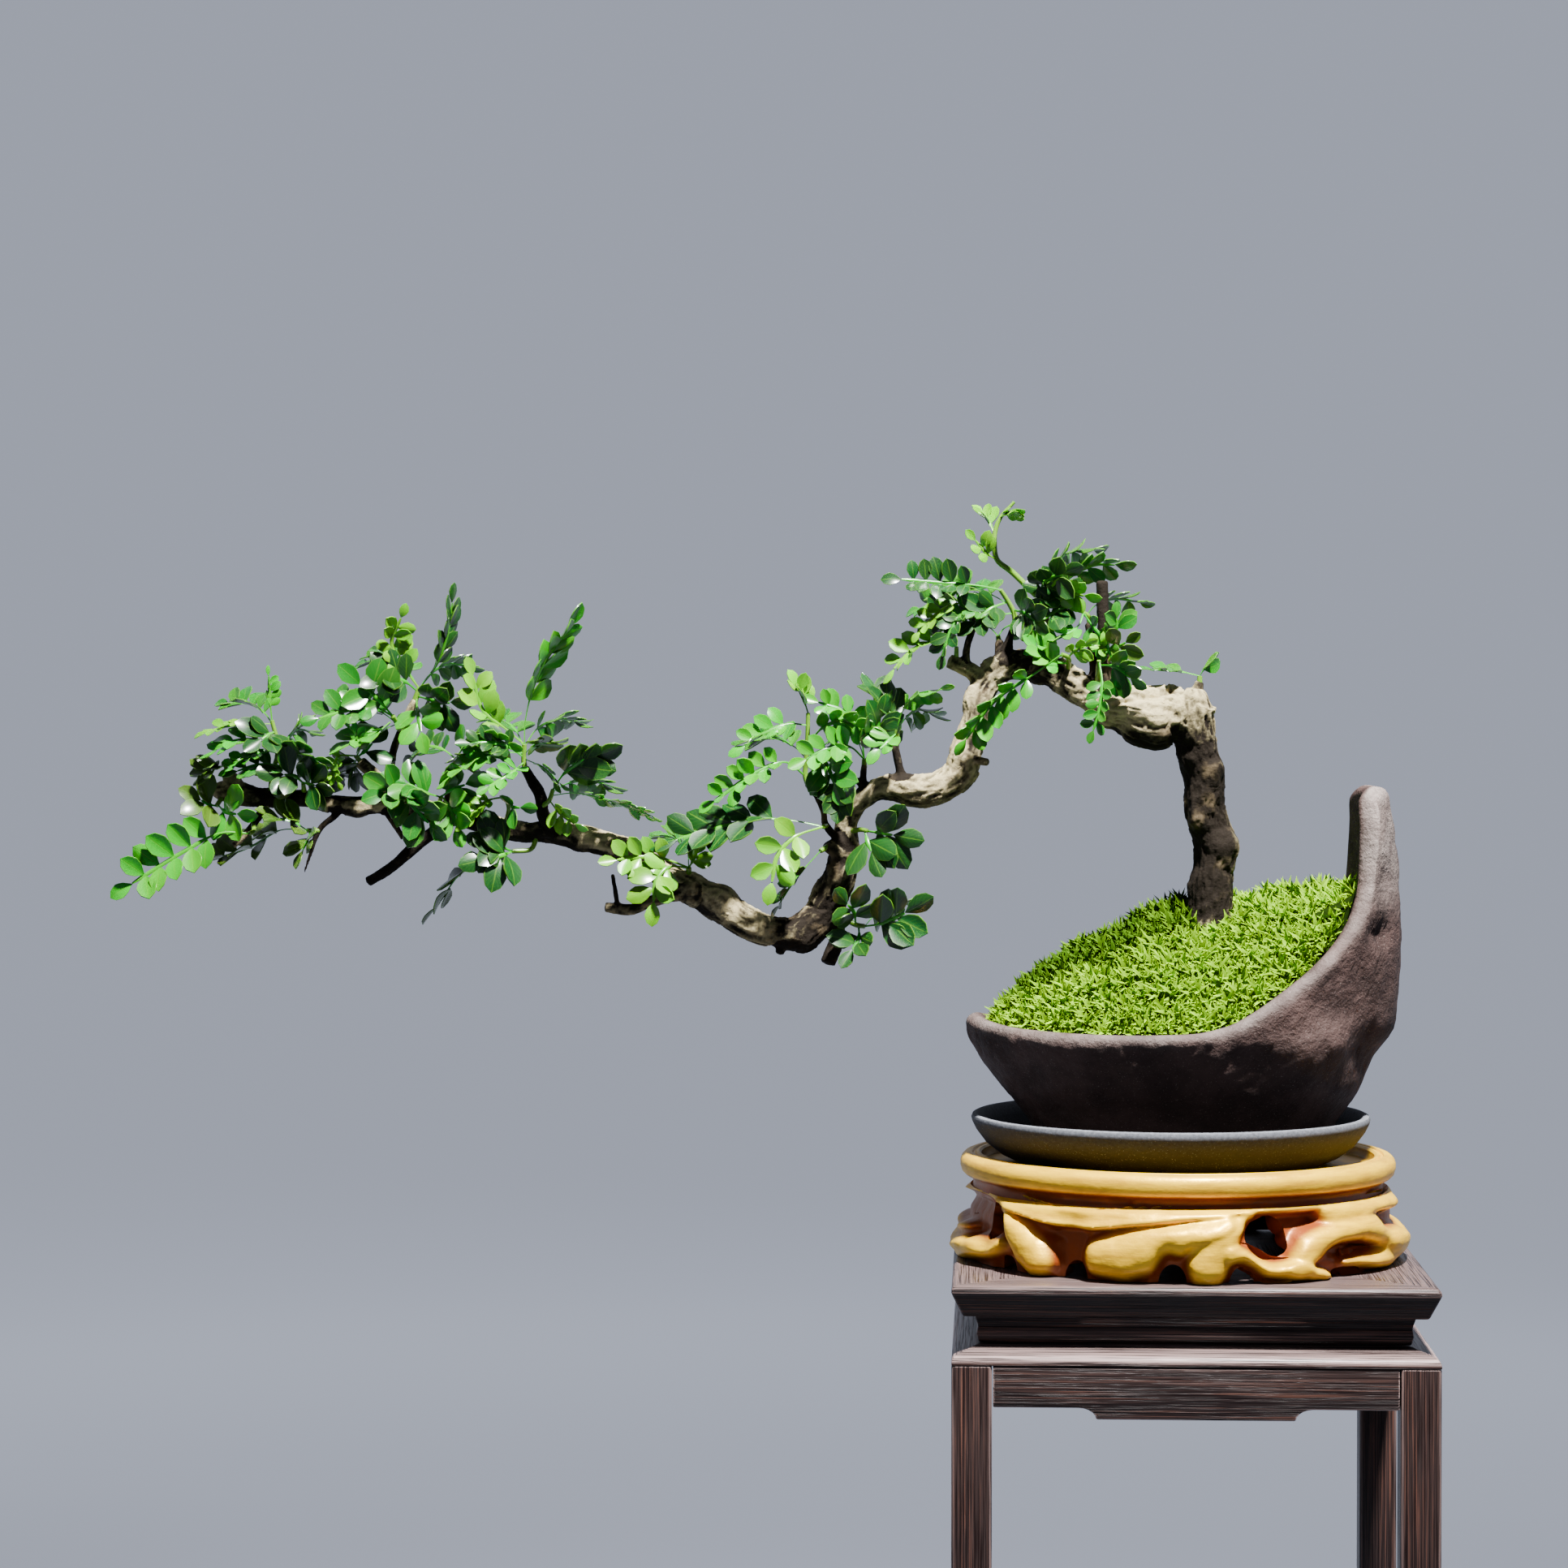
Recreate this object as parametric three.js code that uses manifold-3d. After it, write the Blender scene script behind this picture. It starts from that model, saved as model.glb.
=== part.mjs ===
// A Japanese pepper bonsai, grown as a cascade over the side of its clay pot, with the saucer,
// the carved round stand and the dark wooden table that hold it up. Millimetres, +Z up.
// While it is built, x = 0 and y = 0 are the middle of the table and z = 0 is the floor.
// At the end everything moves so that the origin is the middle of the underside of the whole.
import * as THREE from "three";
import { mergeVertices } from "three/addons/utils/BufferGeometryUtils.js";
import Module from "manifold-3d";

const wasm = await Module();
wasm.setup();

// Driving dimensions
const GAP = 0.3; // between pieces that rest on each other
const TABLE = { half: 75, height: 180, edge: 10, leg: 12.5, apron: 9 };
const STAND = { x: -2.5, y: 0, ring: 70, foot: 74, height: 33.7, panel: 30, wall: 9 };
const SAUCER = { x: -4.8, y: 0, rim: 64.5, foot: 50, height: 15.6, floor: 3 };
const POT = { x: -0.8, a: 70, b: 50, wall: 6.5, floor: 8, drain: 5 };
const MOSS = { thick: 4.4, ridge: 12, clear: 1.2 };
const LEAFLET = { thick: 0.7, broad: 0.56, rib: 0.5, fold: 0.22, shown: 0.38 };

// The leaves and twigs are given where they are seen from EYE in the plane y = 0, as x and z,
// and then moved along the line of sight to their own depth y.
const EYE = new THREE.Vector3(-62.6, -1315, 356.4);

const radians = THREE.MathUtils.degToRad;

function atDepth(x, z, y) {
  const scale = (y - EYE.y) / -EYE.y;
  return new THREE.Vector3(EYE.x + (x - EYE.x) * scale, y, EYE.z + (z - EYE.z) * scale);
}

// Solids

// A closed geometry as a solid with its faces outwards.
function solid(geometry) {
  const bare = new THREE.BufferGeometry();
  bare.setAttribute("position", geometry.getAttribute("position"));
  if (geometry.index) bare.setIndex(geometry.index);
  const merged = mergeVertices(bare, 1e-3);
  const corners = merged.index.array;
  const triangles = [];
  for (let i = 0; i < corners.length; i += 3) {
    const [a, b, c] = [corners[i], corners[i + 1], corners[i + 2]];
    if (a !== b && b !== c && c !== a) triangles.push(a, b, c);
  }
  const build = (order) =>
    new wasm.Manifold(
      new wasm.Mesh({
        numProp: 3,
        vertProperties: merged.attributes.position.array,
        triVerts: new Uint32Array(order),
      }),
    );
  const made = build(triangles);
  return made.volume() > 0 ? made : build([...triangles].reverse());
}

function largestBody(shape) {
  return shape.decompose().reduce((best, body) => (body.volume() > best.volume() ? body : best));
}

const root = new THREE.Group();

function addPiece(name, shape, finish) {
  const mesh = shape.getMesh();
  const geometry = new THREE.BufferGeometry();
  geometry.setAttribute("position", new THREE.BufferAttribute(mesh.vertProperties, 3));
  geometry.setIndex(new THREE.BufferAttribute(mesh.triVerts, 1));
  geometry.computeVertexNormals();
  const piece = new THREE.Mesh(geometry, new THREE.MeshStandardMaterial(finish));
  piece.name = name;
  root.add(piece);
}

const DARK_WOOD = { color: 0x3c2d2a, roughness: 0.45, metalness: 0 };
const GOLDEN_WOOD = { color: 0xd29632, roughness: 0.3, metalness: 0 };
const CHARCOAL_CLAY = { color: 0x3c3c41, roughness: 0.75, metalness: 0 };
const POT_CLAY = { color: 0x4b3c3a, roughness: 0.85, metalness: 0 };
const SOIL = { color: 0x3a2c20, roughness: 1, metalness: 0 };
const MOSS_GREEN = { color: 0x8fa82c, roughness: 1, metalness: 0 };
const BARK = { color: 0xb4a888, roughness: 0.85, metalness: 0 };
const LEAF_GREEN = { color: 0x2c6a26, roughness: 0.35, metalness: 0 };

// A body turned about the vertical axis, whose rows of points place() then moves to their own spot.
// place(row, angle) gives each point, with the angle in radians from +X.
function turned(rows, angles, place) {
  const unit = Array.from({ length: rows }, (_, row) => {
    const onAxis = row === 0 || row === rows - 1;
    return new THREE.Vector2(onAxis ? 0 : 1, row);
  });
  const lathe = new THREE.LatheGeometry(unit, angles.length);
  const position = lathe.getAttribute("position");
  for (let i = 0; i < position.count; i++) {
    const angle = angles[Math.floor(i / rows) % angles.length];
    const point = place(i % rows, angle);
    position.setXYZ(i, point[0], point[1], point[2]);
  }
  return solid(lathe);
}

function evenAngles(count) {
  return Array.from({ length: count }, (_, i) => (i / count) * 2 * Math.PI);
}

// A round body from a profile of [radius, height] that starts and ends on the axis.
function round(profile, centre, base, count) {
  return turned(profile.length, evenAngles(count), (row, angle) => [
    centre.x + profile[row][0] * Math.cos(angle),
    centre.y + profile[row][0] * Math.sin(angle),
    base + profile[row][1],
  ]);
}

// A square moulded body from a profile of [half width, height].
function squareMoulding(profile) {
  const corner = evenAngles(4).map((angle) => angle + Math.PI / 4);
  return turned(profile.length, corner, (row, angle) => [
    profile[row][0] * Math.SQRT2 * Math.cos(angle),
    profile[row][0] * Math.SQRT2 * Math.sin(angle),
    profile[row][1],
  ]);
}

// A prism of a drawn outline, standing at the front of the table and turned about its middle.
function extrudedPanel(outline, depth, front, turn) {
  const shape = new THREE.Shape(outline.map(([x, z]) => new THREE.Vector2(x, z)));
  const geometry = new THREE.ExtrudeGeometry(shape, { depth, bevelEnabled: false });
  geometry.rotateX(Math.PI / 2);
  geometry.translate(0, -front + depth, 0);
  geometry.rotateZ(turn);
  return solid(geometry);
}

// A round stem along points of [x, z, radius, y], bent from a straight cylinder.
function stem(points, sides, steps) {
  const spots = points.map(([x, z, , y]) => atDepth(x, z, y));
  const curve = new THREE.CatmullRomCurve3(spots, false, "centripetal");
  const frames = curve.computeFrenetFrames(steps);
  const cylinder = new THREE.CylinderGeometry(1, 1, 1, sides, steps);
  const position = cylinder.getAttribute("position");
  for (let i = 0; i < position.count; i++) {
    const step = Math.round((0.5 - position.getY(i)) * steps);
    const at = curve.getUtoTmapping(step / steps) * (points.length - 1);
    const low = Math.min(Math.floor(at), points.length - 2);
    const radius = THREE.MathUtils.lerp(points[low][2], points[low + 1][2], at - low);
    const spot = curve.getPointAt(step / steps);
    spot.addScaledVector(frames.normals[step], position.getX(i) * radius);
    spot.addScaledVector(frames.binormals[step], position.getZ(i) * radius);
    position.setXYZ(i, spot.x, spot.y, spot.z);
  }
  return solid(cylinder);
}

function grown(points, by) {
  return points.map(([x, z, radius, y]) => [x, z, radius + by, y]);
}

// Table

function table() {
  const top = TABLE.height;
  const under = top - TABLE.edge;
  const waist = [
    [0, under - 8.7],
    [66.5, under - 8.7],
    [67.4, under - 5],
    [67.8, under - GAP],
    [0, under - GAP],
  ];
  const shoulder = [
    [0, under - 14.7],
    [TABLE.half, under - 14.7],
    [TABLE.half - 1, under - 13],
    [66.5, under - 9],
    [0, under - 9],
  ];
  const board = [
    [0, under],
    [71.5, under],
    [74.6, under + 6.5],
    [TABLE.half, under + 8],
    [TABLE.half - 1, top],
    [0, top],
  ];
  addPiece("table_top", squareMoulding(board), DARK_WOOD);
  addPiece("table_waist", squareMoulding(waist), DARK_WOOD);
  addPiece("table_shoulder", squareMoulding(shoulder), DARK_WOOD);

  const legTop = under - 15;
  const legMiddle = TABLE.half - TABLE.leg / 2;
  for (const [side, x] of [["left", -legMiddle], ["right", legMiddle]]) {
    for (const [end, y] of [["front", -legMiddle], ["back", legMiddle]]) {
      const leg = new THREE.BoxGeometry(TABLE.leg, TABLE.leg, legTop);
      leg.translate(x, y, legTop / 2);
      addPiece("leg_" + end + "_" + side, solid(leg), DARK_WOOD);
    }
  }

  // Each apron drops in the middle, with a quarter-round step at either end of the drop.
  const reach = TABLE.half - TABLE.leg - GAP;
  const [straight, drop] = [legTop - 12.5, legTop - 16];
  const half = [
    [30.5, drop],
    [31.5, drop + 2.2],
    [33.5, straight - 0.4],
    [36, straight],
    [reach, straight],
    [reach, legTop],
  ];
  const outline = [...half, ...half.map(([x, z]) => [-x, z]).reverse()];
  ["front", "right", "back", "left"].forEach((side, i) => {
    const panel = extrudedPanel(outline, TABLE.apron, TABLE.half - 1, (i * Math.PI) / 2);
    addPiece("apron_" + side, panel, DARK_WOOD);
  });
}

// Carved round stand: a panel inside a rounded ring, a cove, and a skirt of root-like lobes with
// a hollow behind it. Its arches and holes are given by angle from the front and by height.
const ARCHES = [
  { at: -51, wide: 3.2, high: 7 },
  { at: -32, wide: 4, high: 13 },
  { at: -4, wide: 8, high: 8 },
  { at: 42, wide: 4.2, high: 8 },
  { at: 74, wide: 6, high: 10 },
  { at: 106, wide: 4, high: 12 },
  { at: 137, wide: 7, high: 8 },
  { at: 168, wide: 4, high: 12 },
  { at: 199, wide: 7, high: 9 },
  { at: 230, wide: 4, high: 12 },
  { at: 262, wide: 6, high: 9 },
];
const HOLES = [
  { at: -64, lift: 15, wide: 3, high: 6.5 },
  { at: 21, lift: 14.5, wide: 6.5, high: 6.5 },
  { at: 90, lift: 15, wide: 5, high: 5 },
  { at: 152, lift: 14, wide: 5.5, high: 6 },
  { at: 215, lift: 15, wide: 4.5, high: 6 },
  { at: 246, lift: 14, wide: 5, high: 5 },
];

function skirtCut({ at, lift = 0, wide, high }, base) {
  const cutter = new THREE.CylinderGeometry(1, 1, 34, 6);
  cutter.scale(wide, 1, high);
  cutter.translate(0, -STAND.ring, 0);
  cutter.rotateZ(radians(at));
  cutter.translate(STAND.x, STAND.y, base + lift);
  return solid(cutter);
}

function carvedStand() {
  const base = TABLE.height + GAP;
  const inside = STAND.foot - STAND.wall;
  const profile = [
    [0, STAND.panel - 6],
    [57, STAND.panel - 7],
    [inside, 12],
    [inside - 2, 0],
    [STAND.foot - 1.5, 0],
    [STAND.foot, 4],
    [STAND.foot - 3, 14],
    [66.2, 22],
    [65.8, 26.5],
    [STAND.ring - 0.4, 28.2],
    [STAND.ring - 0.4, STAND.height - 1],
    [STAND.ring - 3.5, STAND.height],
    [64, STAND.panel],
    [0, STAND.panel],
  ];
  const skirt = [4, 7];
  let body = turned(profile.length, evenAngles(34), (row, angle) => {
    const [radius, height] = profile[row];
    const carved = row >= skirt[0] && row <= skirt[1];
    const lobe = carved ? 1.3 * Math.sin(9 * angle + height * 0.16) : 0;
    return [
      STAND.x + (radius + lobe) * Math.cos(angle),
      STAND.y + (radius + lobe) * Math.sin(angle),
      base + height,
    ];
  });
  for (const cut of [...ARCHES, ...HOLES]) body = body.subtract(skirtCut(cut, base));
  addPiece("carved_stand", largestBody(body), GOLDEN_WOOD);
}

// Saucer

function saucer() {
  const base = TABLE.height + GAP + STAND.panel + GAP;
  const profile = [
    [0, 0],
    [SAUCER.foot, 0],
    [SAUCER.rim - 5, 6],
    [SAUCER.rim, SAUCER.height - 2],
    [SAUCER.rim - 0.8, SAUCER.height],
    [SAUCER.rim - 3.4, SAUCER.height - 1.2],
    [SAUCER.rim - 8, 7.6],
    [SAUCER.foot + 2, SAUCER.floor],
    [0, SAUCER.floor],
  ];
  addPiece("saucer", round(profile, SAUCER, base, 30), CHARCOAL_CLAY);
}

// Pot

const potBase = TABLE.height + GAP + STAND.panel + GAP + SAUCER.floor + GAP;
const potFloor = potBase + POT.floor;

// The value at x along points of [x, value], straight between them.
function along(points, x) {
  if (x <= points[0][0]) return points[0][1];
  const next = points.findIndex(([start]) => start >= x);
  if (next < 0) return points[points.length - 1][1];
  const [[x0, v0], [x1, v1]] = [points[next - 1], points[next]];
  return v0 + ((v1 - v0) * (x - x0)) / (x1 - x0);
}

// Half the pot's length at each height, outside.
const POT_LENGTH = [
  [potBase, 46],
  [220, 49.5],
  [227.5, 53.5],
  [234, 58.5],
  [240, 62],
  [246, 65.3],
  [254, 69],
  [262, 70],
  [280, 70.4],
  [300, 69.8],
  [320, 68.2],
  [332, 66],
];

// Height of the pot's rim by angle from +X, in degrees: it sweeps up high on the right.
const RIM = [
  [0, 332],
  [24, 332.5],
  [32, 330],
  [35, 318],
  [38, 303],
  [42, 293],
  [48, 284.5],
  [56, 276],
  [64, 269],
  [72, 262.5],
  [80, 257.8],
  [90, 255.4],
  [110, 254.8],
  [140, 255.5],
  [160, 257],
  [180, 258.5],
];
const RIM_ANGLES = [0, 12, 24, 32, 35, 38, 42, 48, 56, 64, 72, 80, 90, 104, 120, 136, 152, 166];
const potAngles = [
  ...RIM_ANGLES,
  180,
  ...RIM_ANGLES.slice(1).reverse().map((angle) => 360 - angle),
].map(radians);

function rimHeight(angle) {
  return along(RIM, Math.abs(THREE.MathUtils.radToDeg(Math.atan2(Math.sin(angle), Math.cos(angle)))));
}

// A point of the pot's oval at a height, a distance inside its outer face.
function potPoint(angle, height, inside) {
  const length = along(POT_LENGTH, height);
  const width = length * (POT.b / POT.a);
  return [
    POT.x + (length - inside) * Math.cos(angle),
    (width - inside) * Math.sin(angle),
    height,
  ];
}

// The pot's inner face from the rim down, as points of the oval.
const INSIDE = [
  (angle) => potPoint(angle, rimHeight(angle), POT.wall - 2),
  (angle) => potPoint(angle, rimHeight(angle) - 2.5, POT.wall),
  (angle) => potPoint(angle, (rimHeight(angle) + potFloor) / 2, POT.wall + 1),
  (angle) => potPoint(angle, potFloor + 4, POT.wall + 1),
  (angle) => potPoint(angle, potFloor, POT.wall + 4),
];

// The place on the pot's inner face at an angle and a height, less a clearance.
function potWall(angle, height, clear) {
  const points = INSIDE.map((row) => row(angle)).reverse();
  const x = along(points.map((point) => [point[2], point[0]]), height);
  const y = along(points.map((point) => [point[2], point[1]]), height);
  return [x - clear * Math.cos(angle), y - clear * Math.sin(angle), height];
}

function pot() {
  const rows = [
    () => [POT.x, 0, potBase],
    (angle) => potPoint(angle, potBase, 0),
    (angle) => potPoint(angle, 232, 0),
    (angle) => potPoint(angle, 246, 0),
    (angle) => potPoint(angle, Math.max(250, (rimHeight(angle) + 246) / 2), 0),
    (angle) => potPoint(angle, rimHeight(angle) - 2, 0),
    (angle) => potPoint(angle, rimHeight(angle), 2),
    ...INSIDE,
    () => [POT.x, 0, potFloor],
  ];
  const body = turned(rows.length, potAngles, (row, angle) => rows[row](angle));
  const drain = new THREE.CylinderGeometry(POT.drain, POT.drain, 4 * POT.floor, 8);
  drain.rotateX(Math.PI / 2);
  drain.translate(POT.x, 0, potBase);
  addPiece("pot", body.subtract(solid(drain)), POT_CLAY);
}

// Ground: the moss mound, and the soil beneath it

// Height of the mound's ridge along x.
const RIDGE = [
  [-68, 258.5],
  [-60, 265.5],
  [-50, 275],
  [-40, 283],
  [-30, 288],
  [-20, 291.5],
  [-10, 297],
  [0, 299.5],
  [16, 299],
  [25, 300.5],
  [40, 303.5],
  [64, 302.5],
];

const insideLength = POT.a - POT.wall;
const insideWidth = POT.b - POT.wall;

// The mound falls from its ridge to just below the rim, in front and behind.
function moundHeight(x, y) {
  const across = THREE.MathUtils.clamp((x - POT.x) / insideLength, -1, 1);
  const halfWidth = insideWidth * Math.sqrt(1 - across * across) + 1e-6;
  const crest = MOSS.ridge * (halfWidth / insideWidth);
  const fall = y > crest ? (y - crest) / (halfWidth - crest) : (crest - y) / (halfWidth + crest);
  const drop = Math.pow(THREE.MathUtils.clamp(fall, 0, 1), 1.6);
  return THREE.MathUtils.lerp(along(RIDGE, x), mossEdge(Math.acos(across)), drop);
}

// The moss meets the pot's wall just below the rim, and no higher than its own top on the right.
function mossEdge(angle) {
  return Math.min(rimHeight(angle) - 0.8, 302.5);
}

// A point of the mound a share of the way out from its middle to the pot's wall, lower by a depth.
// The wall is met at the level that is given, so that two layers keep the same plan.
function moundPoint(share, angle, depth, level = depth) {
  const [xWall, yWall] = potWall(angle, mossEdge(angle) - level, MOSS.clear);
  const [x, y] = [POT.x + (xWall - POT.x) * share, yWall * share];
  return [x, y, (share === 1 ? mossEdge(angle) : moundHeight(x, y)) - depth];
}

function ground(trunkHole) {
  const soilTop = MOSS.thick + GAP;
  const topRows = [0, 0.4, 0.8, 1];
  const underRows = [1, 0.6, 0];
  const moss = turned(topRows.length + underRows.length, potAngles, (row, angle) =>
    row < topRows.length
      ? moundPoint(topRows[row], angle, 0)
      : moundPoint(underRows[row - topRows.length], angle, MOSS.thick, soilTop),
  );
  const soilRows = [
    (angle) => moundPoint(0, angle, soilTop),
    (angle) => moundPoint(0.6, angle, soilTop),
    (angle) => moundPoint(1, angle, soilTop),
    (angle) => potWall(angle, 238, MOSS.clear + 1),
    (angle) => potWall(angle, potFloor + GAP, MOSS.clear + 3),
    () => [POT.x, 0, potFloor + GAP],
  ];
  // The soil turns the other way round, so its top is split into triangles as the moss above it.
  const backwards = [...potAngles].reverse();
  const soil = turned(soilRows.length, backwards, (row, angle) => soilRows[row](angle));
  addPiece("soil", soil.subtract(trunkHole), SOIL);
  addPiece("moss", moss.subtract(trunkHole), MOSS_GREEN);
}

// Wood: the trunk, the long cascading limb and its twigs, as points of [x, z, radius, y]

const TRUNK = [
  [7, 270, 7.6, 0],
  [7.5, 280, 8.4, 0],
  [8, 290, 7.2, 0],
  [8.7, 298, 6.8, 0],
  [9, 305, 6, 0],
  [9.8, 312, 6.5, 0.5],
  [8, 318, 6, 0.5],
  [5.9, 325, 6.9, 0],
  [6.4, 332, 6.7, -0.5],
  [5, 340, 6.4, -1],
  [3.8, 347, 6.4, -1.5],
  [1.5, 356, 7.6, -2],
  [0.5, 362, 5.5, -2],
];
const NEAR_LIMB = [
  [3, 354, 6, -1.5],
  [-3, 355.5, 8.2, -2],
  [-7, 356, 9.3, -2],
  [-11, 355, 10, -2.5],
  [-15, 355.6, 9.6, -3],
  [-19, 356.7, 8.7, -3],
  [-24, 358, 7.5, -3],
  [-30, 361.5, 5.6, -2],
  [-38, 366, 5, -1],
  [-45, 370.5, 5, 0],
  [-52, 371.5, 5, 1.5],
  [-58, 371, 4.6, 1],
  [-63, 368.5, 4.8, 0],
];
const FALLING_LIMB = [
  [-59, 371.5, 3.5, 1],
  [-63.5, 367, 4.8, 0],
  [-66.5, 361, 4.8, -2],
  [-67.6, 354, 4.8, -3.5],
  [-70.3, 345, 4.7, -4.5],
  [-71.5, 340, 5.2, -5],
  [-73.5, 336, 5.2, -5],
  [-78, 332.8, 5, -5.5],
  [-83, 331, 5, -6],
  [-88, 330.5, 4.8, -6],
  [-93, 331.8, 4.6, -5.5],
  [-98, 331.3, 4, -4.5],
  [-102, 330, 3.5, -4],
  [-107, 326, 3.5, -2],
  [-110, 320, 3.5, 0],
  [-109.8, 314, 3.8, 0.5],
  [-111, 308.6, 4.8, 1],
  [-112, 303, 5, 1.5],
  [-114.5, 298, 5.8, 2.5],
  [-117.5, 292.6, 6, 3],
];
const FAR_LIMB = [
  [-114, 297, 5, 2],
  [-117.5, 291, 6, 3],
  [-122, 286.5, 6.3, 2],
  [-128, 284, 5.5, 0],
  [-134, 285, 5, -2],
  [-140, 286.5, 4.9, -3.5],
  [-146, 289.8, 5.6, -4],
  [-152, 294, 5.8, -4.5],
  [-158, 297, 5, -5.5],
  [-164, 299.5, 4.5, -6],
  [-172, 305, 4.4, -4.5],
  [-180, 310.5, 4.3, -3],
  [-187, 312.3, 4, -1.5],
  [-194, 314.3, 3.9, 0.5],
  [-201, 316, 3.8, 2],
  [-208, 317.3, 3.7, 3],
  [-216, 317, 3.3, 3.8],
  [-224, 318.5, 3.3, 4],
  [-232, 321.5, 3.5, 3.5],
  [-240, 322.5, 3.5, 3],
  [-248, 324, 3.4, 2],
  [-256, 325.3, 3.4, 1],
  [-264, 326, 3.3, -1],
  [-272, 325.5, 3.2, -2],
  [-280, 326.5, 3, -3],
  [-288, 328, 2.9, -3.5],
  [-296, 328, 3, -4],
  [-304, 328.5, 3.2, -3.5],
  [-311, 330, 3.6, -2.5],
  [-316, 330.5, 3, -2],
  [-318, 330.5, 1.8, -2],
];

const TWIGS = [
  // crown
  [[-66, 366, 3, -1], [-70, 370, 2.6, -1], [-76.5, 373, 2.4, -1.5]],
  [[-71, 371, 1.5, -1], [-71, 376.7, 1.2, -2], [-68.8, 384, 1.2, -3], [-68.3, 387.5, 1, -3]],
  [[-59.3, 370, 1.6, 1.5], [-60.5, 379.4, 1.1, 4]],
  [[-57.5, 371, 1.6, 0], [-58.3, 374, 1.3, 0], [-56, 383, 1.1, -1], [-55, 386.6, 1, -1]],
  [[-45, 371, 1.5, 0], [-45, 376, 1.2, 0], [-45.2, 392, 1, 1]],
  [[-25, 362, 3.2, -3], [-26, 369, 2.4, -3], [-27, 398.5, 1.8, -2]],
  [[-29, 363, 2.6, -1], [-29, 372, 2, 1], [-31, 385, 1.7, 4]],
  [[2.5, 359, 2, -2], [4.7, 366, 1.3, -2.5]],
  [[-70, 341, 1.6, -6], [-64, 340, 1.2, -11]],
  // middle
  [[-92, 334, 1.8, -6], [-92.7, 338, 1.3, -6.5], [-94, 345, 1.1, -7], [-93.7, 348.6, 1, -7]],
  [[-104.5, 328, 1.6, -3], [-104.6, 333, 1.3, -3], [-104.2, 339, 1, -2]],
  [[-104.5, 332, 1, -3], [-107.8, 335, 0.8, -4]],
  [
    [-110.5, 311, 1.7, 0],
    [-112, 314, 1.4, -3],
    [-116.7, 319.5, 1.3, -4],
    [-117.6, 324, 1.2, -4],
    [-120.3, 330, 1.1, -3],
    [-123, 333, 1, -3],
  ],
  [[-111, 309, 2.3, -1], [-116.5, 313, 2, -5]],
  [[-114, 288, 3, 3], [-113, 283, 2.7, 2], [-116, 274.5, 2.4, 0]],
  [[-131, 282, 2, -1], [-131.9, 277.4, 1.6, -2]],
  [
    [-158, 297, 2.6, -6],
    [-163, 297, 2.2, -8],
    [-174.4, 294.4, 2, -9],
    [-179.8, 292, 1.9, -9],
    [-188.8, 292.6, 1.6, -8],
  ],
  [[-184.7, 293, 1, -9], [-186.5, 303.3, 0.7, -10]],
  // left
  [
    [-203, 317, 3, 2],
    [-206, 319, 2.5, 1],
    [-209, 322, 2.4, 0],
    [-210, 328.6, 2.1, -1],
    [-213, 334, 1.8, -1],
    [-215.4, 338, 1.6, -1],
  ],
  [[-240.5, 323, 2.2, 3], [-240, 327, 1.9, 3.5], [-238, 339, 1.6, 5]],
  [[-260, 326, 2.6, 0], [-260.8, 331, 2.2, -1], [-269.4, 340, 2, -3]],
  [
    [-240, 321, 2.4, 3],
    [-243, 318.5, 2.1, 3],
    [-250, 313.7, 2, 2],
    [-256, 308.3, 2, 1],
    [-261.6, 303.6, 1.9, 0],
    [-267, 300.5, 1.7, -1],
  ],
  [[-261, 324.5, 1.4, -1], [-258.9, 320.7, 1.1, -3], [-255.3, 315, 0.9, -4]],
  [[-259.5, 327, 1.6, 2], [-259, 341, 1.4, 4], [-256, 350.5, 1.3, 5], [-251.3, 360, 1.2, 5]],
  // far end
  [[-308, 329, 2.6, -3], [-312.8, 334.6, 2.2, -4], [-313.5, 336.5, 1.4, -4]],
  [[-301, 328, 1.9, -4], [-302, 324, 1.5, -5], [-307, 316.7, 1.3, -7], [-311.5, 312.5, 1.1, -8]],
  [
    [-276, 325.5, 1.6, -3],
    [-277, 323, 1.3, -4],
    [-282, 319, 1.1, -5],
    [-284.4, 315, 1, -5.5],
    [-286, 309.7, 0.7, -6],
    [-288, 303.8, 0.35, -6],
  ],
];

function trunk(by, lower = 0) {
  const points = grown(TRUNK, by).map(([x, z, radius, y]) => [x, z - lower, radius, y]);
  return stem(points, 7, 13);
}

// The plain hole in moss and soil that the trunk stands in.
function trunkHole() {
  return trunk(GAP + 0.1).add(trunk(GAP + 0.1, GAP));
}

function wood(by) {
  const limbs = [
    trunk(by),
    stem(grown(NEAR_LIMB, by), 7, 14),
    stem(grown(FALLING_LIMB, by), 6, 20),
    stem(grown(FAR_LIMB, by), 6, 29),
  ];
  const twigs = TWIGS.map((points) => stem(grown(points, by), points[1][2] > 1.8 ? 4 : 3, points.length - 1));
  return wasm.Manifold.union([...limbs, ...twigs]);
}

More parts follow.
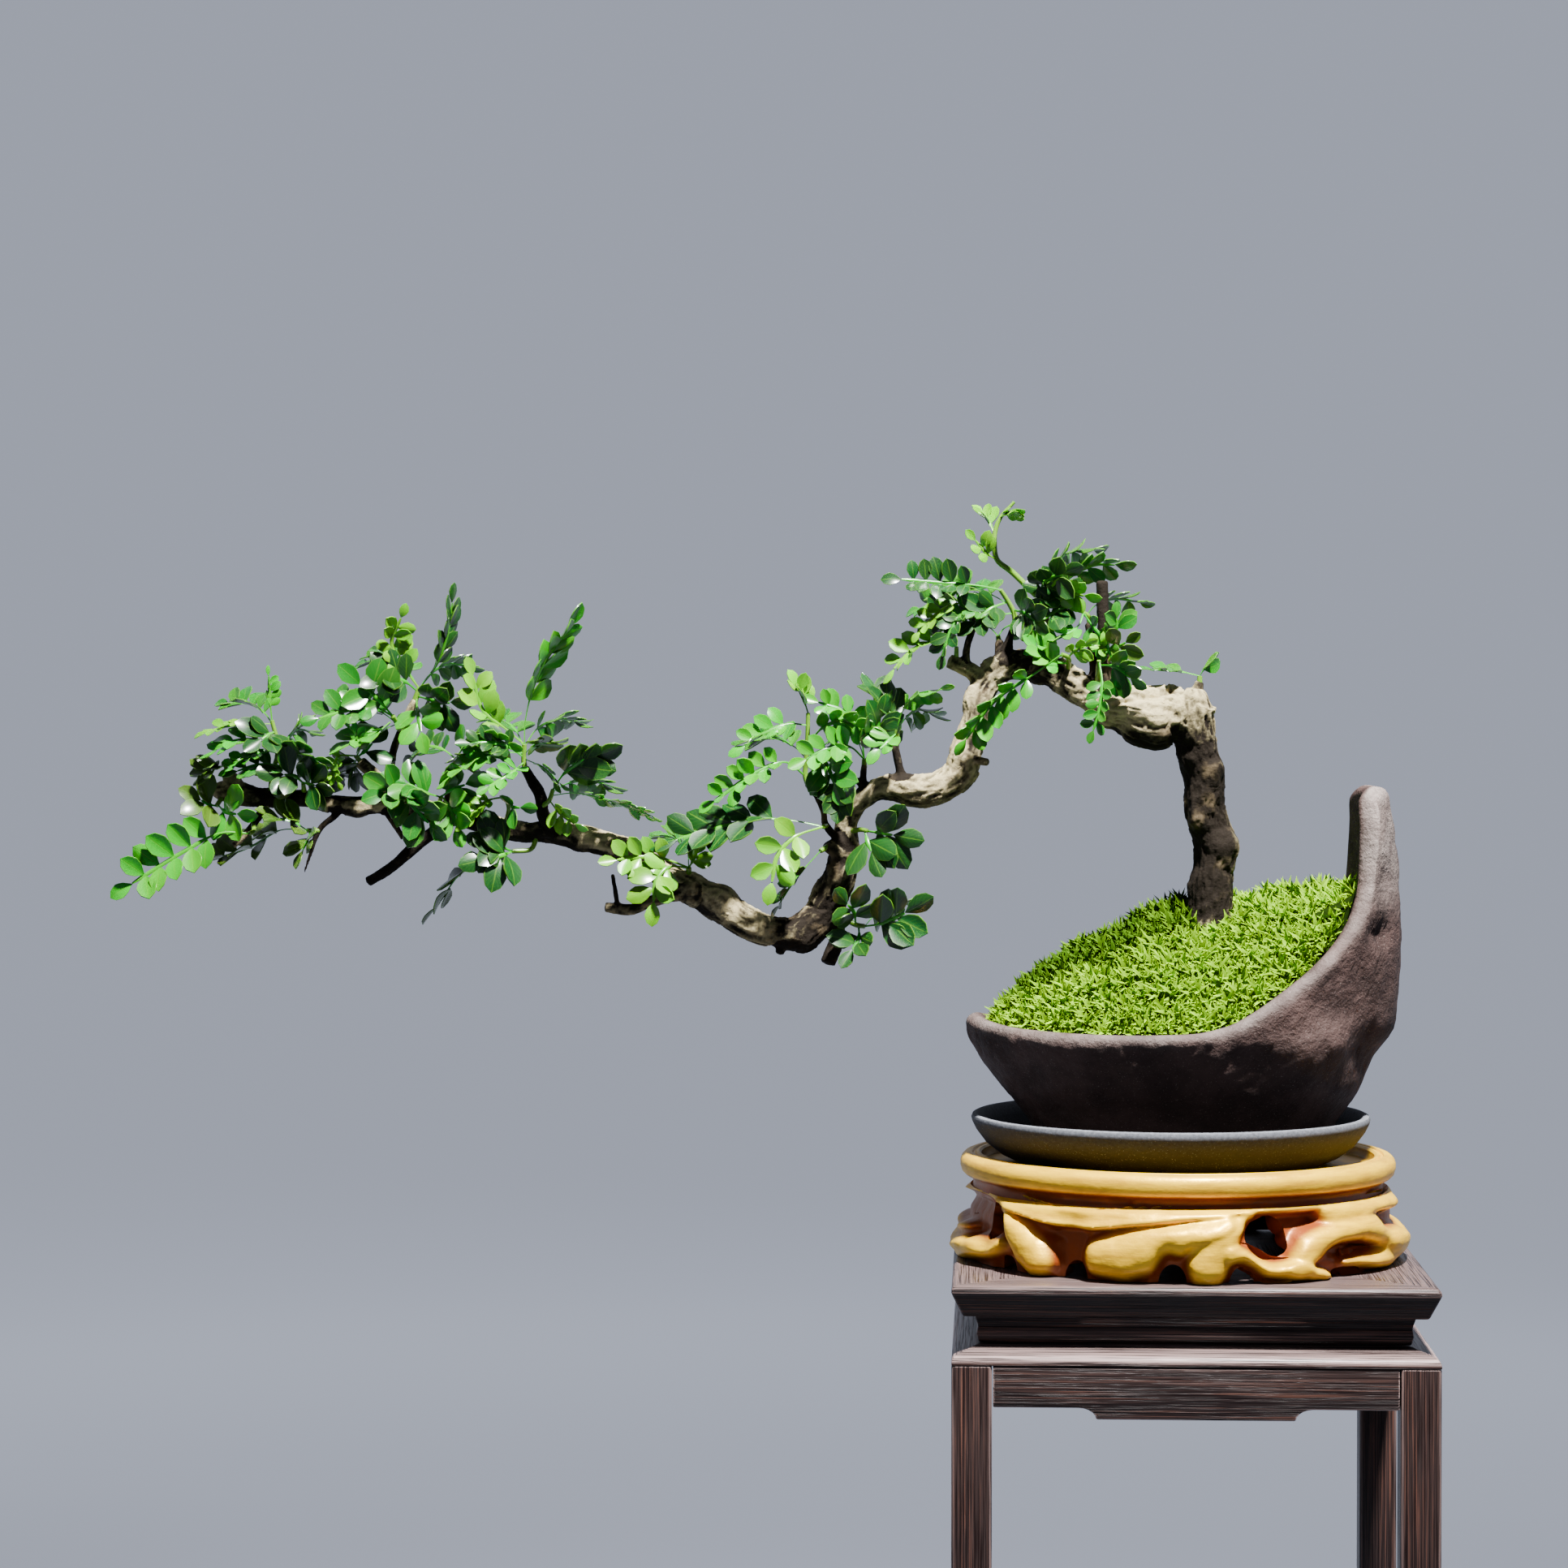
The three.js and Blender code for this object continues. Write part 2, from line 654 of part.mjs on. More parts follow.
// Leaves: each spray has a green stalk of [x, z, radius, y] and leaves of
// [tone, pairs of leaflets, leaflet length, roll in degrees, midrib points of [x, z, y]].
// At a roll of 0 the leaf faces the front, at 90 it lies flat and is seen edge on.
const SPRAYS = {
  crown_shoot: {
    stalk: [
      [-45.2, 391, 1, 1],
      [-51, 396.7, 1, 0.5],
      [-56.5, 402, 1, 0],
      [-61, 405.7, 0.9, -0.5],
      [-62, 411, 0.9, -0.5],
      [-61.7, 415, 0.8, 0],
      [-60, 419.4, 0.7, 0.5],
      [-55.5, 424.5, 0.5, 1],
    ],
    leaves: [
      ["lime", 3, 7, 25, [[-61, 405.7, -0.5], [-64.5, 408, -3], [-68, 412, -5]]],
      ["lime", 3, 6.5, 40, [[-61.8, 414, 0], [-63.6, 418, 2], [-66, 421, 4]]],
      ["lime", 3, 6.5, 50, [[-60, 419.4, 0.5], [-58, 421, -3], [-55, 421.5, -7]]],
      ["dark", 5, 9, 35, [[-46.5, 393, 1], [-43, 396, 3], [-36, 403, 5], [-26, 407, 6], [-17, 405.5, 6]]],
      ["lime", 3, 7, 30, [[-46.5, 393, 1], [-40, 395.5, -2], [-33, 394, -5]]],
      ["dark", 3, 8.5, 15, [[-48, 394.2, 1], [-45, 399, -4], [-40, 401, -8]]],
      ["mid", 5, 8.5, 60, [[-48, 394.2, 1], [-44, 402, 9], [-38, 408, 17], [-30, 409, 24]]],
    ],
  },
  crown_high_left: {
    stalk: [[-55.1, 386, 1, -1], [-55.6, 388.5, 0.9, -1], [-58, 393, 0.8, -2], [-60, 396, 0.7, -3]],
    leaves: [
      ["dark", 5, 9, 30, [[-60, 396, -3], [-68, 397.5, -5], [-78, 398.3, -7], [-92, 399.5, -10]]],
      ["dark", 2, 8.5, 20, [[-56, 389.5, -1], [-52.5, 388.5, -5], [-49, 386, -8]]],
      ["mid", 4, 8.5, 65, [[-57, 391, -1.6], [-62, 394, 6], [-70, 397, 14], [-79, 396, 20]]],
    ],
  },
  crown_left: {
    stalk: [[-68.4, 386.8, 1, -3], [-68.5, 388.5, 0.9, -3], [-70, 391, 0.8, -4]],
    leaves: [
      ["lime", 4, 8, 25, [[-70, 391, -4], [-75, 391.5, -6], [-81, 388, -8], [-86, 382.5, -9]]],
      ["dark", 4, 8.5, 20, [[-69, 389.5, -3.5], [-72, 388.5, -8], [-76, 383, -12], [-78.5, 375.5, -14]]],
      ["dark", 2, 10, 10, [[-69.5, 390.3, -4], [-73, 389.5, -1], [-79, 386.5, 1]]],
      ["mid", 4, 8, 60, [[-69.2, 390, -3], [-72, 392, 4], [-78, 393, 11], [-86, 390, 17]]],
    ],
  },
  crown_stub: {
    stalk: [[-74.3, 373, 0.9, -1.5], [-74.2, 377.5, 0.7, -3]],
    leaves: [
      ["lime", 4, 6.5, 40, [[-74.2, 377.5, -3], [-80, 379.5, -5], [-88, 377, -6], [-94.5, 370.5, -8]]],
    ],
  },
  crown_inner: {
    stalk: [[-31, 384, 1, 4], [-31.3, 387, 0.9, 4], [-33, 388.5, 0.8, 3]],
    leaves: [
      ["dark", 3, 8.5, 15, [[-33, 388.5, 3], [-37, 391, 0], [-41, 389.6, -3], [-46, 386.5, -6]]],
      ["mid", 3, 7.5, 30, [[-33, 388.5, 3], [-35, 384, -2], [-40, 381, -6], [-48, 377.5, -8]]],
      ["mid", 4, 8, 55, [[-32, 387.8, 3.5], [-29, 391, 10], [-23, 393, 17], [-15, 392, 22]]],
    ],
  },
  crown_right: {
    stalk: [[-25.3, 372.5, 0.9, -4], [-23, 375.8, 0.8, -5.5], [-22.4, 381, 0.7, -6]],
    leaves: [
      ["mid", 2, 6.5, 20, [[-22.4, 381, -6], [-22.3, 383.5, -6.5], [-22.2, 386.5, -7]]],
      ["mid", 1, 6, 20, [[-23, 375.8, -5.5], [-21.5, 377.5, -7], [-19.5, 378.8, -8]]],
      ["lime", 2, 4.5, 30, [[-23.6, 375.3, -5.2], [-27, 377.3, -7.5], [-31, 378, -8.5]]],
    ],
  },
  crown_front: {
    stalk: [[-38, 370, 0.9, -3], [-38, 374, 0.8, -9], [-40, 375, 0.7, -11]],
    leaves: [
      [
        "bright", 7, 8.5, 15,
        [[-40, 375, -11], [-50, 368, -13.5], [-60, 361.5, -15], [-66, 355, -15.5], [-71, 347.5, -15]],
      ],
      ["lime", 2, 5.5, 25, [[-38, 374, -9], [-36, 376, -11], [-33, 377.5, -12]]],
    ],
  },
  crown_droop: {
    stalk: [[-28.5, 365, 0.9, -5], [-28.3, 370, 0.8, -10.5], [-28, 373, 0.7, -12]],
    leaves: [
      ["mid", 5, 7.5, 15, [[-28, 373, -12], [-27, 365, -15.5], [-27.8, 357, -16.5], [-29.8, 350.5, -16]]],
      ["mid", 3, 7, 20, [[-28.2, 371.5, -11.3], [-23, 371, -13.5], [-18, 367.5, -15]]],
    ],
  },
  crown_knee: {
    stalk: [[4.5, 365.3, 1, -2.5], [4.6, 368, 0.8, -2.5]],
    leaves: [
      ["mid", 2, 6.5, 35, [[4.6, 368, -2.5], [-2, 369.5, -3.5], [-10, 370, -4]]],
      ["mid", 1, 6, 40, [[4.6, 368, -2.5], [5.8, 370, -1.5], [7.4, 371.8, -0.5]]],
    ],
  },
  crown_back: {
    stalk: [[-60.4, 378.6, 1, 3.8], [-60.7, 381, 0.8, 4.5]],
    leaves: [
      ["dark", 5, 8.5, 55, [[-60.7, 381, 4.5], [-64, 384, 10], [-71, 385, 15], [-80, 383, 20]]],
      ["mid", 4, 8, 50, [[-60.7, 381, 4.5], [-58, 384, 10], [-51, 385.5, 15], [-43, 383, 20]]],
    ],
  },
  middle_top_right: {
    stalk: [[-93.8, 347.8, 1, -7], [-93.5, 350.5, 0.8, -7]],
    leaves: [
      ["bright", 3, 7.5, 25, [[-93.5, 350.5, -7], [-92, 356, -8], [-88, 361.5, -9], [-80, 363.5, -10]]],
      ["dark", 3, 8.5, 20, [[-93.5, 350.5, -7], [-95.5, 356, -5], [-99.5, 361.5, -3]]],
      ["bright", 2, 6, 30, [[-93.6, 349.5, -7], [-96, 347.5, -10.5], [-99, 344.5, -13]]],
      ["mid", 4, 8, 60, [[-93.5, 350.5, -7], [-91, 354, 0], [-87, 357, 8], [-82, 356, 16]]],
    ],
  },
  middle_centre: {
    stalk: [[-104.2, 338.2, 1, -2], [-104.2, 341, 0.8, -2]],
    leaves: [
      ["mid", 4, 8, 15, [[-104.2, 341, -2], [-105.5, 349, -3], [-110, 356, -4], [-119, 359.5, -5]]],
      ["dark", 4, 9, 5, [[-104.2, 341, -2], [-109, 345, -7], [-116, 344.5, -11], [-123, 341, -13]]],
      ["mid", 5, 8, 60, [[-104.2, 341, -2], [-106, 346, 6], [-109, 349, 14], [-113, 348, 22]]],
    ],
  },
  middle_top_left: {
    stalk: [[-122.6, 332.6, 0.9, -3], [-123.4, 335.5, 0.9, -3], [-122.8, 345, 0.8, -3.5], [-122.5, 356, 0.7, -4]],
    leaves: [
      ["bright", 4, 7.5, 30, [[-122.6, 352, -4], [-129, 352.5, -6], [-136, 350, -8], [-143, 345.5, -9]]],
      ["lime", 3, 6, 35, [[-122.5, 356, -4], [-124, 360.5, -4.5], [-126, 364.5, -5]]],
      ["bright", 6, 8.5, 20, [[-123.4, 335.5, -3], [-130, 340, -8], [-138, 337.5, -11], [-153, 327.5, -14]]],
      ["mid", 5, 8, 60, [[-123, 341, -3.2], [-127, 345, 4], [-134, 348, 12], [-142, 347, 19]]],
    ],
  },
  middle_front: {
    stalk: [[-116.6, 319.3, 0.9, -4.5], [-117.5, 319, 0.8, -9]],
    leaves: [
      ["dark", 6, 9, 25, [[-117.5, 319, -9], [-128, 321, -10], [-140, 321.3, -11], [-165, 315, -13]]],
      ["bright", 5, 8, 10, [[-117.5, 319, -9], [-127, 315.5, -15], [-132.5, 309.5, -17], [-134.3, 301, -18]]],
    ],
  },
  middle_right: {
    stalk: [[-108.5, 317.5, 0.9, -2], [-105, 318, 0.8, -5.5], [-103, 317.5, 0.7, -6.5]],
    leaves: [
      ["dark", 2, 10, 10, [[-103, 317.5, -6.5], [-99.5, 317, -8.5], [-95, 316.3, -9.5]]],
      ["dark", 1, 9, 15, [[-104, 317.8, -6], [-103, 313.5, -9], [-102, 311, -10]]],
    ],
  },
  middle_low_right: {
    stalk: [[-111.8, 290, 1, 1.5], [-107, 287, 0.9, 0], [-104, 286.5, 0.8, -1]],
    leaves: [
      ["dark", 4, 10, 15, [[-104, 286.5, -1], [-98, 287.5, -3], [-92, 290, -5], [-86, 292, -6]]],
      ["dark", 2, 8.5, 15, [[-107, 287, 0], [-107.5, 291, -5], [-109.5, 293.5, -8]]],
      ["mid", 2, 8, 20, [[-106, 286.8, -0.3], [-106, 282.5, -3], [-108, 279, -5]]],
      ["mid", 4, 8, 60, [[-104, 286.5, -1], [-101, 290, 7], [-97, 293, 14], [-91, 294, 20]]],
    ],
  },
  middle_hanging: {
    stalk: [[-107.4, 334.7, 0.8, -4], [-109.4, 335.2, 0.7, -5.5]],
    leaves: [["dark", 2, 8, 10, [[-109.4, 335.2, -5.5], [-110.3, 332, -7.5], [-111, 329, -8.5]]]],
  },
  middle_low_left: {
    stalk: [[-161.5, 302, 1, -7], [-161.5, 305.5, 0.9, -9]],
    leaves: [
      ["bright", 5, 8, 15, [[-161.5, 305.5, -9], [-170, 308.5, -12], [-178, 309, -14], [-185, 308, -15]]],
      ["bright", 4, 7.5, 10, [[-161.5, 305.5, -9], [-168.5, 305.5, -14], [-172.3, 301, -17], [-173, 294.5, -18]]],
      ["lime", 2, 5, 30, [[-161.5, 305.5, -9], [-160, 308, -8], [-158.8, 310, -7.5]]],
      ["mid", 4, 8, 60, [[-161.5, 305.5, -9], [-162, 311, -2], [-165, 315, 5], [-170, 316, 12]]],
    ],
  },
  middle_edge: {
    stalk: [[-116, 312.6, 0.9, -5], [-118.5, 311, 0.8, -7.5]],
    leaves: [["dark", 5, 8, 65, [[-118.5, 311, -7.5], [-124, 305, -9], [-129, 298.5, -10.5], [-132, 293.5, -11]]]],
  },
  left_tall: {
    stalk: [[-215, 337.2, 1, -1], [-215.6, 340.5, 0.9, -1], [-215.4, 345.7, 0.8, -1.5]],
    leaves: [
      ["bright", 7, 8.5, 30, [[-215.4, 345.7, -1.5], [-215, 354, -2], [-211, 368, -3.5], [-201, 384, -5]]],
      ["lime", 4, 7, 35, [[-215.4, 345.7, -1.5], [-221, 350.4, -3], [-229, 357, -5], [-232.3, 368, -6]]],
      ["dark", 5, 8.5, 30, [[-215.5, 341.5, -1], [-221, 345, -7], [-227, 346.5, -10], [-233, 346, -12]]],
      ["olive", 3, 7.5, 75, [[-215.5, 342.5, -1], [-212, 345.5, -3], [-208, 346.3, -5]]],
      ["mid", 4, 8, 20, [[-215.5, 340, -1], [-219, 337, -9], [-223, 334.5, -12], [-227, 332, -14]]],
      ["mid", 5, 8, 60, [[-215.4, 344, -1.3], [-218, 350, 6], [-222, 353, 14], [-228, 352, 21]]],
      ["mid", 5, 8, 60, [[-215.4, 345, -1.4], [-211, 351, 6], [-204, 354, 13], [-197, 353, 20]]],
    ],
  },
  left_right: {
    stalk: [[-209.6, 325.5, 0.9, -1.5], [-207.2, 327.5, 0.8, -4], [-206, 331, 0.7, -5]],
    leaves: [
      ["dark", 4, 9.5, 15, [[-206, 331, -5], [-202.5, 336, -7], [-197, 340, -9], [-192.5, 341.8, -10]]],
      ["olive", 6, 7.5, 75, [[-206.6, 329, -4.5], [-199, 329.8, -6], [-188, 327.5, -9], [-174, 322.5, -13]]],
      ["lime", 3, 5, 30, [[-207.2, 327.5, -4], [-204, 323.5, -8], [-199, 319.8, -10]]],
      ["mid", 4, 8, 55, [[-206.4, 330, -4.8], [-201, 333, 3], [-194, 334, 10], [-187, 332, 16]]],
    ],
  },
  left_young: {
    stalk: [[-221.5, 320, 0.9, 2], [-220.6, 325, 0.7, -2], [-221.7, 328.5, 0.7, -4]],
    leaves: [
      ["lime", 5, 7, 20, [[-221.7, 328.5, -4], [-227, 327.5, -8], [-232, 323.8, -10], [-235.5, 320, -11]]],
      ["mid", 1, 6.5, 10, [[-220.8, 325, -2], [-219, 325.2, -5.5], [-217, 325, -7]]],
    ],
  },
  left_crown: {
    stalk: [[-251.6, 359.3, 1.1, 5], [-250.9, 361.5, 1, 5], [-250, 364, 0.9, 5]],
    leaves: [
      ["dark", 6, 9, 25, [[-250, 364, 5], [-244.5, 371, 3], [-241, 380, 2], [-239, 392, 0]]],
      ["lime", 5, 7, 30, [[-250, 364, 5], [-255, 371, 2], [-259, 379, 0], [-256, 387, -2]]],
      ["dark", 3, 8, 30, [[-250.4, 363, 5], [-255, 366.5, 1], [-259.5, 367.5, -2], [-262, 367, -4]]],
      ["dark", 3, 8, 15, [[-250.8, 361.5, 5], [-247, 360.5, 1], [-243, 359.3, -1], [-240, 359.3, -2]]],
      ["bright", 2, 8, 10, [[-251, 361, 5], [-250.5, 356, -1], [-249.5, 350, -5]]],
      ["mid", 5, 8.5, 60, [[-250, 364, 5], [-246, 369, 12], [-240, 372, 19], [-233, 371, 25]]],
      ["mid", 5, 8.5, 60, [[-250, 364, 5], [-254, 370, 12], [-260, 374, 19], [-267, 373, 25]]],
    ],
  },
  left_stub: {
    stalk: [[-238.2, 338, 1, 5], [-238, 341, 0.8, 5.3]],
    leaves: [
      ["mid", 3, 7.5, 30, [[-238, 341, 5.3], [-235, 345, 8], [-230, 347, 11]]],
      ["dark", 4, 8, 40, [[-238, 341, 5.3], [-242, 344, 11], [-247, 345, 16], [-252, 342, 20]]],
      ["olive", 2, 6.5, 60, [[-238, 340.5, 5.2], [-236, 341.5, 1], [-233.5, 341, -2]]],
    ],
  },
  left_front: {
    stalk: [[-255, 327.5, 0.9, -1.5], [-255.2, 330.8, 0.7, -5]],
    leaves: [
      ["mid", 2, 7.5, 10, [[-255.2, 330.8, -5], [-258, 331, -8], [-261, 330, -9.5]]],
      ["mid", 3, 7.5, 15, [[-255.2, 330.8, -5], [-252.5, 326, -9], [-249.5, 322.5, -10], [-247, 320, -10.5]]],
    ],
  },
  left_short: {
    stalk: [[-243.5, 325, 0.9, 0.5], [-243, 328.5, 0.7, -2.5]],
    leaves: [["mid", 2, 7.5, 20, [[-243, 328.5, -2.5], [-239, 331, -5], [-235, 332.5, -6]]]],
  },
  left_below: {
    stalk: [[-211.5, 315, 0.9, 2], [-213.2, 311.5, 0.8, 1], [-219.4, 310.7, 0.8, -1]],
    leaves: [
      ["dark", 3, 9, 15, [[-219.4, 310.7, -1], [-223, 312.2, -3.5], [-227, 313.2, -5]]],
      ["dark", 2, 9, 10, [[-219.4, 310.7, -1], [-222.5, 309.5, -6], [-227, 308.5, -8.5]]],
      ["olive", 5, 7.5, 80, [[-219.4, 310.7, -1], [-227, 309, 5], [-236, 304, 9], [-244, 293, 12]]],
    ],
  },
  far_low: {
    stalk: [[-304.8, 319.6, 0.9, -6.5], [-304.8, 317, 0.8, -10], [-306, 316.5, 0.8, -11]],
    leaves: [
      ["bright", 6, 9.5, 20, [[-306, 316.5, -11], [-316, 316.5, -13], [-327, 311, -15], [-345, 300, -18]]],
    ],
  },
  far_under: {
    stalk: [[-283.2, 317.3, 0.9, -5.5], [-287, 317.5, 0.8, -7.5]],
    leaves: [
      ["olive", 6, 8, 65, [[-287, 317.5, -7.5], [-296, 317.5, -1], [-306, 312, 2.5], [-319, 307.5, 3.5]]],
      ["olive", 3, 8, 60, [[-287, 317.5, -7.5], [-291, 320, -11.5], [-296, 321.5, -13]]],
      ["olive", 2, 7, 40, [[-286, 317.4, -7.2], [-287, 314, -11], [-288.5, 311, -12.5]]],
    ],
  },
  far_end: {
    stalk: [[-315, 328.5, 0.9, -3.5], [-317, 325.5, 0.8, -6]],
    leaves: [
      ["olive", 2, 8.5, 20, [[-317, 325.5, -6], [-319.5, 326, -8], [-322, 327.3, -9]]],
      ["bright", 2, 8, 10, [[-316.7, 326, -5.7], [-314, 323.5, -9.5], [-310.5, 322.8, -11.5]]],
    ],
  },
  far_tall: {
    stalk: [[-299, 329.5, 1, -5], [-298.5, 336, 0.9, -5.5], [-296.5, 344, 0.8, -5.5], [-298.6, 353.5, 0.7, -5]],
    leaves: [
      ["dark", 5, 8, 25, [[-298.6, 353.5, -5], [-299.2, 360, -5.5], [-299.6, 368, -6]]],
      ["lime", 5, 7.5, 70, [[-298.4, 352.5, -5], [-305, 352.3, -7], [-312, 351.8, -9], [-320, 350, -11]]],
      ["bright", 4, 9, 40, [[-296.8, 344, -5.5], [-303, 342.5, -10], [-308, 340.5, -12], [-313, 338, -13]]],
      ["dark", 2, 8.5, 15, [[-297.6, 350, -5.2], [-300, 348.8, -9], [-302, 347.5, -11]]],
      ["mid", 5, 8.5, 60, [[-298, 351.5, -5], [-301, 356, 3], [-306, 359, 11], [-313, 359, 18]]],
      ["mid", 4, 8, 60, [[-296.5, 344, -5.5], [-293, 348, 3], [-290, 350.5, 11], [-286, 350, 18]]],
    ],
  },
  far_large: {
    stalk: [[-256.4, 350.5, 1, 4.5], [-257.2, 352.5, 0.9, 0.5], [-258.7, 355, 0.8, -3]],
    leaves: [
      ["dark", 5, 10, 20, [[-258.7, 355, -3], [-265, 358, -6], [-273, 357, -9], [-283, 354.3, -11]]],
      ["dark", 2, 10, 10, [[-258.7, 355, -3], [-264, 361, -5.5], [-269, 365.3, -7]]],
      ["mid", 5, 8.5, 60, [[-257.2, 352.5, 0.5], [-262, 356, 10], [-269, 359, 18], [-277, 359, 25]]],
    ],
  },
  far_tip: {
    stalk: [[-313.2, 335.6, 0.8, -4], [-314, 338.5, 0.7, -4]],
    leaves: [["olive", 3, 7, 60, [[-314, 338.5, -4], [-316.5, 338.3, -6], [-319, 336.5, -7.5]]]],
  },
  far_inner: {
    stalk: [[-288, 330.5, 0.9, -5], [-288.3, 333, 0.7, -8]],
    leaves: [
      ["dark", 3, 8, 10, [[-288.3, 333, -8], [-291, 335.3, -10.5], [-294.5, 335.8, -12]]],
      ["dark", 2, 8, 10, [[-288.3, 333, -8], [-286.5, 332.8, -10.5], [-284.5, 332.3, -11.5]]],
    ],
  },
  far_drooping: {
    stalk: [[-268.9, 339.6, 0.9, -3], [-271, 342, 0.8, -4]],
    leaves: [
      ["lime", 5, 7, 20, [[-271, 342, -4], [-276.5, 341.7, -8], [-278.5, 337.5, -10], [-277, 333.5, -11]]],
      ["mid", 4, 7, 60, [[-270.7, 341.6, -3.8], [-269.5, 345, -8], [-271, 349, -9], [-272.5, 351, -10]]],
      ["dark", 1, 8, 5, [[-270.5, 341.4, -3.7], [-268, 343.5, -1], [-265.5, 346, 0.5]]],
      ["dark", 2, 7.5, 20, [[-270.3, 341.2, -3.6], [-271.5, 339, 0.5], [-271.3, 336.5, 2]]],
    ],
  },
};

// A repeatable draw between 0 and 1.
let draw = 7;
function random() {
  draw = (draw * 16807) % 2147483647;
  return draw / 2147483647;
}

// The outline of a leaf laid flat, as points of [way along the midrib, way across it, rise]:
// a petiole, pairs of leaflets cut to the midrib, and one leaflet at the tip.
function leafOutline(pairs, length, rib) {
  const first = 0.36 * rib;
  const spacing = (rib - first) / (pairs + 0.25);
  const sideOf = (hand) => {
    const points = [[0, 0, 0]];
    for (let pair = 0; pair < pairs; pair++) {
      const foot = first + spacing * (pair + 0.4);
      const size = length * (0.86 + 0.14 * Math.sin((Math.PI * (pair + 1)) / (pairs + 1)));
      const wide = Math.min(LEAFLET.broad * size, spacing * 0.98);
      const turn = 1.1 + 0.24 * (random() - 0.5);
      const rise = 0.15 + 0.5 * (random() - 0.5);
      const [c, s] = [Math.cos(turn), Math.sin(turn)];
      const at = (far, beside) => [foot + far * c + beside * s, far * s - beside * c, far * rise];
      points.push([foot - spacing * 0.42, 0, 0], at(size * 0.5, -wide / 2), at(size, 0));
      points.push(at(size * 0.5, wide / 2));
    }
    points.push([rib + length * 0.45, (LEAFLET.broad * length) / 2, 0]);
    return points.map(([s, t, rise]) => [s, hand * Math.max(t, LEAFLET.rib), rise]);
  };
  return [...sideOf(1), [rib + length, 0, 0], ...sideOf(-1).reverse()];
}

// One leaf: its outline as a thin blade, folded up along the midrib and bent along its points.
function leaf([, pairs, length, roll, points], swing) {
  const last = points.length - 1;
  const spots = points.map(([x, z, y], i) => atDepth(x, z, y + (swing * i) / last));
  const curve = new THREE.CatmullRomCurve3(spots, false, "centripetal");
  const rib = curve.getLength();
  const outline = leafOutline(Math.max(1, Math.round(pairs * LEAFLET.shown)), length, rib);
  const shape = new THREE.Shape(outline.map(([s, t]) => new THREE.Vector2(s, t)));
  const blade = new THREE.ExtrudeGeometry(shape, { depth: LEAFLET.thick, bevelEnabled: false });
  const rises = new Map(outline.map(([s, t, rise]) => [s.toFixed(3) + "," + t.toFixed(3), rise]));
  const toFront = new THREE.Vector3(0, -1, 0);
  const position = blade.getAttribute("position");
  for (let i = 0; i < position.count; i++) {
    const [s, t, h] = [position.getX(i), position.getY(i), position.getZ(i)];
    const at = Math.min(s / rib, 1);
    const ahead = curve.getTangentAt(at);
    const side = new THREE.Vector3().crossVectors(ahead, toFront).normalize();
    const face = new THREE.Vector3().crossVectors(side, ahead).normalize();
    side.applyAxisAngle(ahead, radians(roll));
    face.applyAxisAngle(ahead, radians(roll));
    const rise = rises.get(s.toFixed(3) + "," + t.toFixed(3)) + LEAFLET.fold * Math.abs(t);
    const spot = curve.getPointAt(at).addScaledVector(ahead, Math.max(s - rib, 0));
    spot.addScaledVector(side, t).addScaledVector(face, h - LEAFLET.thick / 2 + rise);
    position.setXYZ(i, spot.x, spot.y, spot.z);
  }
  return solid(blade);
}

function near(a, b) {
  const [p, q] = [a.boundingBox(), b.boundingBox()];
  return [0, 1, 2].every((i) => p.min[i] - GAP < q.max[i] && q.min[i] - GAP < p.max[i]);
}

// A leaf that would meet wood or another spray is swung towards the front or the back until
// it is clear.
const SWINGS = [0, -3, 3, -6, 6, -9, 9, -12, 12, -15, 15, -19, 19, -24, 24];

function sprays(bark) {
  const standing = [bark];
  for (const [name, { stalk, leaves }] of Object.entries(SPRAYS)) {
    const parts = [stem(stalk, 3, stalk.length - 1)];
    for (const [index, row] of leaves.entries()) {
      const drawn = draw;
      let best;
      for (const swing of SWINGS) {
        draw = drawn;
        const whole = leaf(row, swing);
        const meets = standing.filter((other) => near(whole, other) && whole.minGap(other, GAP) < GAP * 0.9);
        if (!best || meets.length < best.meets.length) best = { whole, meets, swing };
        if (!meets.length) break;
      }
      parts.push(best.whole);
    }
    let spray = wasm.Manifold.union(parts);
    for (const other of standing) if (near(spray, other)) spray = spray.subtract(other);
    spray = largestBody(spray);
    standing.push(spray);
    addPiece("spray_" + name, spray, LEAF_GREEN);
  }
}

table();
carvedStand();
saucer();
pot();
ground(trunkHole());
addPiece("tree_wood", wood(0), BARK);
sprays(wood(GAP));

// The origin is the middle of the underside of everything.
const box = new THREE.Box3().setFromObject(root);
const middle = box.getCenter(new THREE.Vector3());
root.children.forEach((piece) => piece.position.set(-middle.x, -middle.y, -box.min.z));

export default root;
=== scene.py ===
"""A Japanese pepper bonsai that cascades over the side of its clay pot, with the saucer, the carved
round stand and the dark wooden table under it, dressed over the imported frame.

The lists of points are in millimetres, with x = 0 and y = 0 in the middle of the table and z = 0
on the floor. A piece moves to its place in the frame, in metres, when it is added.
"""

import math
import random

import bmesh
import bpy
from bpy.props import FloatProperty, FloatVectorProperty, PointerProperty
from mathutils import Matrix, Vector, noise
from mathutils.kdtree import KDTree


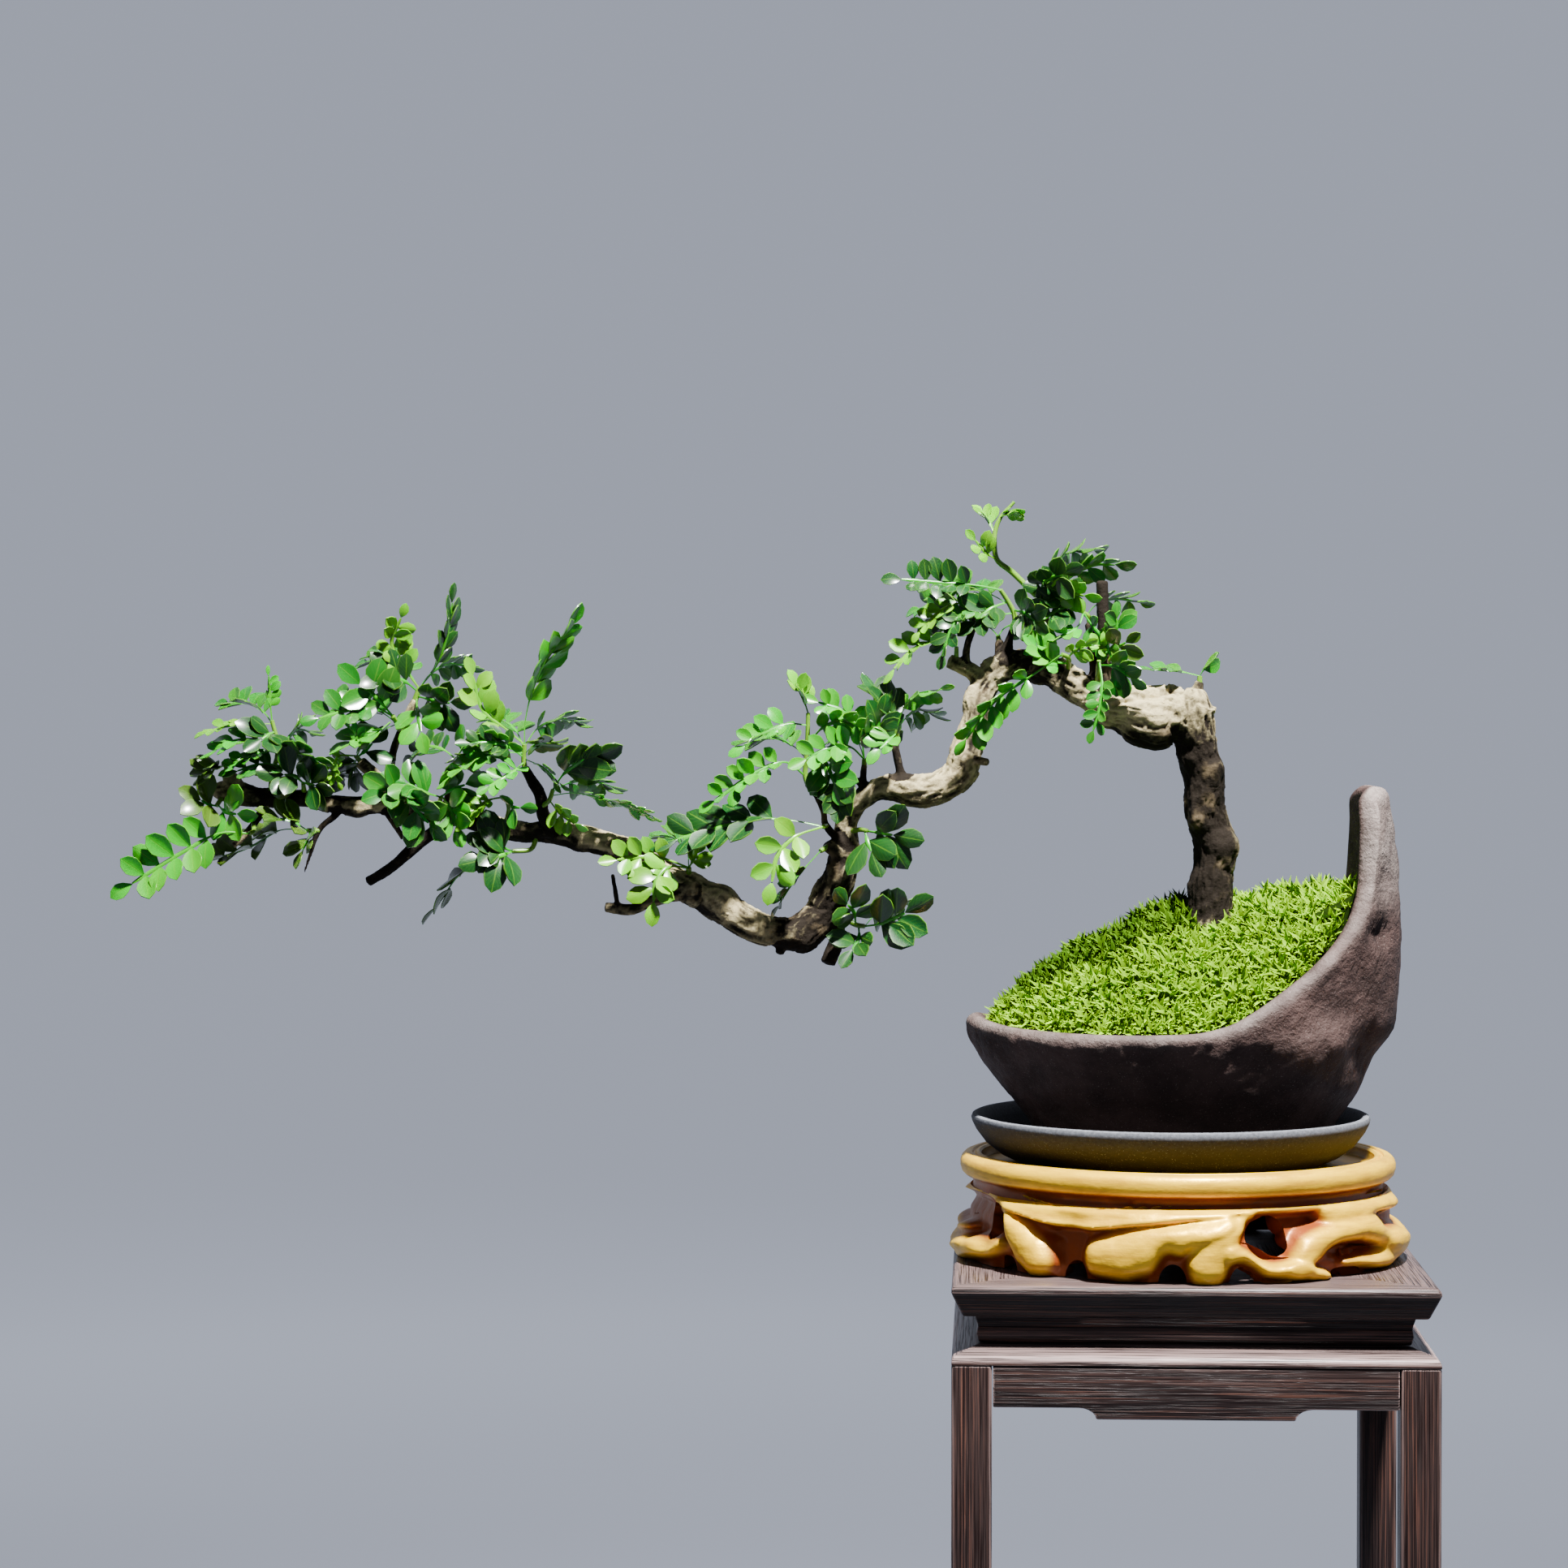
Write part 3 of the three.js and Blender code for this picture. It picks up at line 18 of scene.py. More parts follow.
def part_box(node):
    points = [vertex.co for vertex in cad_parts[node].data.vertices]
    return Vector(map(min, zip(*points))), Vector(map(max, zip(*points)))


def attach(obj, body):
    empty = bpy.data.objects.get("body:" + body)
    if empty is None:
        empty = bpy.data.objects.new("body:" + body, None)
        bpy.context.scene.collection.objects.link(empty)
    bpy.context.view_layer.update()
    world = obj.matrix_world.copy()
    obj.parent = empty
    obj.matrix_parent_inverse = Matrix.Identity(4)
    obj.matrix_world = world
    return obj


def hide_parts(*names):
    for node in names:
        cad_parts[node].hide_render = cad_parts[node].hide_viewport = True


bl_info = {
    "name": "Japanese pepper bonsai",
    "version": (1, 0, 0),
    "blender": (4, 5, 0),
    "location": "3D View > Sidebar > Bonsai",
    "description": "A cascading bonsai in its pot, with its saucer, carved stand and table",
    "category": "Object",
}

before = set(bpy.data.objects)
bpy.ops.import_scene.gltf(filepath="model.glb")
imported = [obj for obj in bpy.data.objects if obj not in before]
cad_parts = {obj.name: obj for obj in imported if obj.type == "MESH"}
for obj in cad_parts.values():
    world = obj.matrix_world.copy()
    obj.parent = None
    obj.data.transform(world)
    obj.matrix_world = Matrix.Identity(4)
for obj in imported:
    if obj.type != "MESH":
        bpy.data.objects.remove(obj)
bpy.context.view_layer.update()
table_low, table_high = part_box("table_top")

MM = 0.001
TO_FRAME = Matrix.Translation(((table_low[0] + table_high[0]) / 2, 0, 0)) @ Matrix.Scale(MM, 4)
TOP = table_high[2] / MM  # the table's top
GAP = 0.3  # between pieces that rest on each other

# The wood and the leaves are given where they are seen from EYE in the plane y = 0, as x and z,
# with their own depth y.
EYE = Vector((-62.6, -1315, 356.4))
TO_FRONT = Vector((0, -1, 0))

TRUNK = [
    (7, 270, 7.6, 0), (7.5, 280, 8.4, 0), (8, 290, 7.2, 0), (8.7, 298, 6.8, 0), (9, 305, 6, 0),
    (9.8, 312, 6.5, 0.5), (8, 318, 6, 0.5), (5.9, 325, 6.9, 0), (6.4, 332, 6.7, -0.5),
    (5, 340, 6.4, -1), (3.8, 347, 6.4, -1.5), (1.5, 356, 7.6, -2), (0.5, 362, 5.5, -2),
]
NEAR_LIMB = [
    (3, 354, 6, -1.5), (-3, 355.5, 8.2, -2), (-7, 356, 9.3, -2), (-11, 355, 10, -2.5),
    (-15, 355.6, 9.6, -3), (-19, 356.7, 8.7, -3), (-24, 358, 7.5, -3), (-30, 361.5, 5.6, -2),
    (-38, 366, 5, -1), (-45, 370.5, 5, 0), (-52, 371.5, 5, 1.5), (-58, 371, 4.6, 1),
    (-63, 368.5, 4.8, 0),
]
FALLING_LIMB = [
    (-59, 371.5, 3.5, 1), (-63.5, 367, 4.8, 0), (-66.5, 361, 4.8, -2), (-67.6, 354, 4.8, -3.5),
    (-70.3, 345, 4.7, -4.5), (-71.5, 340, 5.2, -5), (-73.5, 336, 5.2, -5), (-78, 332.8, 5, -5.5),
    (-83, 331, 5, -6), (-88, 330.5, 4.8, -6), (-93, 331.8, 4.6, -5.5), (-98, 331.3, 4, -4.5),
    (-102, 330, 3.5, -4), (-107, 326, 3.5, -2), (-110, 320, 3.5, 0), (-109.8, 314, 3.8, 0.5),
    (-111, 308.6, 4.8, 1), (-112, 303, 5, 1.5), (-114.5, 298, 5.8, 2.5), (-117.5, 292.6, 6, 3),
]
FAR_LIMB = [
    (-114, 297, 5, 2), (-117.5, 291, 6, 3), (-122, 286.5, 6.3, 2), (-128, 284, 5.5, 0),
    (-134, 285, 5, -2), (-140, 286.5, 4.9, -3.5), (-146, 289.8, 5.6, -4), (-152, 294, 5.8, -4.5),
    (-158, 297, 5, -5.5), (-164, 299.5, 4.5, -6), (-172, 305, 4.4, -4.5), (-180, 310.5, 4.3, -3),
    (-187, 312.3, 4, -1.5), (-194, 314.3, 3.9, 0.5), (-201, 316, 3.8, 2), (-208, 317.3, 3.7, 3),
    (-216, 317, 3.3, 3.8), (-224, 318.5, 3.3, 4), (-232, 321.5, 3.5, 3.5), (-240, 322.5, 3.5, 3),
    (-248, 324, 3.4, 2), (-256, 325.3, 3.4, 1), (-264, 326, 3.3, -1), (-272, 325.5, 3.2, -2),
    (-280, 326.5, 3, -3), (-288, 328, 2.9, -3.5), (-296, 328, 3, -4), (-304, 328.5, 3.2, -3.5),
    (-311, 330, 3.6, -2.5), (-316, 330.5, 3, -2), (-318, 330.5, 1.8, -2),
]
TWIGS = [
    (0.1, [(-66, 366, 3, -1), (-70, 370, 2.6, -1), (-76.5, 373, 2.4, -1.5)]),
    (0.6, [
        (-71, 371, 1.5, -1), (-71, 376.7, 1.2, -2), (-68.8, 384, 1.2, -3), (-68.3, 387.5, 1, -3),
    ]),
    (0.7, [(-59.3, 370, 1.6, 1.5), (-60.5, 379.4, 1.1, 4)]),
    (0.6, [(-57.5, 371, 1.6, 0), (-58.3, 374, 1.3, 0), (-56, 383, 1.1, -1), (-55, 386.6, 1, -1)]),
    (0.6, [(-45, 371, 1.5, 0), (-45, 376, 1.2, 0), (-45.2, 392, 1, 1)]),
    (1, [(-25, 362, 3.2, -3), (-26, 369, 2.4, -3), (-27, 398.5, 1.8, -2)]),
    (0.9, [(-29, 363, 2.6, -1), (-29, 372, 2, 1), (-31, 385, 1.7, 4)]),
    (0.2, [(2.5, 359, 2, -2), (4.7, 366, 1.3, -2.5)]),
    (0.3, [(-70, 341, 1.6, -6), (-64, 340, 1.2, -11)]),
    (0.9, [
        (-92, 334, 1.8, -6), (-92.7, 338, 1.3, -6.5), (-94, 345, 1.1, -7), (-93.7, 348.6, 1, -7),
    ]),
    (0.9, [(-104.5, 328, 1.6, -3), (-104.6, 333, 1.3, -3), (-104.2, 339, 1, -2)]),
    (0.9, [(-104.5, 332, 1, -3), (-107.8, 335, 0.8, -4)]),
    (0.8, [
        (-110.5, 311, 1.7, 0), (-112, 314, 1.4, -3), (-116.7, 319.5, 1.3, -4),
        (-117.6, 324, 1.2, -4), (-120.3, 330, 1.1, -3), (-123, 333, 1, -3),
    ]),
    (0.3, [(-111, 309, 2.3, -1), (-116.5, 313, 2, -5)]),
    (0.9, [(-114, 288, 3, 3), (-113, 283, 2.7, 2), (-116, 274.5, 2.4, 0)]),
    (0.8, [(-131, 282, 2, -1), (-131.9, 277.4, 1.6, -2)]),
    (0.5, [
        (-158, 297, 2.6, -6), (-163, 297, 2.2, -8), (-174.4, 294.4, 2, -9), (-179.8, 292, 1.9, -9),
        (-188.8, 292.6, 1.6, -8),
    ]),
    (0.9, [(-184.7, 293, 1, -9), (-186.5, 303.3, 0.7, -10)]),
    (0.8, [
        (-203, 317, 3, 2), (-206, 319, 2.5, 1), (-209, 322, 2.4, 0), (-210, 328.6, 2.1, -1),
        (-213, 334, 1.8, -1), (-215.4, 338, 1.6, -1),
    ]),
    (1, [(-240.5, 323, 2.2, 3), (-240, 327, 1.9, 3.5), (-238, 339, 1.6, 5)]),
    (0.4, [(-260, 326, 2.6, 0), (-260.8, 331, 2.2, -1), (-269.4, 340, 2, -3)]),
    (0.8, [
        (-240, 321, 2.4, 3), (-243, 318.5, 2.1, 3), (-250, 313.7, 2, 2), (-256, 308.3, 2, 1),
        (-261.6, 303.6, 1.9, 0), (-267, 300.5, 1.7, -1),
    ]),
    (0.9, [(-261, 324.5, 1.4, -1), (-258.9, 320.7, 1.1, -3), (-255.3, 315, 0.9, -4)]),
    (0.5, [
        (-259.5, 327, 1.6, 2), (-259, 341, 1.4, 4), (-256, 350.5, 1.3, 5), (-251.3, 360, 1.2, 5),
    ]),
    (0.1, [(-308, 329, 2.6, -3), (-312.8, 334.6, 2.2, -4), (-313.5, 336.5, 1.4, -4)]),
    (0.3, [
        (-301, 328, 1.9, -4), (-302, 324, 1.5, -5), (-307, 316.7, 1.3, -7),
        (-311.5, 312.5, 1.1, -8),
    ]),
    (0.8, [
        (-276, 325.5, 1.6, -3), (-277, 323, 1.3, -4), (-282, 319, 1.1, -5), (-284.4, 315, 1, -5.5),
        (-286, 309.7, 0.7, -6), (-288, 303.8, 0.35, -6),
    ]),
]
# Each spray: its stalk's points (x, z, radius and depth y) and its leaves, each with tone, pairs of
# leaflets, leaflet length, roll, fold and turn in degrees, and its rib's points (x, z, y). The
# tones dark and bright are painted shade and painted light.
SPRAYS = {
    "crown_shoot": (
        [
            (-45.2, 391, 1, 1), (-51, 396.7, 1, 0.5), (-56.5, 402, 1, 0), (-61, 405.7, 0.9, -0.5),
            (-62, 411, 0.9, -0.5), (-61.7, 415, 0.8, 0), (-60, 419.4, 0.7, 0.5),
            (-55.5, 424.5, 0.5, 1),
        ],
        [
            ("lime", 2, 6, 25, 35, 55, [(-61, 405.7, -0.5), (-64.5, 408, -3), (-68, 412, -5)]),
            ("lime", 2, 6, 40, 40, 45, [(-61.8, 414, 0), (-63.6, 418, 2), (-66, 421, 4)]),
            ("lime", 3, 6, 60, 50, 30, [(-60, 419.4, 0.5), (-58, 421, -3), (-55, 421.5, -7)]),
            ("mid", 4, 9.5, 50, 25, 50,
             [(-46.5, 393, 1), (-42, 396, 3), (-36, 401, 5), (-29, 404, 6), (-23, 404, 6)]),
            ("lime", 3, 7.8, 30, 28, 60, [(-46.5, 393, 1), (-40, 395.5, -2), (-33, 394, -5)]),
            ("dark", 3, 9.5, 15, 30, 55, [(-48, 394.2, 1), (-45, 399, -4), (-40, 401, -8)]),
            ("mid", 5, 9.5, 60, 25, 55,
             [(-48, 394.2, 1), (-44, 402, 9), (-38, 408, 17), (-30, 409, 24)]),
        ],
    ),
    "crown_high_left": (
        [(-55.1, 386, 1, -1), (-55.6, 388.5, 0.9, -1), (-58, 393, 0.8, -2), (-60, 396, 0.7, -3)],
        [
            ("dark", 5, 9.6, 24, 38, 72,
             [(-60, 396, -3), (-68, 397.5, -5), (-78, 398.3, -7), (-92, 399.5, -10)]),
            ("dark", 3, 9.5, 20, 30, 60, [(-56, 389.5, -1), (-52.5, 388.5, -5), (-49, 386, -8)]),
            ("mid", 4, 9.5, 60, 25, 60,
             [(-57, 391, -1.6), (-62, 394, 6), (-70, 397, 14), (-79, 396, 20)]),
            ("mid", 4, 9.4, 35, 28, 60,
             [(-55.6, 388.5, -1), (-62, 388, -4), (-69, 389.5, -6), (-76, 388, -8)]),
            ("dark", 3, 9, 20, 25, 60, [(-58, 392, -1.8), (-63, 390, -5), (-68, 386, -7)]),
        ],
    ),
    "crown_left": (
        [(-68.4, 386.8, 1, -3), (-68.5, 388.5, 0.9, -3), (-70, 391, 0.8, -4)],
        [
            ("lime", 4, 8.5, 40, 35, 50,
             [(-70, 391, -4), (-75, 391.5, -6), (-81, 388, -8), (-86, 382.5, -9)]),
            ("dark", 4, 9.5, 30, 35, 45,
             [(-69, 389.5, -3.5), (-72, 388.5, -8), (-76, 383, -12), (-78.5, 375.5, -14)]),
            ("dark", 2, 11, 20, 25, 60, [(-69.5, 390.3, -4), (-73, 389.5, -1), (-79, 386.5, 1)]),
            ("mid", 4, 9.5, 60, 20, 60,
             [(-69.2, 390, -3), (-72, 392, 4), (-78, 393, 11), (-86, 390, 17)]),
        ],
    ),
    "crown_stub": (
        [(-74.3, 373, 0.9, -1.5), (-74.2, 377.5, 0.7, -3)],
        [
            ("lime", 4, 7.5, 45, 35, 55,
             [(-74.2, 377.5, -3), (-80, 379.5, -5), (-88, 377, -6), (-94.5, 370.5, -8)]),
        ],
    ),
    "crown_inner": (
        [(-31, 384, 1, 4), (-31.3, 387, 0.9, 4), (-33, 388.5, 0.8, 3)],
        [
            ("dark", 3, 9.5, 20, 30, 60,
             [(-33, 388.5, 3), (-37, 391, 0), (-41, 389.6, -3), (-46, 386.5, -6)]),
            ("bright", 4, 9, 35, 35, 55,
             [(-33, 388.5, 3), (-35, 384, -2), (-40, 381, -6), (-48, 377.5, -8)]),
            ("mid", 4, 9, 55, 25, 60,
             [(-32, 387.8, 3.5), (-29, 391, 10), (-23, 393, 17), (-15, 392, 22)]),
            ("mid", 4, 9, 28, 30, 58,
             [(-33, 388.5, 3), (-30, 384, -3), (-26, 379, -6), (-24, 374, -8)]),
            ("dark", 3, 9, 15, 30, 60, [(-33, 388.5, 3), (-40, 394, 0), (-46, 396, -2)]),
        ],
    ),
    "crown_right": (
        [(-25.3, 372.5, 0.9, -4), (-23, 375.8, 0.8, -5.5), (-22.4, 381, 0.7, -6)],
        [
            ("mid", 2, 7.5, 25, 30, 65,
             [(-22.4, 381, -6), (-22.3, 383.5, -6.5), (-22.2, 386.5, -7)]),
            ("olive", 1, 8, 20, 25, 55,
             [(-23, 375.8, -5.5), (-21.5, 377.5, -7), (-19.5, 378.8, -8)]),
            ("lime", 2, 5, 30, 35, 60,
             [(-23.6, 375.3, -5.2), (-27, 377.3, -7.5), (-31, 378, -8.5)]),
        ],
    ),
    "crown_front": (
        [(-38, 370, 0.9, -3), (-38, 374, 0.8, -9), (-40, 375, 0.7, -11)],
        [
            ("bright", 6, 9.8, -32, 48, 58,
             [(-40, 375, -11), (-50, 368, -13.5), (-60, 361.5, -15), (-66, 355, -15.5),
              (-71, 347.5, -15)]),
            ("lime", 2, 6, 25, 35, 60, [(-38, 374, -9), (-36, 376, -11), (-33, 377.5, -12)]),
            ("bright", 3, 8, 20, 35, 55, [(-38, 372, -6), (-43, 373, -9), (-48, 377, -10)]),
        ],
    ),
    "crown_droop": (
        [(-28.5, 365, 0.9, -5), (-28.3, 370, 0.8, -10.5), (-28, 373, 0.7, -12)],
        [
            ("mid", 5, 8, 20, 30, 65,
             [(-28, 373, -12), (-27, 365, -15.5), (-27.8, 357, -16.5), (-29.8, 350.5, -16)]),
            ("mid", 3, 8.5, 30, 30, 55,
             [(-28.2, 371.5, -11.3), (-23, 371, -13.5), (-18, 367.5, -15)]),
        ],
    ),
    "crown_knee": (
        [(4.5, 365.3, 1, -2.5), (4.6, 368, 0.8, -2.5)],
        [
            ("mid", 2, 7.5, 72, 20, 50, [(4.6, 368, -2.5), (-2, 369.5, -3.5), (-10, 370, -4)]),
            ("bright", 1, 7.5, 70, 40, 35,
             [(4.6, 368, -2.5), (5.8, 370, -1.5), (7.4, 371.8, -0.5)]),
        ],
    ),
    "crown_back": (
        [(-60.4, 378.6, 1, 3.8), (-60.7, 381, 0.8, 4.5)],
        [
            ("dark", 5, 9.5, 50, 25, 60,
             [(-60.7, 381, 4.5), (-64, 384, 10), (-71, 385, 15), (-80, 383, 20)]),
            ("mid", 4, 9.5, 50, 25, 60,
             [(-60.7, 381, 4.5), (-58, 384, 10), (-51, 385.5, 15), (-43, 383, 20)]),
        ],
    ),
    "middle_top_right": (
        [(-93.8, 347.8, 1, -7), (-93.5, 350.5, 0.8, -7)],
        [
            ("bright", 4, 8, 55, 40, 45,
             [(-93.5, 350.5, -7), (-92, 356, -8), (-88, 361.5, -9), (-80, 363.5, -10)]),
            ("dark", 3, 10, 50, 30, 35, [(-93.5, 350.5, -7), (-95.5, 356, -5), (-99.5, 361.5, -3)]),
            ("bright", 2, 7, 35, 35, 55,
             [(-93.6, 349.5, -7), (-96, 347.5, -10.5), (-99, 344.5, -13)]),
            ("mid", 4, 9, 60, 25, 60,
             [(-93.5, 350.5, -7), (-91, 354, 0), (-87, 357, 8), (-82, 356, 16)]),
        ],
    ),
    "middle_centre": (
        [(-104.2, 338.2, 1, -2), (-104.2, 341, 0.8, -2)],
        [
            ("bright", 5, 10, 30, 30, 52,
             [(-104.2, 341, -2), (-105.5, 349, -3), (-110, 356, -4), (-119, 359.5, -5)]),
            ("bright", 4, 10.5, 20, 30, 60,
             [(-104.2, 341, -2), (-109, 345, -7), (-116, 344.5, -11), (-123, 341, -13)]),
            ("mid", 5, 9.5, 60, 25, 60,
             [(-104.2, 341, -2), (-106, 346, 6), (-109, 349, 14), (-113, 348, 22)]),
            ("dark", 3, 10, 35, 25, 40, [(-104.2, 340, -2), (-101, 346, -5), (-99, 354, -7)]),
        ],
    ),
    "middle_top_left": (
        [
            (-122.6, 332.6, 0.9, -3), (-123.4, 335.5, 0.9, -3), (-122.8, 345, 0.8, -3.5),
            (-122.5, 356, 0.7, -4),
        ],
        [
            ("bright", 4, 8.5, 40, 40, 58,
             [(-122.6, 352, -4), (-129, 352.5, -6), (-136, 350, -8), (-143, 345.5, -9)]),
            ("lime", 3, 6.5, 45, 45, 40,
             [(-122.5, 356, -4), (-124, 360.5, -4.5), (-126, 364.5, -5)]),
            ("bright", 6, 9.2, 24, 45, 62,
             [(-123.4, 335.5, -3), (-130, 340, -8), (-138, 337.5, -11), (-153, 327.5, -14)]),
            ("mid", 5, 9, 60, 25, 60,
             [(-123, 341, -3.2), (-127, 345, 4), (-134, 348, 12), (-142, 347, 19)]),
            ("bright", 4, 10.2, 25, 28, 52,
             [(-122.8, 345, -3.5), (-118, 351, -6), (-111, 353.5, -8), (-104, 351, -9)]),
            ("mid", 3, 9.5, 12, 25, 58, [(-122.8, 343, -3.4), (-117, 340, -7), (-114, 333, -10)]),
        ],
    ),
    "middle_front": (
        [(-116.6, 319.3, 0.9, -4.5), (-117.5, 319, 0.8, -9)],
        [
            ("dark", 5, 12, 48, 18, 45,
             [(-117.5, 319, -9), (-128, 321, -10), (-140, 321.3, -11), (-165, 315, -13)]),
            ("lime", 3, 9.5, 5, 20, 60,
             [(-117.5, 319, -9), (-127, 315.5, -15), (-132.5, 309.5, -17), (-134.3, 301, -18)]),
        ],
    ),
    "middle_right": (
        [(-108.5, 317.5, 0.9, -2), (-105, 318, 0.8, -5.5), (-103, 317.5, 0.7, -6.5)],
        [
            ("dark", 2, 11.5, 12, 18, 55,
             [(-103, 317.5, -6.5), (-99.5, 317, -8.5), (-95, 316.3, -9.5)]),
            ("dark", 1, 11.5, 5, 15, 50, [(-104, 317.8, -6), (-103, 313.5, -9), (-102, 311, -10)]),
        ],
    ),
    "middle_low_right": (
        [(-111.8, 290, 1, 1.5), (-107, 287, 0.9, 0), (-104, 286.5, 0.8, -1)],
        [
            ("dark", 3, 11.6, 12, 25, 52,
             [(-104, 286.5, -1), (-99, 287.3, -3), (-95, 288.8, -4.5), (-91, 290.8, -6)]),
            ("dark", 2, 9.5, 20, 30, 60, [(-107, 287, 0), (-107.5, 291, -5), (-109.5, 293.5, -8)]),
            ("dark", 2, 9, 20, 25, 60, [(-106, 286.8, -0.3), (-106, 282.5, -3), (-108, 279, -5)]),
            ("mid", 4, 9, 60, 25, 60,
             [(-104, 286.5, -1), (-101, 290, 7), (-97, 293, 14), (-91, 294, 20)]),
        ],
    ),
    "middle_hanging": (
        [(-107.4, 334.7, 0.8, -4), (-109.4, 335.2, 0.7, -5.5)],
        [
            ("dark", 2, 10, 15, 35, 40,
             [(-109.4, 335.2, -5.5), (-110.3, 332, -7.5), (-111, 329, -8.5)]),
        ],
    ),
    "middle_low_left": (
        [(-161.5, 302, 1, -7), (-161.5, 305.5, 0.9, -9)],
        [
            ("lime", 4, 9, 15, 25, 60,
             [(-161.5, 305.5, -9), (-170, 308.5, -12), (-178, 309, -14), (-185, 308, -15)]),
            ("lime", 3, 9, 10, 20, 60,
             [(-161.5, 305.5, -9), (-168.5, 305.5, -14), (-172.3, 301, -17), (-173, 294.5, -18)]),
            ("lime", 2, 5.6, 30, 28, 60,
             [(-161.5, 305.5, -9), (-160, 308, -8), (-158.8, 310, -7.5)]),
            ("mid", 4, 9, 60, 25, 60,
             [(-161.5, 305.5, -9), (-162, 311, -2), (-165, 315, 5), (-170, 316, 12)]),
        ],
    ),
    "middle_edge": (
        [(-116, 312.6, 0.9, -5), (-118.5, 311, 0.8, -7.5)],
        [
            ("dark", 5, 9, 70, 35, 45,
             [(-118.5, 311, -7.5), (-124, 305, -9), (-129, 298.5, -10.5), (-132, 293.5, -11)]),
        ],
    ),
    "left_tall": (
        [(-215, 337.2, 1, -1), (-215.6, 340.5, 0.9, -1), (-215.4, 345.7, 0.8, -1.5)],
        [
            ("bright", 5, 9.8, 64, 14, 34,
             [(-215.4, 345.7, -1.5), (-215, 354, -2), (-211, 368, -3.5), (-201, 384, -5)]),
            ("lime", 4, 8.2, 30, 35, 55,
             [(-215.4, 345.7, -1.5), (-221, 350.4, -3), (-229, 357, -5), (-232.3, 368, -6)]),
            ("dark", 4, 10, 40, 25, 55,
             [(-215.5, 341.5, -1), (-221, 345, -7), (-227, 346.5, -10), (-233, 346, -12)]),
            ("olive", 3, 8.5, 75, 20, 60,
             [(-215.5, 342.5, -1), (-212, 345.5, -3), (-208, 346.3, -5)]),
            ("bright", 4, 9.5, 35, 30, 55,
             [(-215.5, 340, -1), (-219, 337, -9), (-223, 334.5, -12), (-227, 332, -14)]),
            ("mid", 5, 9.5, 60, 25, 60,
             [(-215.4, 344, -1.3), (-218, 350, 6), (-222, 353, 14), (-228, 352, 21)]),
            ("mid", 5, 9.5, 60, 25, 60,
             [(-215.4, 345, -1.4), (-211, 351, 6), (-204, 354, 13), (-197, 353, 20)]),
            ("bright", 4, 10, 60, 16, 50,
             [(-215.3, 343, -1.2), (-223, 343, -6), (-231, 341, -9), (-239, 336, -11)]),
            ("mid", 4, 9.8, 62, 16, 50, [(-215.3, 341, -1.2), (-209, 338, -6), (-204, 333, -9)]),
        ],
    ),
    "left_right": (
        [(-209.6, 325.5, 0.9, -1.5), (-207.2, 327.5, 0.8, -4), (-206, 331, 0.7, -5)],
        [
            ("dark", 3, 11.5, 28, 35, 45,
             [(-206, 331, -5), (-202.5, 336, -7), (-197, 340, -9), (-192.5, 341.8, -10)]),
            ("bright", 8, 9, 66, 12, 42,
             [(-206.6, 329, -4.5), (-199, 329.8, -6), (-188, 327.5, -9), (-174, 322.5, -13)]),
            ("lime", 3, 6, 35, 30, 55,
             [(-207.2, 327.5, -4), (-204, 323.5, -8), (-199, 319.8, -10)]),
            ("mid", 4, 9.5, 55, 25, 60,
             [(-206.4, 330, -4.8), (-201, 333, 3), (-194, 334, 10), (-187, 332, 16)]),
        ],
    ),
    "left_young": (
        [(-221.5, 320, 0.9, 2), (-220.6, 325, 0.7, -2), (-221.7, 328.5, 0.7, -4)],
        [
            ("lime", 5, 8, 30, 25, 50,
             [(-221.7, 328.5, -4), (-227, 327.5, -8), (-232, 323.8, -10), (-235.5, 320, -11)]),
            ("mid", 1, 7.5, 15, 25, 60, [(-220.8, 325, -2), (-219, 325.2, -5.5), (-217, 325, -7)]),
        ],
    ),
    "left_crown": (
        [(-251.6, 359.3, 1.1, 5), (-250.9, 361.5, 1, 5), (-250, 364, 0.9, 5)],
        [
            ("dark", 5, 11, 66, 12, 28,
             [(-250, 364, 5), (-244.5, 371, 3), (-241, 380, 2), (-239, 392, 0)]),
            ("lime", 5, 8.2, 32, 28, 72,
             [(-250, 364, 5), (-255, 371, 2), (-259, 379, 0), (-256, 387, -2)]),
            ("dark", 3, 9.5, 30, 25, 60,
             [(-250.4, 363, 5), (-255, 366.5, 1), (-259.5, 367.5, -2), (-262, 367, -4)]),
            ("dark", 3, 9.5, 25, 25, 60,
             [(-250.8, 361.5, 5), (-247, 360.5, 1), (-243, 359.3, -1), (-240, 359.3, -2)]),
            ("bright", 2, 9.5, 12, 20, 55, [(-251, 361, 5), (-250.5, 356, -1), (-249.5, 350, -5)]),
            ("mid", 5, 9.5, 60, 25, 60,
             [(-250, 364, 5), (-246, 369, 12), (-240, 372, 19), (-233, 371, 25)]),
            ("mid", 5, 9.5, 60, 25, 60,
             [(-250, 364, 5), (-254, 370, 12), (-260, 374, 19), (-267, 373, 25)]),
        ],
    ),
    "left_stub": (
        [(-238.2, 338, 1, 5), (-238, 341, 0.8, 5.3)],
        [
            ("mid", 3, 9, 35, 30, 60, [(-238, 341, 5.3), (-235, 345, 8), (-230, 347, 11)]),
            ("dark", 4, 9.5, 45, 25, 60,
             [(-238, 341, 5.3), (-242, 344, 11), (-247, 345, 16), (-252, 342, 20)]),
            ("olive", 2, 7.5, 60, 30, 60,
             [(-238, 340.5, 5.2), (-236, 341.5, 1), (-233.5, 341, -2)]),
            ("bright", 4, 9, 45, 28, 55,
             [(-238, 341, 5.3), (-234, 346, 0), (-228, 348, -4), (-221, 346, -7)]),
        ],
    ),
    "left_front": (
        [(-255, 327.5, 0.9, -1.5), (-255.2, 330.8, 0.7, -5)],
        [
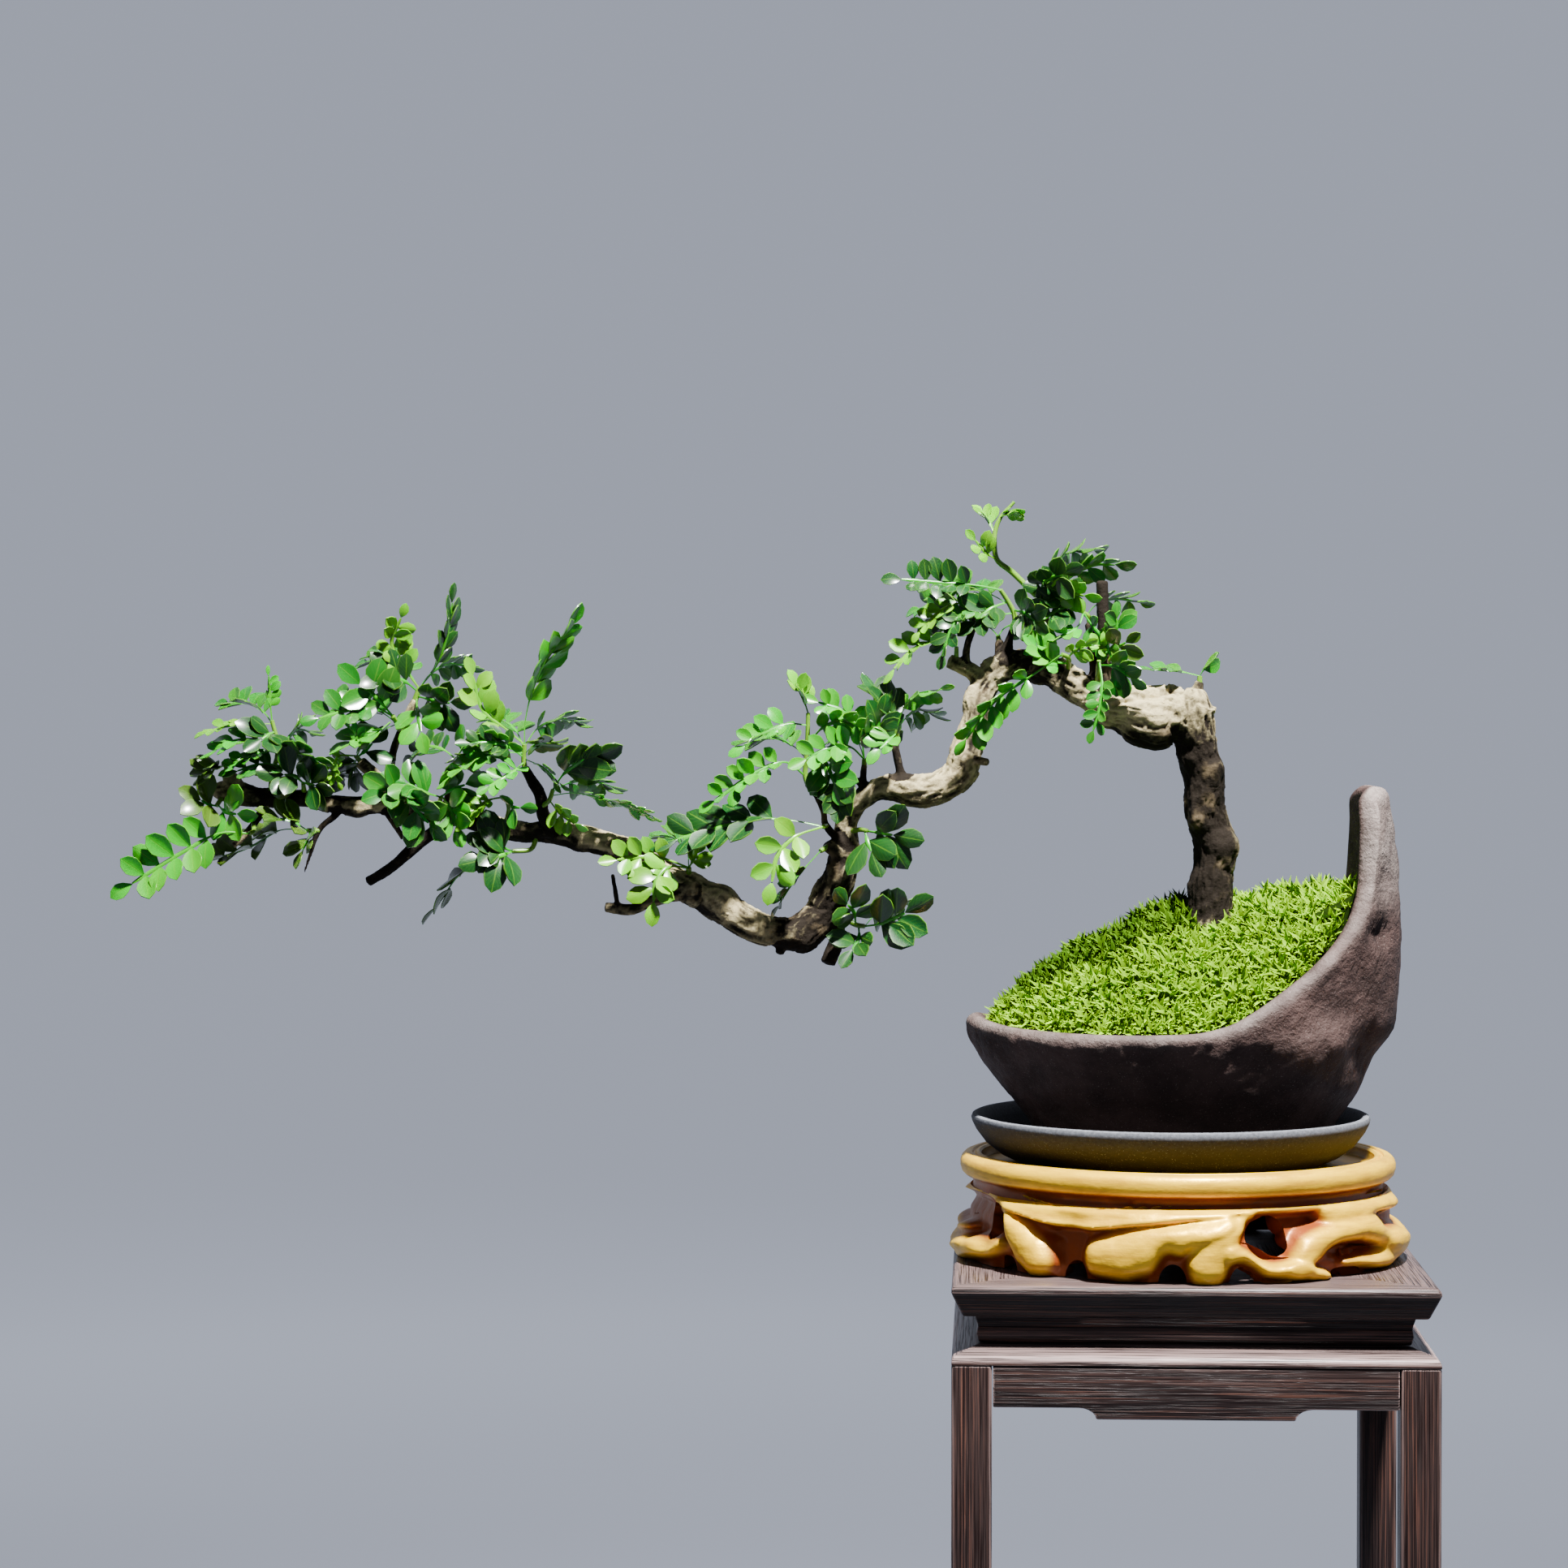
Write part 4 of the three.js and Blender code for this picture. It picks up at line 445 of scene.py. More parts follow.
            ("mid", 2, 9.5, 15, 25, 60, [(-255.2, 330.8, -5), (-258, 331, -8), (-261, 330, -9.5)]),
            ("mid", 3, 9.8, 18, 22, 62,
             [(-255.2, 330.8, -5), (-252.5, 326, -9), (-249.5, 322.5, -10), (-247, 320, -10.5)]),
        ],
    ),
    "left_short": (
        [(-243.5, 325, 0.9, 0.5), (-243, 328.5, 0.7, -2.5)],
        [
            ("mid", 2, 9.5, 25, 25, 60, [(-243, 328.5, -2.5), (-239, 331, -5), (-235, 332.5, -6)]),
            ("mid", 3, 10, 40, 20, 55, [(-243, 328.5, -2.5), (-248, 330, -6), (-254, 333, -8)]),
            ("bright", 3, 9, 12, 25, 60, [(-242.8, 329, -2.6), (-240, 325, -7), (-238, 319, -9)]),
        ],
    ),
    "left_below": (
        [(-211.5, 315, 0.9, 2), (-213.2, 311.5, 0.8, 1), (-219.4, 310.7, 0.8, -1)],
        [
            ("dark", 3, 10.5, 20, 20, 60,
             [(-219.4, 310.7, -1), (-223, 312.2, -3.5), (-227, 313.2, -5)]),
            ("dark", 2, 11, 15, 20, 60,
             [(-219.4, 310.7, -1), (-222.5, 309.5, -6), (-227, 308.5, -8.5)]),
            ("dark", 3, 9.5, 84, 8, 20,
             [(-219.4, 310.7, -1), (-227, 309, 5), (-236, 304, 9), (-244, 293, 12)]),
        ],
    ),
    "far_low": (
        [(-304.8, 319.6, 0.9, -6.5), (-304.8, 317, 0.8, -10), (-306, 316.5, 0.8, -11)],
        [
            ("bright", 5, 10, 16, 22, 72,
             [(-306, 316.5, -11), (-316, 316.5, -13), (-327, 311, -15), (-345, 300, -18)]),
        ],
    ),
    "far_under": (
        [(-283.2, 317.3, 0.9, -5.5), (-287, 317.5, 0.8, -7.5)],
        [
            ("olive", 5, 9.5, 60, 25, 60,
             [(-287, 317.5, -7.5), (-296, 317.5, -1), (-306, 312, 2.5), (-319, 307.5, 3.5)]),
            ("olive", 3, 9.5, 60, 25, 60,
             [(-287, 317.5, -7.5), (-291, 320, -11.5), (-296, 321.5, -13)]),
            ("olive", 2, 8, 45, 25, 60,
             [(-286, 317.4, -7.2), (-287, 314, -11), (-288.5, 311, -12.5)]),
        ],
    ),
    "far_end": (
        [(-315, 328.5, 0.9, -3.5), (-317, 325.5, 0.8, -6)],
        [
            ("olive", 2, 10, 25, 20, 60, [(-317, 325.5, -6), (-319.5, 326, -8), (-322, 327.3, -9)]),
            ("bright", 2, 9.5, 15, 20, 60,
             [(-316.7, 326, -5.7), (-314, 323.5, -9.5), (-310.5, 322.8, -11.5)]),
        ],
    ),
    "far_tall": (
        [
            (-299, 329.5, 1, -5), (-298.5, 336, 0.9, -5.5), (-296.5, 344, 0.8, -5.5),
            (-298.6, 353.5, 0.7, -5),
        ],
        [
            ("bright", 4, 7.6, 50, 45, 55,
             [(-298.6, 353.5, -5), (-299.2, 360, -5.5), (-299.6, 368, -6)]),
            ("lime", 5, 8.2, 74, 14, 48,
             [(-298.4, 352.5, -5), (-305, 352.3, -7), (-312, 351.8, -9), (-320, 350, -11)]),
            ("bright", 4, 10.5, 52, 20, 50,
             [(-296.8, 344, -5.5), (-303, 342.5, -10), (-308, 340.5, -12), (-313, 338, -13)]),
            ("dark", 2, 9.5, 20, 25, 60,
             [(-297.6, 350, -5.2), (-300, 348.8, -9), (-302, 347.5, -11)]),
            ("mid", 5, 9.5, 60, 25, 60,
             [(-298, 351.5, -5), (-301, 356, 3), (-306, 359, 11), (-313, 359, 18)]),
            ("mid", 4, 9.5, 60, 25, 60,
             [(-296.5, 344, -5.5), (-293, 348, 3), (-290, 350.5, 11), (-286, 350, 18)]),
            ("bright", 4, 10.5, 62, 14, 50,
             [(-296.6, 343, -5.5), (-303, 347, -8), (-311, 347, -11), (-317, 344, -13)]),
            ("mid", 3, 10, 58, 16, 52, [(-296.6, 343.5, -5.5), (-291, 343, -9), (-285, 341, -12)]),
        ],
    ),
    "far_large": (
        [(-256.4, 350.5, 1, 4.5), (-257.2, 352.5, 0.9, 0.5), (-258.7, 355, 0.8, -3)],
        [
            ("mid", 4, 11.6, 24, 22, 60,
             [(-258.7, 355, -3), (-265, 358, -6), (-273, 357, -9), (-283, 354.3, -11)]),
            ("mid", 2, 11.5, 15, 20, 60, [(-258.7, 355, -3), (-264, 361, -5.5), (-269, 365.3, -7)]),
            ("mid", 5, 9.5, 60, 25, 60,
             [(-257.2, 352.5, 0.5), (-262, 356, 10), (-269, 359, 18), (-277, 359, 25)]),
            ("bright", 3, 10, 60, 16, 50, [(-257.2, 352.5, 0.5), (-263, 350, -5), (-271, 347, -9)]),
        ],
    ),
    "far_tip": (
        [(-313.2, 335.6, 0.8, -4), (-314, 338.5, 0.7, -4)],
        [
            ("olive", 3, 8.5, 60, 25, 55,
             [(-314, 338.5, -4), (-316.5, 338.3, -6), (-319, 336.5, -7.5)]),
        ],
    ),
    "far_inner": (
        [(-288, 330.5, 0.9, -5), (-288.3, 333, 0.7, -8)],
        [
            ("dark", 3, 10, 20, 25, 60,
             [(-288.3, 333, -8), (-291, 335.3, -10.5), (-294.5, 335.8, -12)]),
            ("dark", 2, 9.5, 20, 25, 60,
             [(-288.3, 333, -8), (-286.5, 332.8, -10.5), (-284.5, 332.3, -11.5)]),
            ("mid", 4, 10, 40, 20, 55,
             [(-288.3, 333, -8), (-295, 338, -9), (-303, 339, -10), (-310, 337, -11)]),
            ("dark", 3, 9, 60, 20, 55, [(-288, 333, -6), (-282, 336, -3), (-276, 336, 0)]),
        ],
    ),
    "far_drooping": (
        [(-268.9, 339.6, 0.9, -3), (-271, 342, 0.8, -4)],
        [
            ("lime", 5, 8.5, 25, 25, 55,
             [(-271, 342, -4), (-276.5, 341.7, -8), (-278.5, 337.5, -10), (-277, 333.5, -11)]),
            ("mid", 4, 8.5, 55, 35, 45,
             [(-270.7, 341.6, -3.8), (-269.5, 345, -8), (-271, 349, -9), (-272.5, 351, -10)]),
            ("dark", 1, 9.5, 15, 25, 60,
             [(-270.5, 341.4, -3.7), (-268, 343.5, -1), (-265.5, 346, 0.5)]),
            ("dark", 2, 9, 30, 25, 60,
             [(-270.3, 341.2, -3.6), (-271.5, 339, 0.5), (-271.3, 336.5, 2)]),
        ],
    ),
}
LIMBS = ("crown", "middle", "left", "far")

# The pot's half length by height, its rim's height by oval angle, and the moss ridge along x.
POT_LENGTH = [
    (213.9, 46), (220, 48), (227.5, 52), (234, 58.4), (240, 63), (246, 66.6), (254, 69.8),
    (262, 70.4), (280, 70.4), (300, 69.8), (320, 68.2), (332, 66),
]
RIM = [
    (0, 332), (16, 332.5), (23.5, 330), (27.6, 318), (31.1, 303), (36.7, 293), (44.3, 284.5),
    (54, 276), (63.2, 269), (72, 262.5), (80, 257.8), (90, 255.4), (110, 254.8), (140, 255.5),
    (160, 257), (180, 258.5),
]
RIDGE = [
    (-68, 258), (-60, 261.5), (-50, 269.5), (-40, 277.5), (-30, 283.5), (-20, 287.5), (-10, 292.5),
    (0, 295.5), (16, 296.5), (25, 298), (40, 300.6), (64, 300.5),
]
# Hollows (or swellings, where negative) in the pot's outer face: seen x, z, radius and depth.
DENTS = [
    (63.6, 284.5, 3.3, 2.6), (59, 262, 12, 2.6), (50, 249, 6, -1.6), (38, 243, 6, -1.4),
    (46, 256, 7, 1.8), (63, 244, 11, 4.8), (-4, 239.5, 7, 1.5), (-34, 247, 8, -0.8),
    (22, 240, 8, 1.2), (-52, 238, 8, 0.8), (66, 300, 6, 0.8), (30, 258, 6, -0.8),
]

# The lobes of the stand's skirt as they are seen from the front: x, z and half width.
LOBES = [
    [(-76, 181.5, 4.6), (-70, 182.5, 5.2), (-63, 182, 4.4)],
    [(-76.5, 184, 3.6), (-75.4, 189, 2.6)],
    [(-61.5, 194, 2.4), (-57.5, 187.5, 5.2), (-52.6, 181, 7.4), (-49.5, 177, 6.6)],
    [(-31, 178.5, 7.5), (-21, 178.5, 10), (-10, 181.8, 9.5), (2, 186, 6.6), (14, 190, 4)],
    [(22, 191, 3.4), (16, 187.6, 6), (11, 181.8, 9.5), (8, 175, 9)],
    [(16, 179.5, 4), (21, 179, 3.8), (29, 175.4, 4.2), (39, 174.4, 4.4), (50, 172.8, 1.6)],
    [(37, 176, 5.6), (43, 182.5, 6.6), (51, 188, 7), (60, 190, 6.6), (68.5, 187, 6)],
    [(48, 193.2, 3.4), (57, 196, 4), (68, 197.4, 4)],
    [(73, 186, 5), (67, 179.6, 4.6), (56, 177, 2.8)],
]
# The lower edge of the smooth band over the lobes: x and z.
WAVE = [
    (-76, 201), (-63, 196), (-60, 193.9), (-53, 191), (-47.4, 189.3), (-40.5, 187.6),
    (-33.7, 187), (-17.7, 188.2), (-1.6, 189.9), (19, 192.5), (30, 194.5), (60, 200), (76, 204),
]
# Where the skirt is cut through, and where it is hollowed: x, z, half width and half height,
# with the hollow's depth.
OPENINGS = [
    (-66.2, 190.4, 2.8, 6), (-61.6, 172, 2.4, 7), (-38.6, 171, 4, 6), (-4, 168.5, 5, 7),
    (20.6, 168.5, 4.4, 6.6), (29.3, 184.9, 7.4, 7), (57, 168.5, 8, 7.6),
]
HOLLOWS = [
    (-38.4, 180, 5.6, 9, 0.75), (38, 191.2, 14, 5, 0.62), (30, 187, 9, 9, 0.3),
    (57.5, 181.4, 8.5, 2.8, 0.62), (68.5, 191.5, 2.8, 3.2, 0.6), (-61.2, 189, 1.4, 8, 0.5),
    (-72, 194, 5, 7, 0.6), (-77, 183, 3, 6, 0.25),
    (-43.5, 186, 5, 1.8, 0.5), (-5.6, 177, 3.6, 4.4, 0.6), (33.5, 178.6, 4, 1.4, 0.35),
    (22, 189.2, 2.2, 2.4, 0.3), (-74, 187, 4, 1.4, 0.4), (45, 190.6, 2.6, 1.3, 0.3),
]


def spot_seen(x, z, y):
    """The point at depth y that is seen where (x, z) lies in the plane y = 0."""
    scale = (y - EYE.y) / -EYE.y
    return Vector((EYE.x + (x - EYE.x) * scale, y, EYE.z + (z - EYE.z) * scale))


def seen(spot):
    scale = -EYE.y / (spot[1] - EYE.y)
    return EYE.x + (spot[0] - EYE.x) * scale, EYE.z + (spot[2] - EYE.z) * scale


def clamp(value, low=0.0, high=1.0):
    return min(max(value, low), high)


def blend(low, high, share):
    return low + (high - low) * share


def eased(value, low, high):
    share = clamp((value - low) / (high - low))
    return share * share * (3 - 2 * share)


def along(points, x):
    """The value at x on a smooth line through points of (x, value) that adds no bumps."""
    if x <= points[0][0]:
        return points[0][1]
    if x >= points[-1][0]:
        return points[-1][1]
    k = next(i for i, point in enumerate(points) if point[0] > x) - 1

    def slope(i):
        if i <= 0 or i >= len(points) - 1:
            return 0.0
        steps = [
            (points[j + 1][1] - points[j][1]) / (points[j + 1][0] - points[j][0])
            for j in (i - 1, i)
        ]
        return 0.0 if steps[0] * steps[1] <= 0 else 2 * steps[0] * steps[1] / sum(steps)

    (x0, v0), (x1, v1) = points[k], points[k + 1]
    wide, t = x1 - x0, (x - x0) / (x1 - x0)
    bend = slope(k) * t * (1 - t) ** 2 * wide - slope(k + 1) * t * t * (1 - t) * wide
    return v0 + (v1 - v0) * t * t * (3 - 2 * t) + bend


def rough(spot, size, seed=0.0):
    """Smooth noise between about -1 and 1, with lumps of a size in millimetres."""
    return noise.noise(Vector(spot) / size + Vector((seed, 7.3 * seed, 1.7 * seed)))


# Settings


def length_setting(name, description, default):
    return FloatProperty(name=name, description=description, default=default, unit="LENGTH")


def colour_setting(name, description, *rgb):
    linear = [((c / 255 + 0.055) / 1.055) ** 2.4 for c in rgb]
    return FloatVectorProperty(
        name=name, description=description, default=linear, subtype="COLOR", min=0, max=1
    )


class TableSettings(bpy.types.PropertyGroup):
    width: length_setting("Width", "Side of the square table top", 0.150)
    edge: length_setting("Edge", "Thickness of the moulded edge of the top", 0.010)
    leg: length_setting("Leg", "Side of a square leg", 0.0125)
    apron: length_setting("Apron", "Thickness of an apron", 0.009)
    wood: colour_setting("Wood", "The dark of the grain", 20, 9, 8)
    streak: colour_setting("Streak", "The pale lines of the grain", 86, 50, 36)
    # Also the colour of the painted sheen and painted highlights on the table's upper faces and
    # rounded slopes.
    worn_and_lit: colour_setting("Worn", "The rubbed edges", 178, 152, 147)


class StandSettings(bpy.types.PropertyGroup):
    ring: length_setting("Ring", "Radius of the moulded ring", 0.0703)
    foot: length_setting("Foot", "Radius of the carved foot", 0.0745)
    wall: length_setting("Wall", "Thickness of the carved skirt", 0.0065)
    gold: colour_setting("Gold", "The lacquered wood", 252, 200, 10)
    # The brown of the hollows is painted shade there.
    shaded_recess: colour_setting("Recess", "The wood in the hollows", 142, 64, 22)


class SaucerSettings(bpy.types.PropertyGroup):
    rim: length_setting("Rim", "Radius of the rim", 0.0645)
    foot: length_setting("Foot", "Radius of the foot", 0.050)
    height: length_setting("Height", "Height of the rim", 0.0156)
    clay: colour_setting("Clay", "The charcoal clay", 22, 20, 21)


class PotSettings(bpy.types.PropertyGroup):
    wall: length_setting("Wall", "Thickness of the wall", 0.0065)
    breadth: FloatProperty(name="Breadth", description="Width against length", default=0.714)
    drain: length_setting("Drain", "Radius of the drain hole", 0.005)
    clay: colour_setting("Clay", "The unglazed clay", 68, 52, 48)
    # Also the colour of the painted highlight on the upsweep.
    worn_and_lit: colour_setting("Worn", "The clay along the rim", 150, 138, 131)


class MossSettings(bpy.types.PropertyGroup):
    frond: length_setting("Frond", "Length of a frond", 0.0062)
    spacing: length_setting("Spacing", "Space between tufts", 0.00172)
    bright: colour_setting("Bright", "Fronds in the sun", 136, 186, 3)
    # Deep: a deeper green, darkened further as painted shadow of the trunk and the crown.
    deep: colour_setting("Deep", "Fronds behind the trunk", 60, 96, 14)
    bed: colour_setting("Bed", "The bed under the fronds", 24, 40, 6)


class TreeSettings(bpy.types.PropertyGroup):
    bark: colour_setting("Bark", "The pale bark", 206, 190, 142)
    # Also the colour of the painted shade on the trunk and limbs.
    old: colour_setting("Old bark", "Dead stubs and deep wrinkles", 27, 21, 14)
    broad: FloatProperty(name="Broad", description="Leaflet width against length", default=0.6)
    # The dark tone is painted shade for leaves that lie in shade, bright is painted light for
    # leaves in the light, and olive is the paler undersides, on some whole leaves also a painted
    # dim shade.
    dark: colour_setting("Dark", "Old leaves", 14, 66, 18)
    mid: colour_setting("Mid", "Most leaves", 28, 112, 20)
    bright: colour_setting("Bright leaf", "Leaves in the light", 40, 152, 8)
    lime: colour_setting("Lime", "Young leaves", 92, 168, 4)
    olive: colour_setting("Olive", "Leaves seen from below", 64, 98, 22)
    stalk: colour_setting("Stalk", "Green stalks and midribs", 100, 150, 26)


class StageSettings(bpy.types.PropertyGroup):
    floor: colour_setting("Floor", "The pale floor and backdrop", 83, 87, 97)
    backdrop: colour_setting("Backdrop", "The glow of the backdrop", 224, 232, 253)
    sky: colour_setting("Surroundings", "The light all round", 196, 202, 212)
    key: FloatProperty(name="Key", description="Power of the main light", default=18, unit="POWER")
    fill: FloatProperty(name="Fill", description="Strength of the light overhead", default=0.10)
    glow: FloatProperty(name="Glow", description="Brightness of the backdrop", default=0.47)


def settings(name):
    return getattr(bpy.context.scene, "bonsai_" + name)


# Finishes


def join(finish, value, socket):
    if isinstance(value, bpy.types.NodeSocket):
        finish.node_tree.links.new(value, socket)
    else:
        socket.default_value = value


def node(finish, kind, inputs=None, **choices):
    """A shader node, whose inputs are given by name or number as values or sockets."""
    made = finish.node_tree.nodes.new("ShaderNode" + kind)
    for name, value in choices.items():
        setattr(made, name, value)
    for name, value in (inputs or {}).items():
        join(finish, value, made.inputs[name])
    return made


def new_finish(name, **sockets):
    finish = bpy.data.materials.new(name)
    finish.use_nodes = True
    shader = finish.node_tree.nodes["Principled BSDF"]
    for socket, value in sockets.items():
        join(finish, value, shader.inputs[socket.replace("_", " ")])
    return finish, shader


def opaque(colour):
    return (*colour, 1)


def millimetres(finish, stretch=(1, 1, 1)):
    """The object's own coordinates in millimetres, from the middle of the table."""
    coordinates = node(finish, "TexCoord").outputs["Object"]
    centred = node(finish, "Mapping", {"Vector": coordinates, "Location": -TO_FRAME.translation})
    scale = [share / MM for share in stretch]
    return node(finish, "Mapping", {"Vector": centred.outputs[0], "Scale": scale}).outputs[0]


def lumps(finish, vector, size, detail=3.0, roughness=0.55):
    """Noise from 0 to 1, with lumps of a size in the vector's units."""
    inputs = {"Vector": vector, "Scale": 1 / size, "Detail": detail, "Roughness": roughness}
    return node(finish, "TexNoise", inputs).outputs["Fac"]


def between(finish, value, low, high):
    """0 where the value is at low, 1 at high, and eased between."""
    inputs = {"Value": value, "From Min": low, "From Max": high}
    return node(finish, "MapRange", inputs, interpolation_type="SMOOTHSTEP").outputs[0]


def mixed(finish, share, low, high, blend_type="MIX"):
    """Two colours mixed."""
    low, high = [v if isinstance(v, bpy.types.NodeSocket) else opaque(v[:3]) for v in (low, high)]
    made = node(finish, "Mix", {0: share, 6: low, 7: high}, data_type="RGBA")
    made.blend_type = blend_type
    return made.outputs[2]


def maths(finish, operation, a, b=0.0):
    return node(finish, "Math", {0: a, 1: b}, operation=operation).outputs[0]


def painted(finish, name):
    return node(finish, "Attribute", attribute_name=name)


def raised(finish, shader, height, depth, strength=0.6):
    """Bump of a depth in millimetres."""
    inputs = {"Height": height, "Distance": depth * MM, "Strength": strength}
    join(finish, node(finish, "Bump", inputs).outputs[0], shader.inputs["Normal"])


def dark_wood(name, upright):
    """Open-grained dark wood. The grain of a frame runs along each side up to its mitres."""
    wood = settings("table")
    finish, shader = new_finish(name, Specular_IOR_Level=0.15, Coat_Weight=0.2, Coat_Roughness=0.3)
    parts = node(finish, "SeparateXYZ", {0: millimetres(finish)}).outputs
    if upright:
        ways = [parts[2], parts[0], parts[1]]
    else:
        sizes = [maths(finish, "ABSOLUTE", part) for part in parts[:2]]
        on_side = maths(finish, "GREATER_THAN", sizes[0], sizes[1])
        ways = [
            node(finish, "Mix", {0: on_side, 2: parts[0], 3: parts[1]}).outputs[0],
            node(finish, "Mix", {0: on_side, 2: parts[1], 3: parts[0]}).outputs[0],
            parts[2],
        ]
    lengthwise = maths(finish, "MULTIPLY", ways[0], 0.012)
    grain = node(finish, "CombineXYZ", {0: lengthwise, 1: ways[1], 2: ways[2]}).outputs[0]
    fibre = lumps(finish, grain, 0.5, 3, 0.6)
    pores = between(finish, lumps(finish, grain, 0.35, 2, 0.6), 0.50, 0.66)
    broad = lumps(finish, grain, 7, 2)
    colour = mixed(finish, between(finish, fibre, 0.5, 0.7), wood.wood, wood.streak)
    dim = maths(finish, "MULTIPLY", between(finish, broad, 0.62, 0.40), 0.55)
    colour = mixed(finish, dim, colour, wood.wood)
    # The attribute mixes in the pale colour for scuffed edges and, on the board, neck and frame,
    # for a painted sheen on the upper faces and painted highlights on the rounded slopes.
    rubbed_and_lit = maths(finish, "MULTIPLY", painted(finish, "wear").outputs["Fac"], 0.8)
    rubbed_and_lit = maths(finish, "MULTIPLY", rubbed_and_lit, between(finish, fibre, 0.34, 0.56))
    colour = mixed(finish, rubbed_and_lit, colour, wood.worn_and_lit)
    join(finish, colour, shader.inputs["Base Color"])
    gloss = maths(finish, "ADD", maths(finish, "MULTIPLY", pores, 0.3), 0.34)
    join(finish, gloss, shader.inputs["Roughness"])
    raised(finish, shader, maths(finish, "SUBTRACT", fibre, pores), 0.35)
    return finish


def golden_wood():
    wood = settings("stand")
    finish, shader = new_finish("golden wood", Metallic=0.25, Coat_Weight=0.25, Coat_Roughness=0.25)
    shader.inputs["Specular Tint"].default_value = (1, 0.85, 0.45, 1)
    spots = millimetres(finish)
    streaks = lumps(finish, millimetres(finish, (0.12, 0.12, 1)), 2.2, 4, 0.65)
    blotches = lumps(finish, spots, 9, 3)
    # The depth attribute is painted shade in the hollows and in the ring's cove; the blotches add a
    # random tone.
    depth = painted(finish, "depth").outputs["Fac"]
    depth = maths(finish, "ADD", depth, maths(finish, "MULTIPLY", blotches, 0.35))
    warm = mixed(finish, between(finish, streaks, 0.35, 0.75), wood.gold, (0.62, 0.33, 0.008))
    colour = mixed(finish, between(finish, depth, 0.28, 1.0), warm, wood.shaded_recess)
    join(finish, colour, shader.inputs["Base Color"])
    gloss = maths(finish, "ADD", maths(finish, "MULTIPLY", blotches, 0.3), 0.28)
    join(finish, gloss, shader.inputs["Roughness"])
    chisel = maths(finish, "ADD", streaks, lumps(finish, spots, 1.6, 2))
    raised(finish, shader, chisel, 0.3, 0.35)
    return finish


def clay(name, base, worn_and_lit, grit, gloss):
    finish, shader = new_finish(name, Specular_IOR_Level=0.2)
    spots = millimetres(finish)
    patches = lumps(finish, spots, 14, 4, 0.6)
    fine = lumps(finish, spots, 1.1, 4, 0.7)
    shade = between(finish, patches, 0.3, 0.7)
    colour = mixed(finish, shade, [0.62 * c for c in base], [1.25 * c for c in base])
    scraped = maths(finish, "MULTIPLY", fine, 1.3)
    # The attribute holds scuffing along the rims and painted light: a painted highlight on the
    # pot's upsweep, and on the saucer a paler lip over a painted-shade lower body.
    rubbed_and_lit = maths(finish, "MULTIPLY", painted(finish, "wear").outputs["Fac"], scraped)
    colour = mixed(finish, rubbed_and_lit, colour, worn_and_lit)
    specks = between(finish, lumps(finish, spots, 0.5, 1), 0.66, 0.74)
    colour = mixed(finish, maths(finish, "MULTIPLY", specks, 0.35), colour, worn_and_lit)
    join(finish, colour, shader.inputs["Base Color"])
    rough_share = maths(finish, "ADD", maths(finish, "MULTIPLY", fine, 0.25), gloss)
    join(finish, rough_share, shader.inputs["Roughness"])
    pits = lumps(finish, spots, 3.2, 3, 0.6)
    height = maths(finish, "ADD", fine, maths(finish, "MULTIPLY", pits, 2))
    raised(finish, shader, height, grit, 0.8)
    return finish


def bark_finish():
    tree = settings("tree")
    finish, shader = new_finish("bark", Specular_IOR_Level=0.12)
    spots = millimetres(finish)
    # The attribute holds aged bark and painted shade.
    age = painted(finish, "age").outputs["Fac"]
    bent = node(finish, "TexNoise", {"Vector": spots, "Scale": 0.25}).outputs["Color"]
    bent = node(finish, "VectorMath", {0: bent, 1: (5, 5, 5)}, operation="MULTIPLY").outputs[0]
    bent = node(finish, "VectorMath", {0: spots, 1: bent}, operation="ADD").outputs[0]
    folds = node(
        finish, "TexNoise", {"Vector": bent, "Scale": 0.55, "Detail": 4, "Roughness": 0.6},
        noise_type="RIDGED_MULTIFRACTAL", normalize=True,
    )
    cracks = between(finish, folds.outputs["Fac"], 0.62, 0.35)
    fine = lumps(finish, spots, 0.8, 5, 0.7)
    broad = lumps(finish, spots, 9, 3)
    share = maths(finish, "ADD", age, maths(finish, "MULTIPLY", cracks, 0.22))
    share = maths(finish, "ADD", share, maths(finish, "MULTIPLY", fine, 0.30))
    colour = mixed(finish, between(finish, share, 0.12, 1.0), tree.bark, tree.old)
    warm = mixed(finish, between(finish, broad, 0.55, 0.75), colour, (0.30, 0.22, 0.12))
    colour = mixed(finish, 0.35, colour, warm)
    join(finish, colour, shader.inputs["Base Color"])
    shader.inputs["Roughness"].default_value = 0.82
    height = maths(finish, "SUBTRACT", fine, maths(finish, "MULTIPLY", cracks, 0.5))
    raised(finish, shader, height, 0.5, 0.8)
    return finish


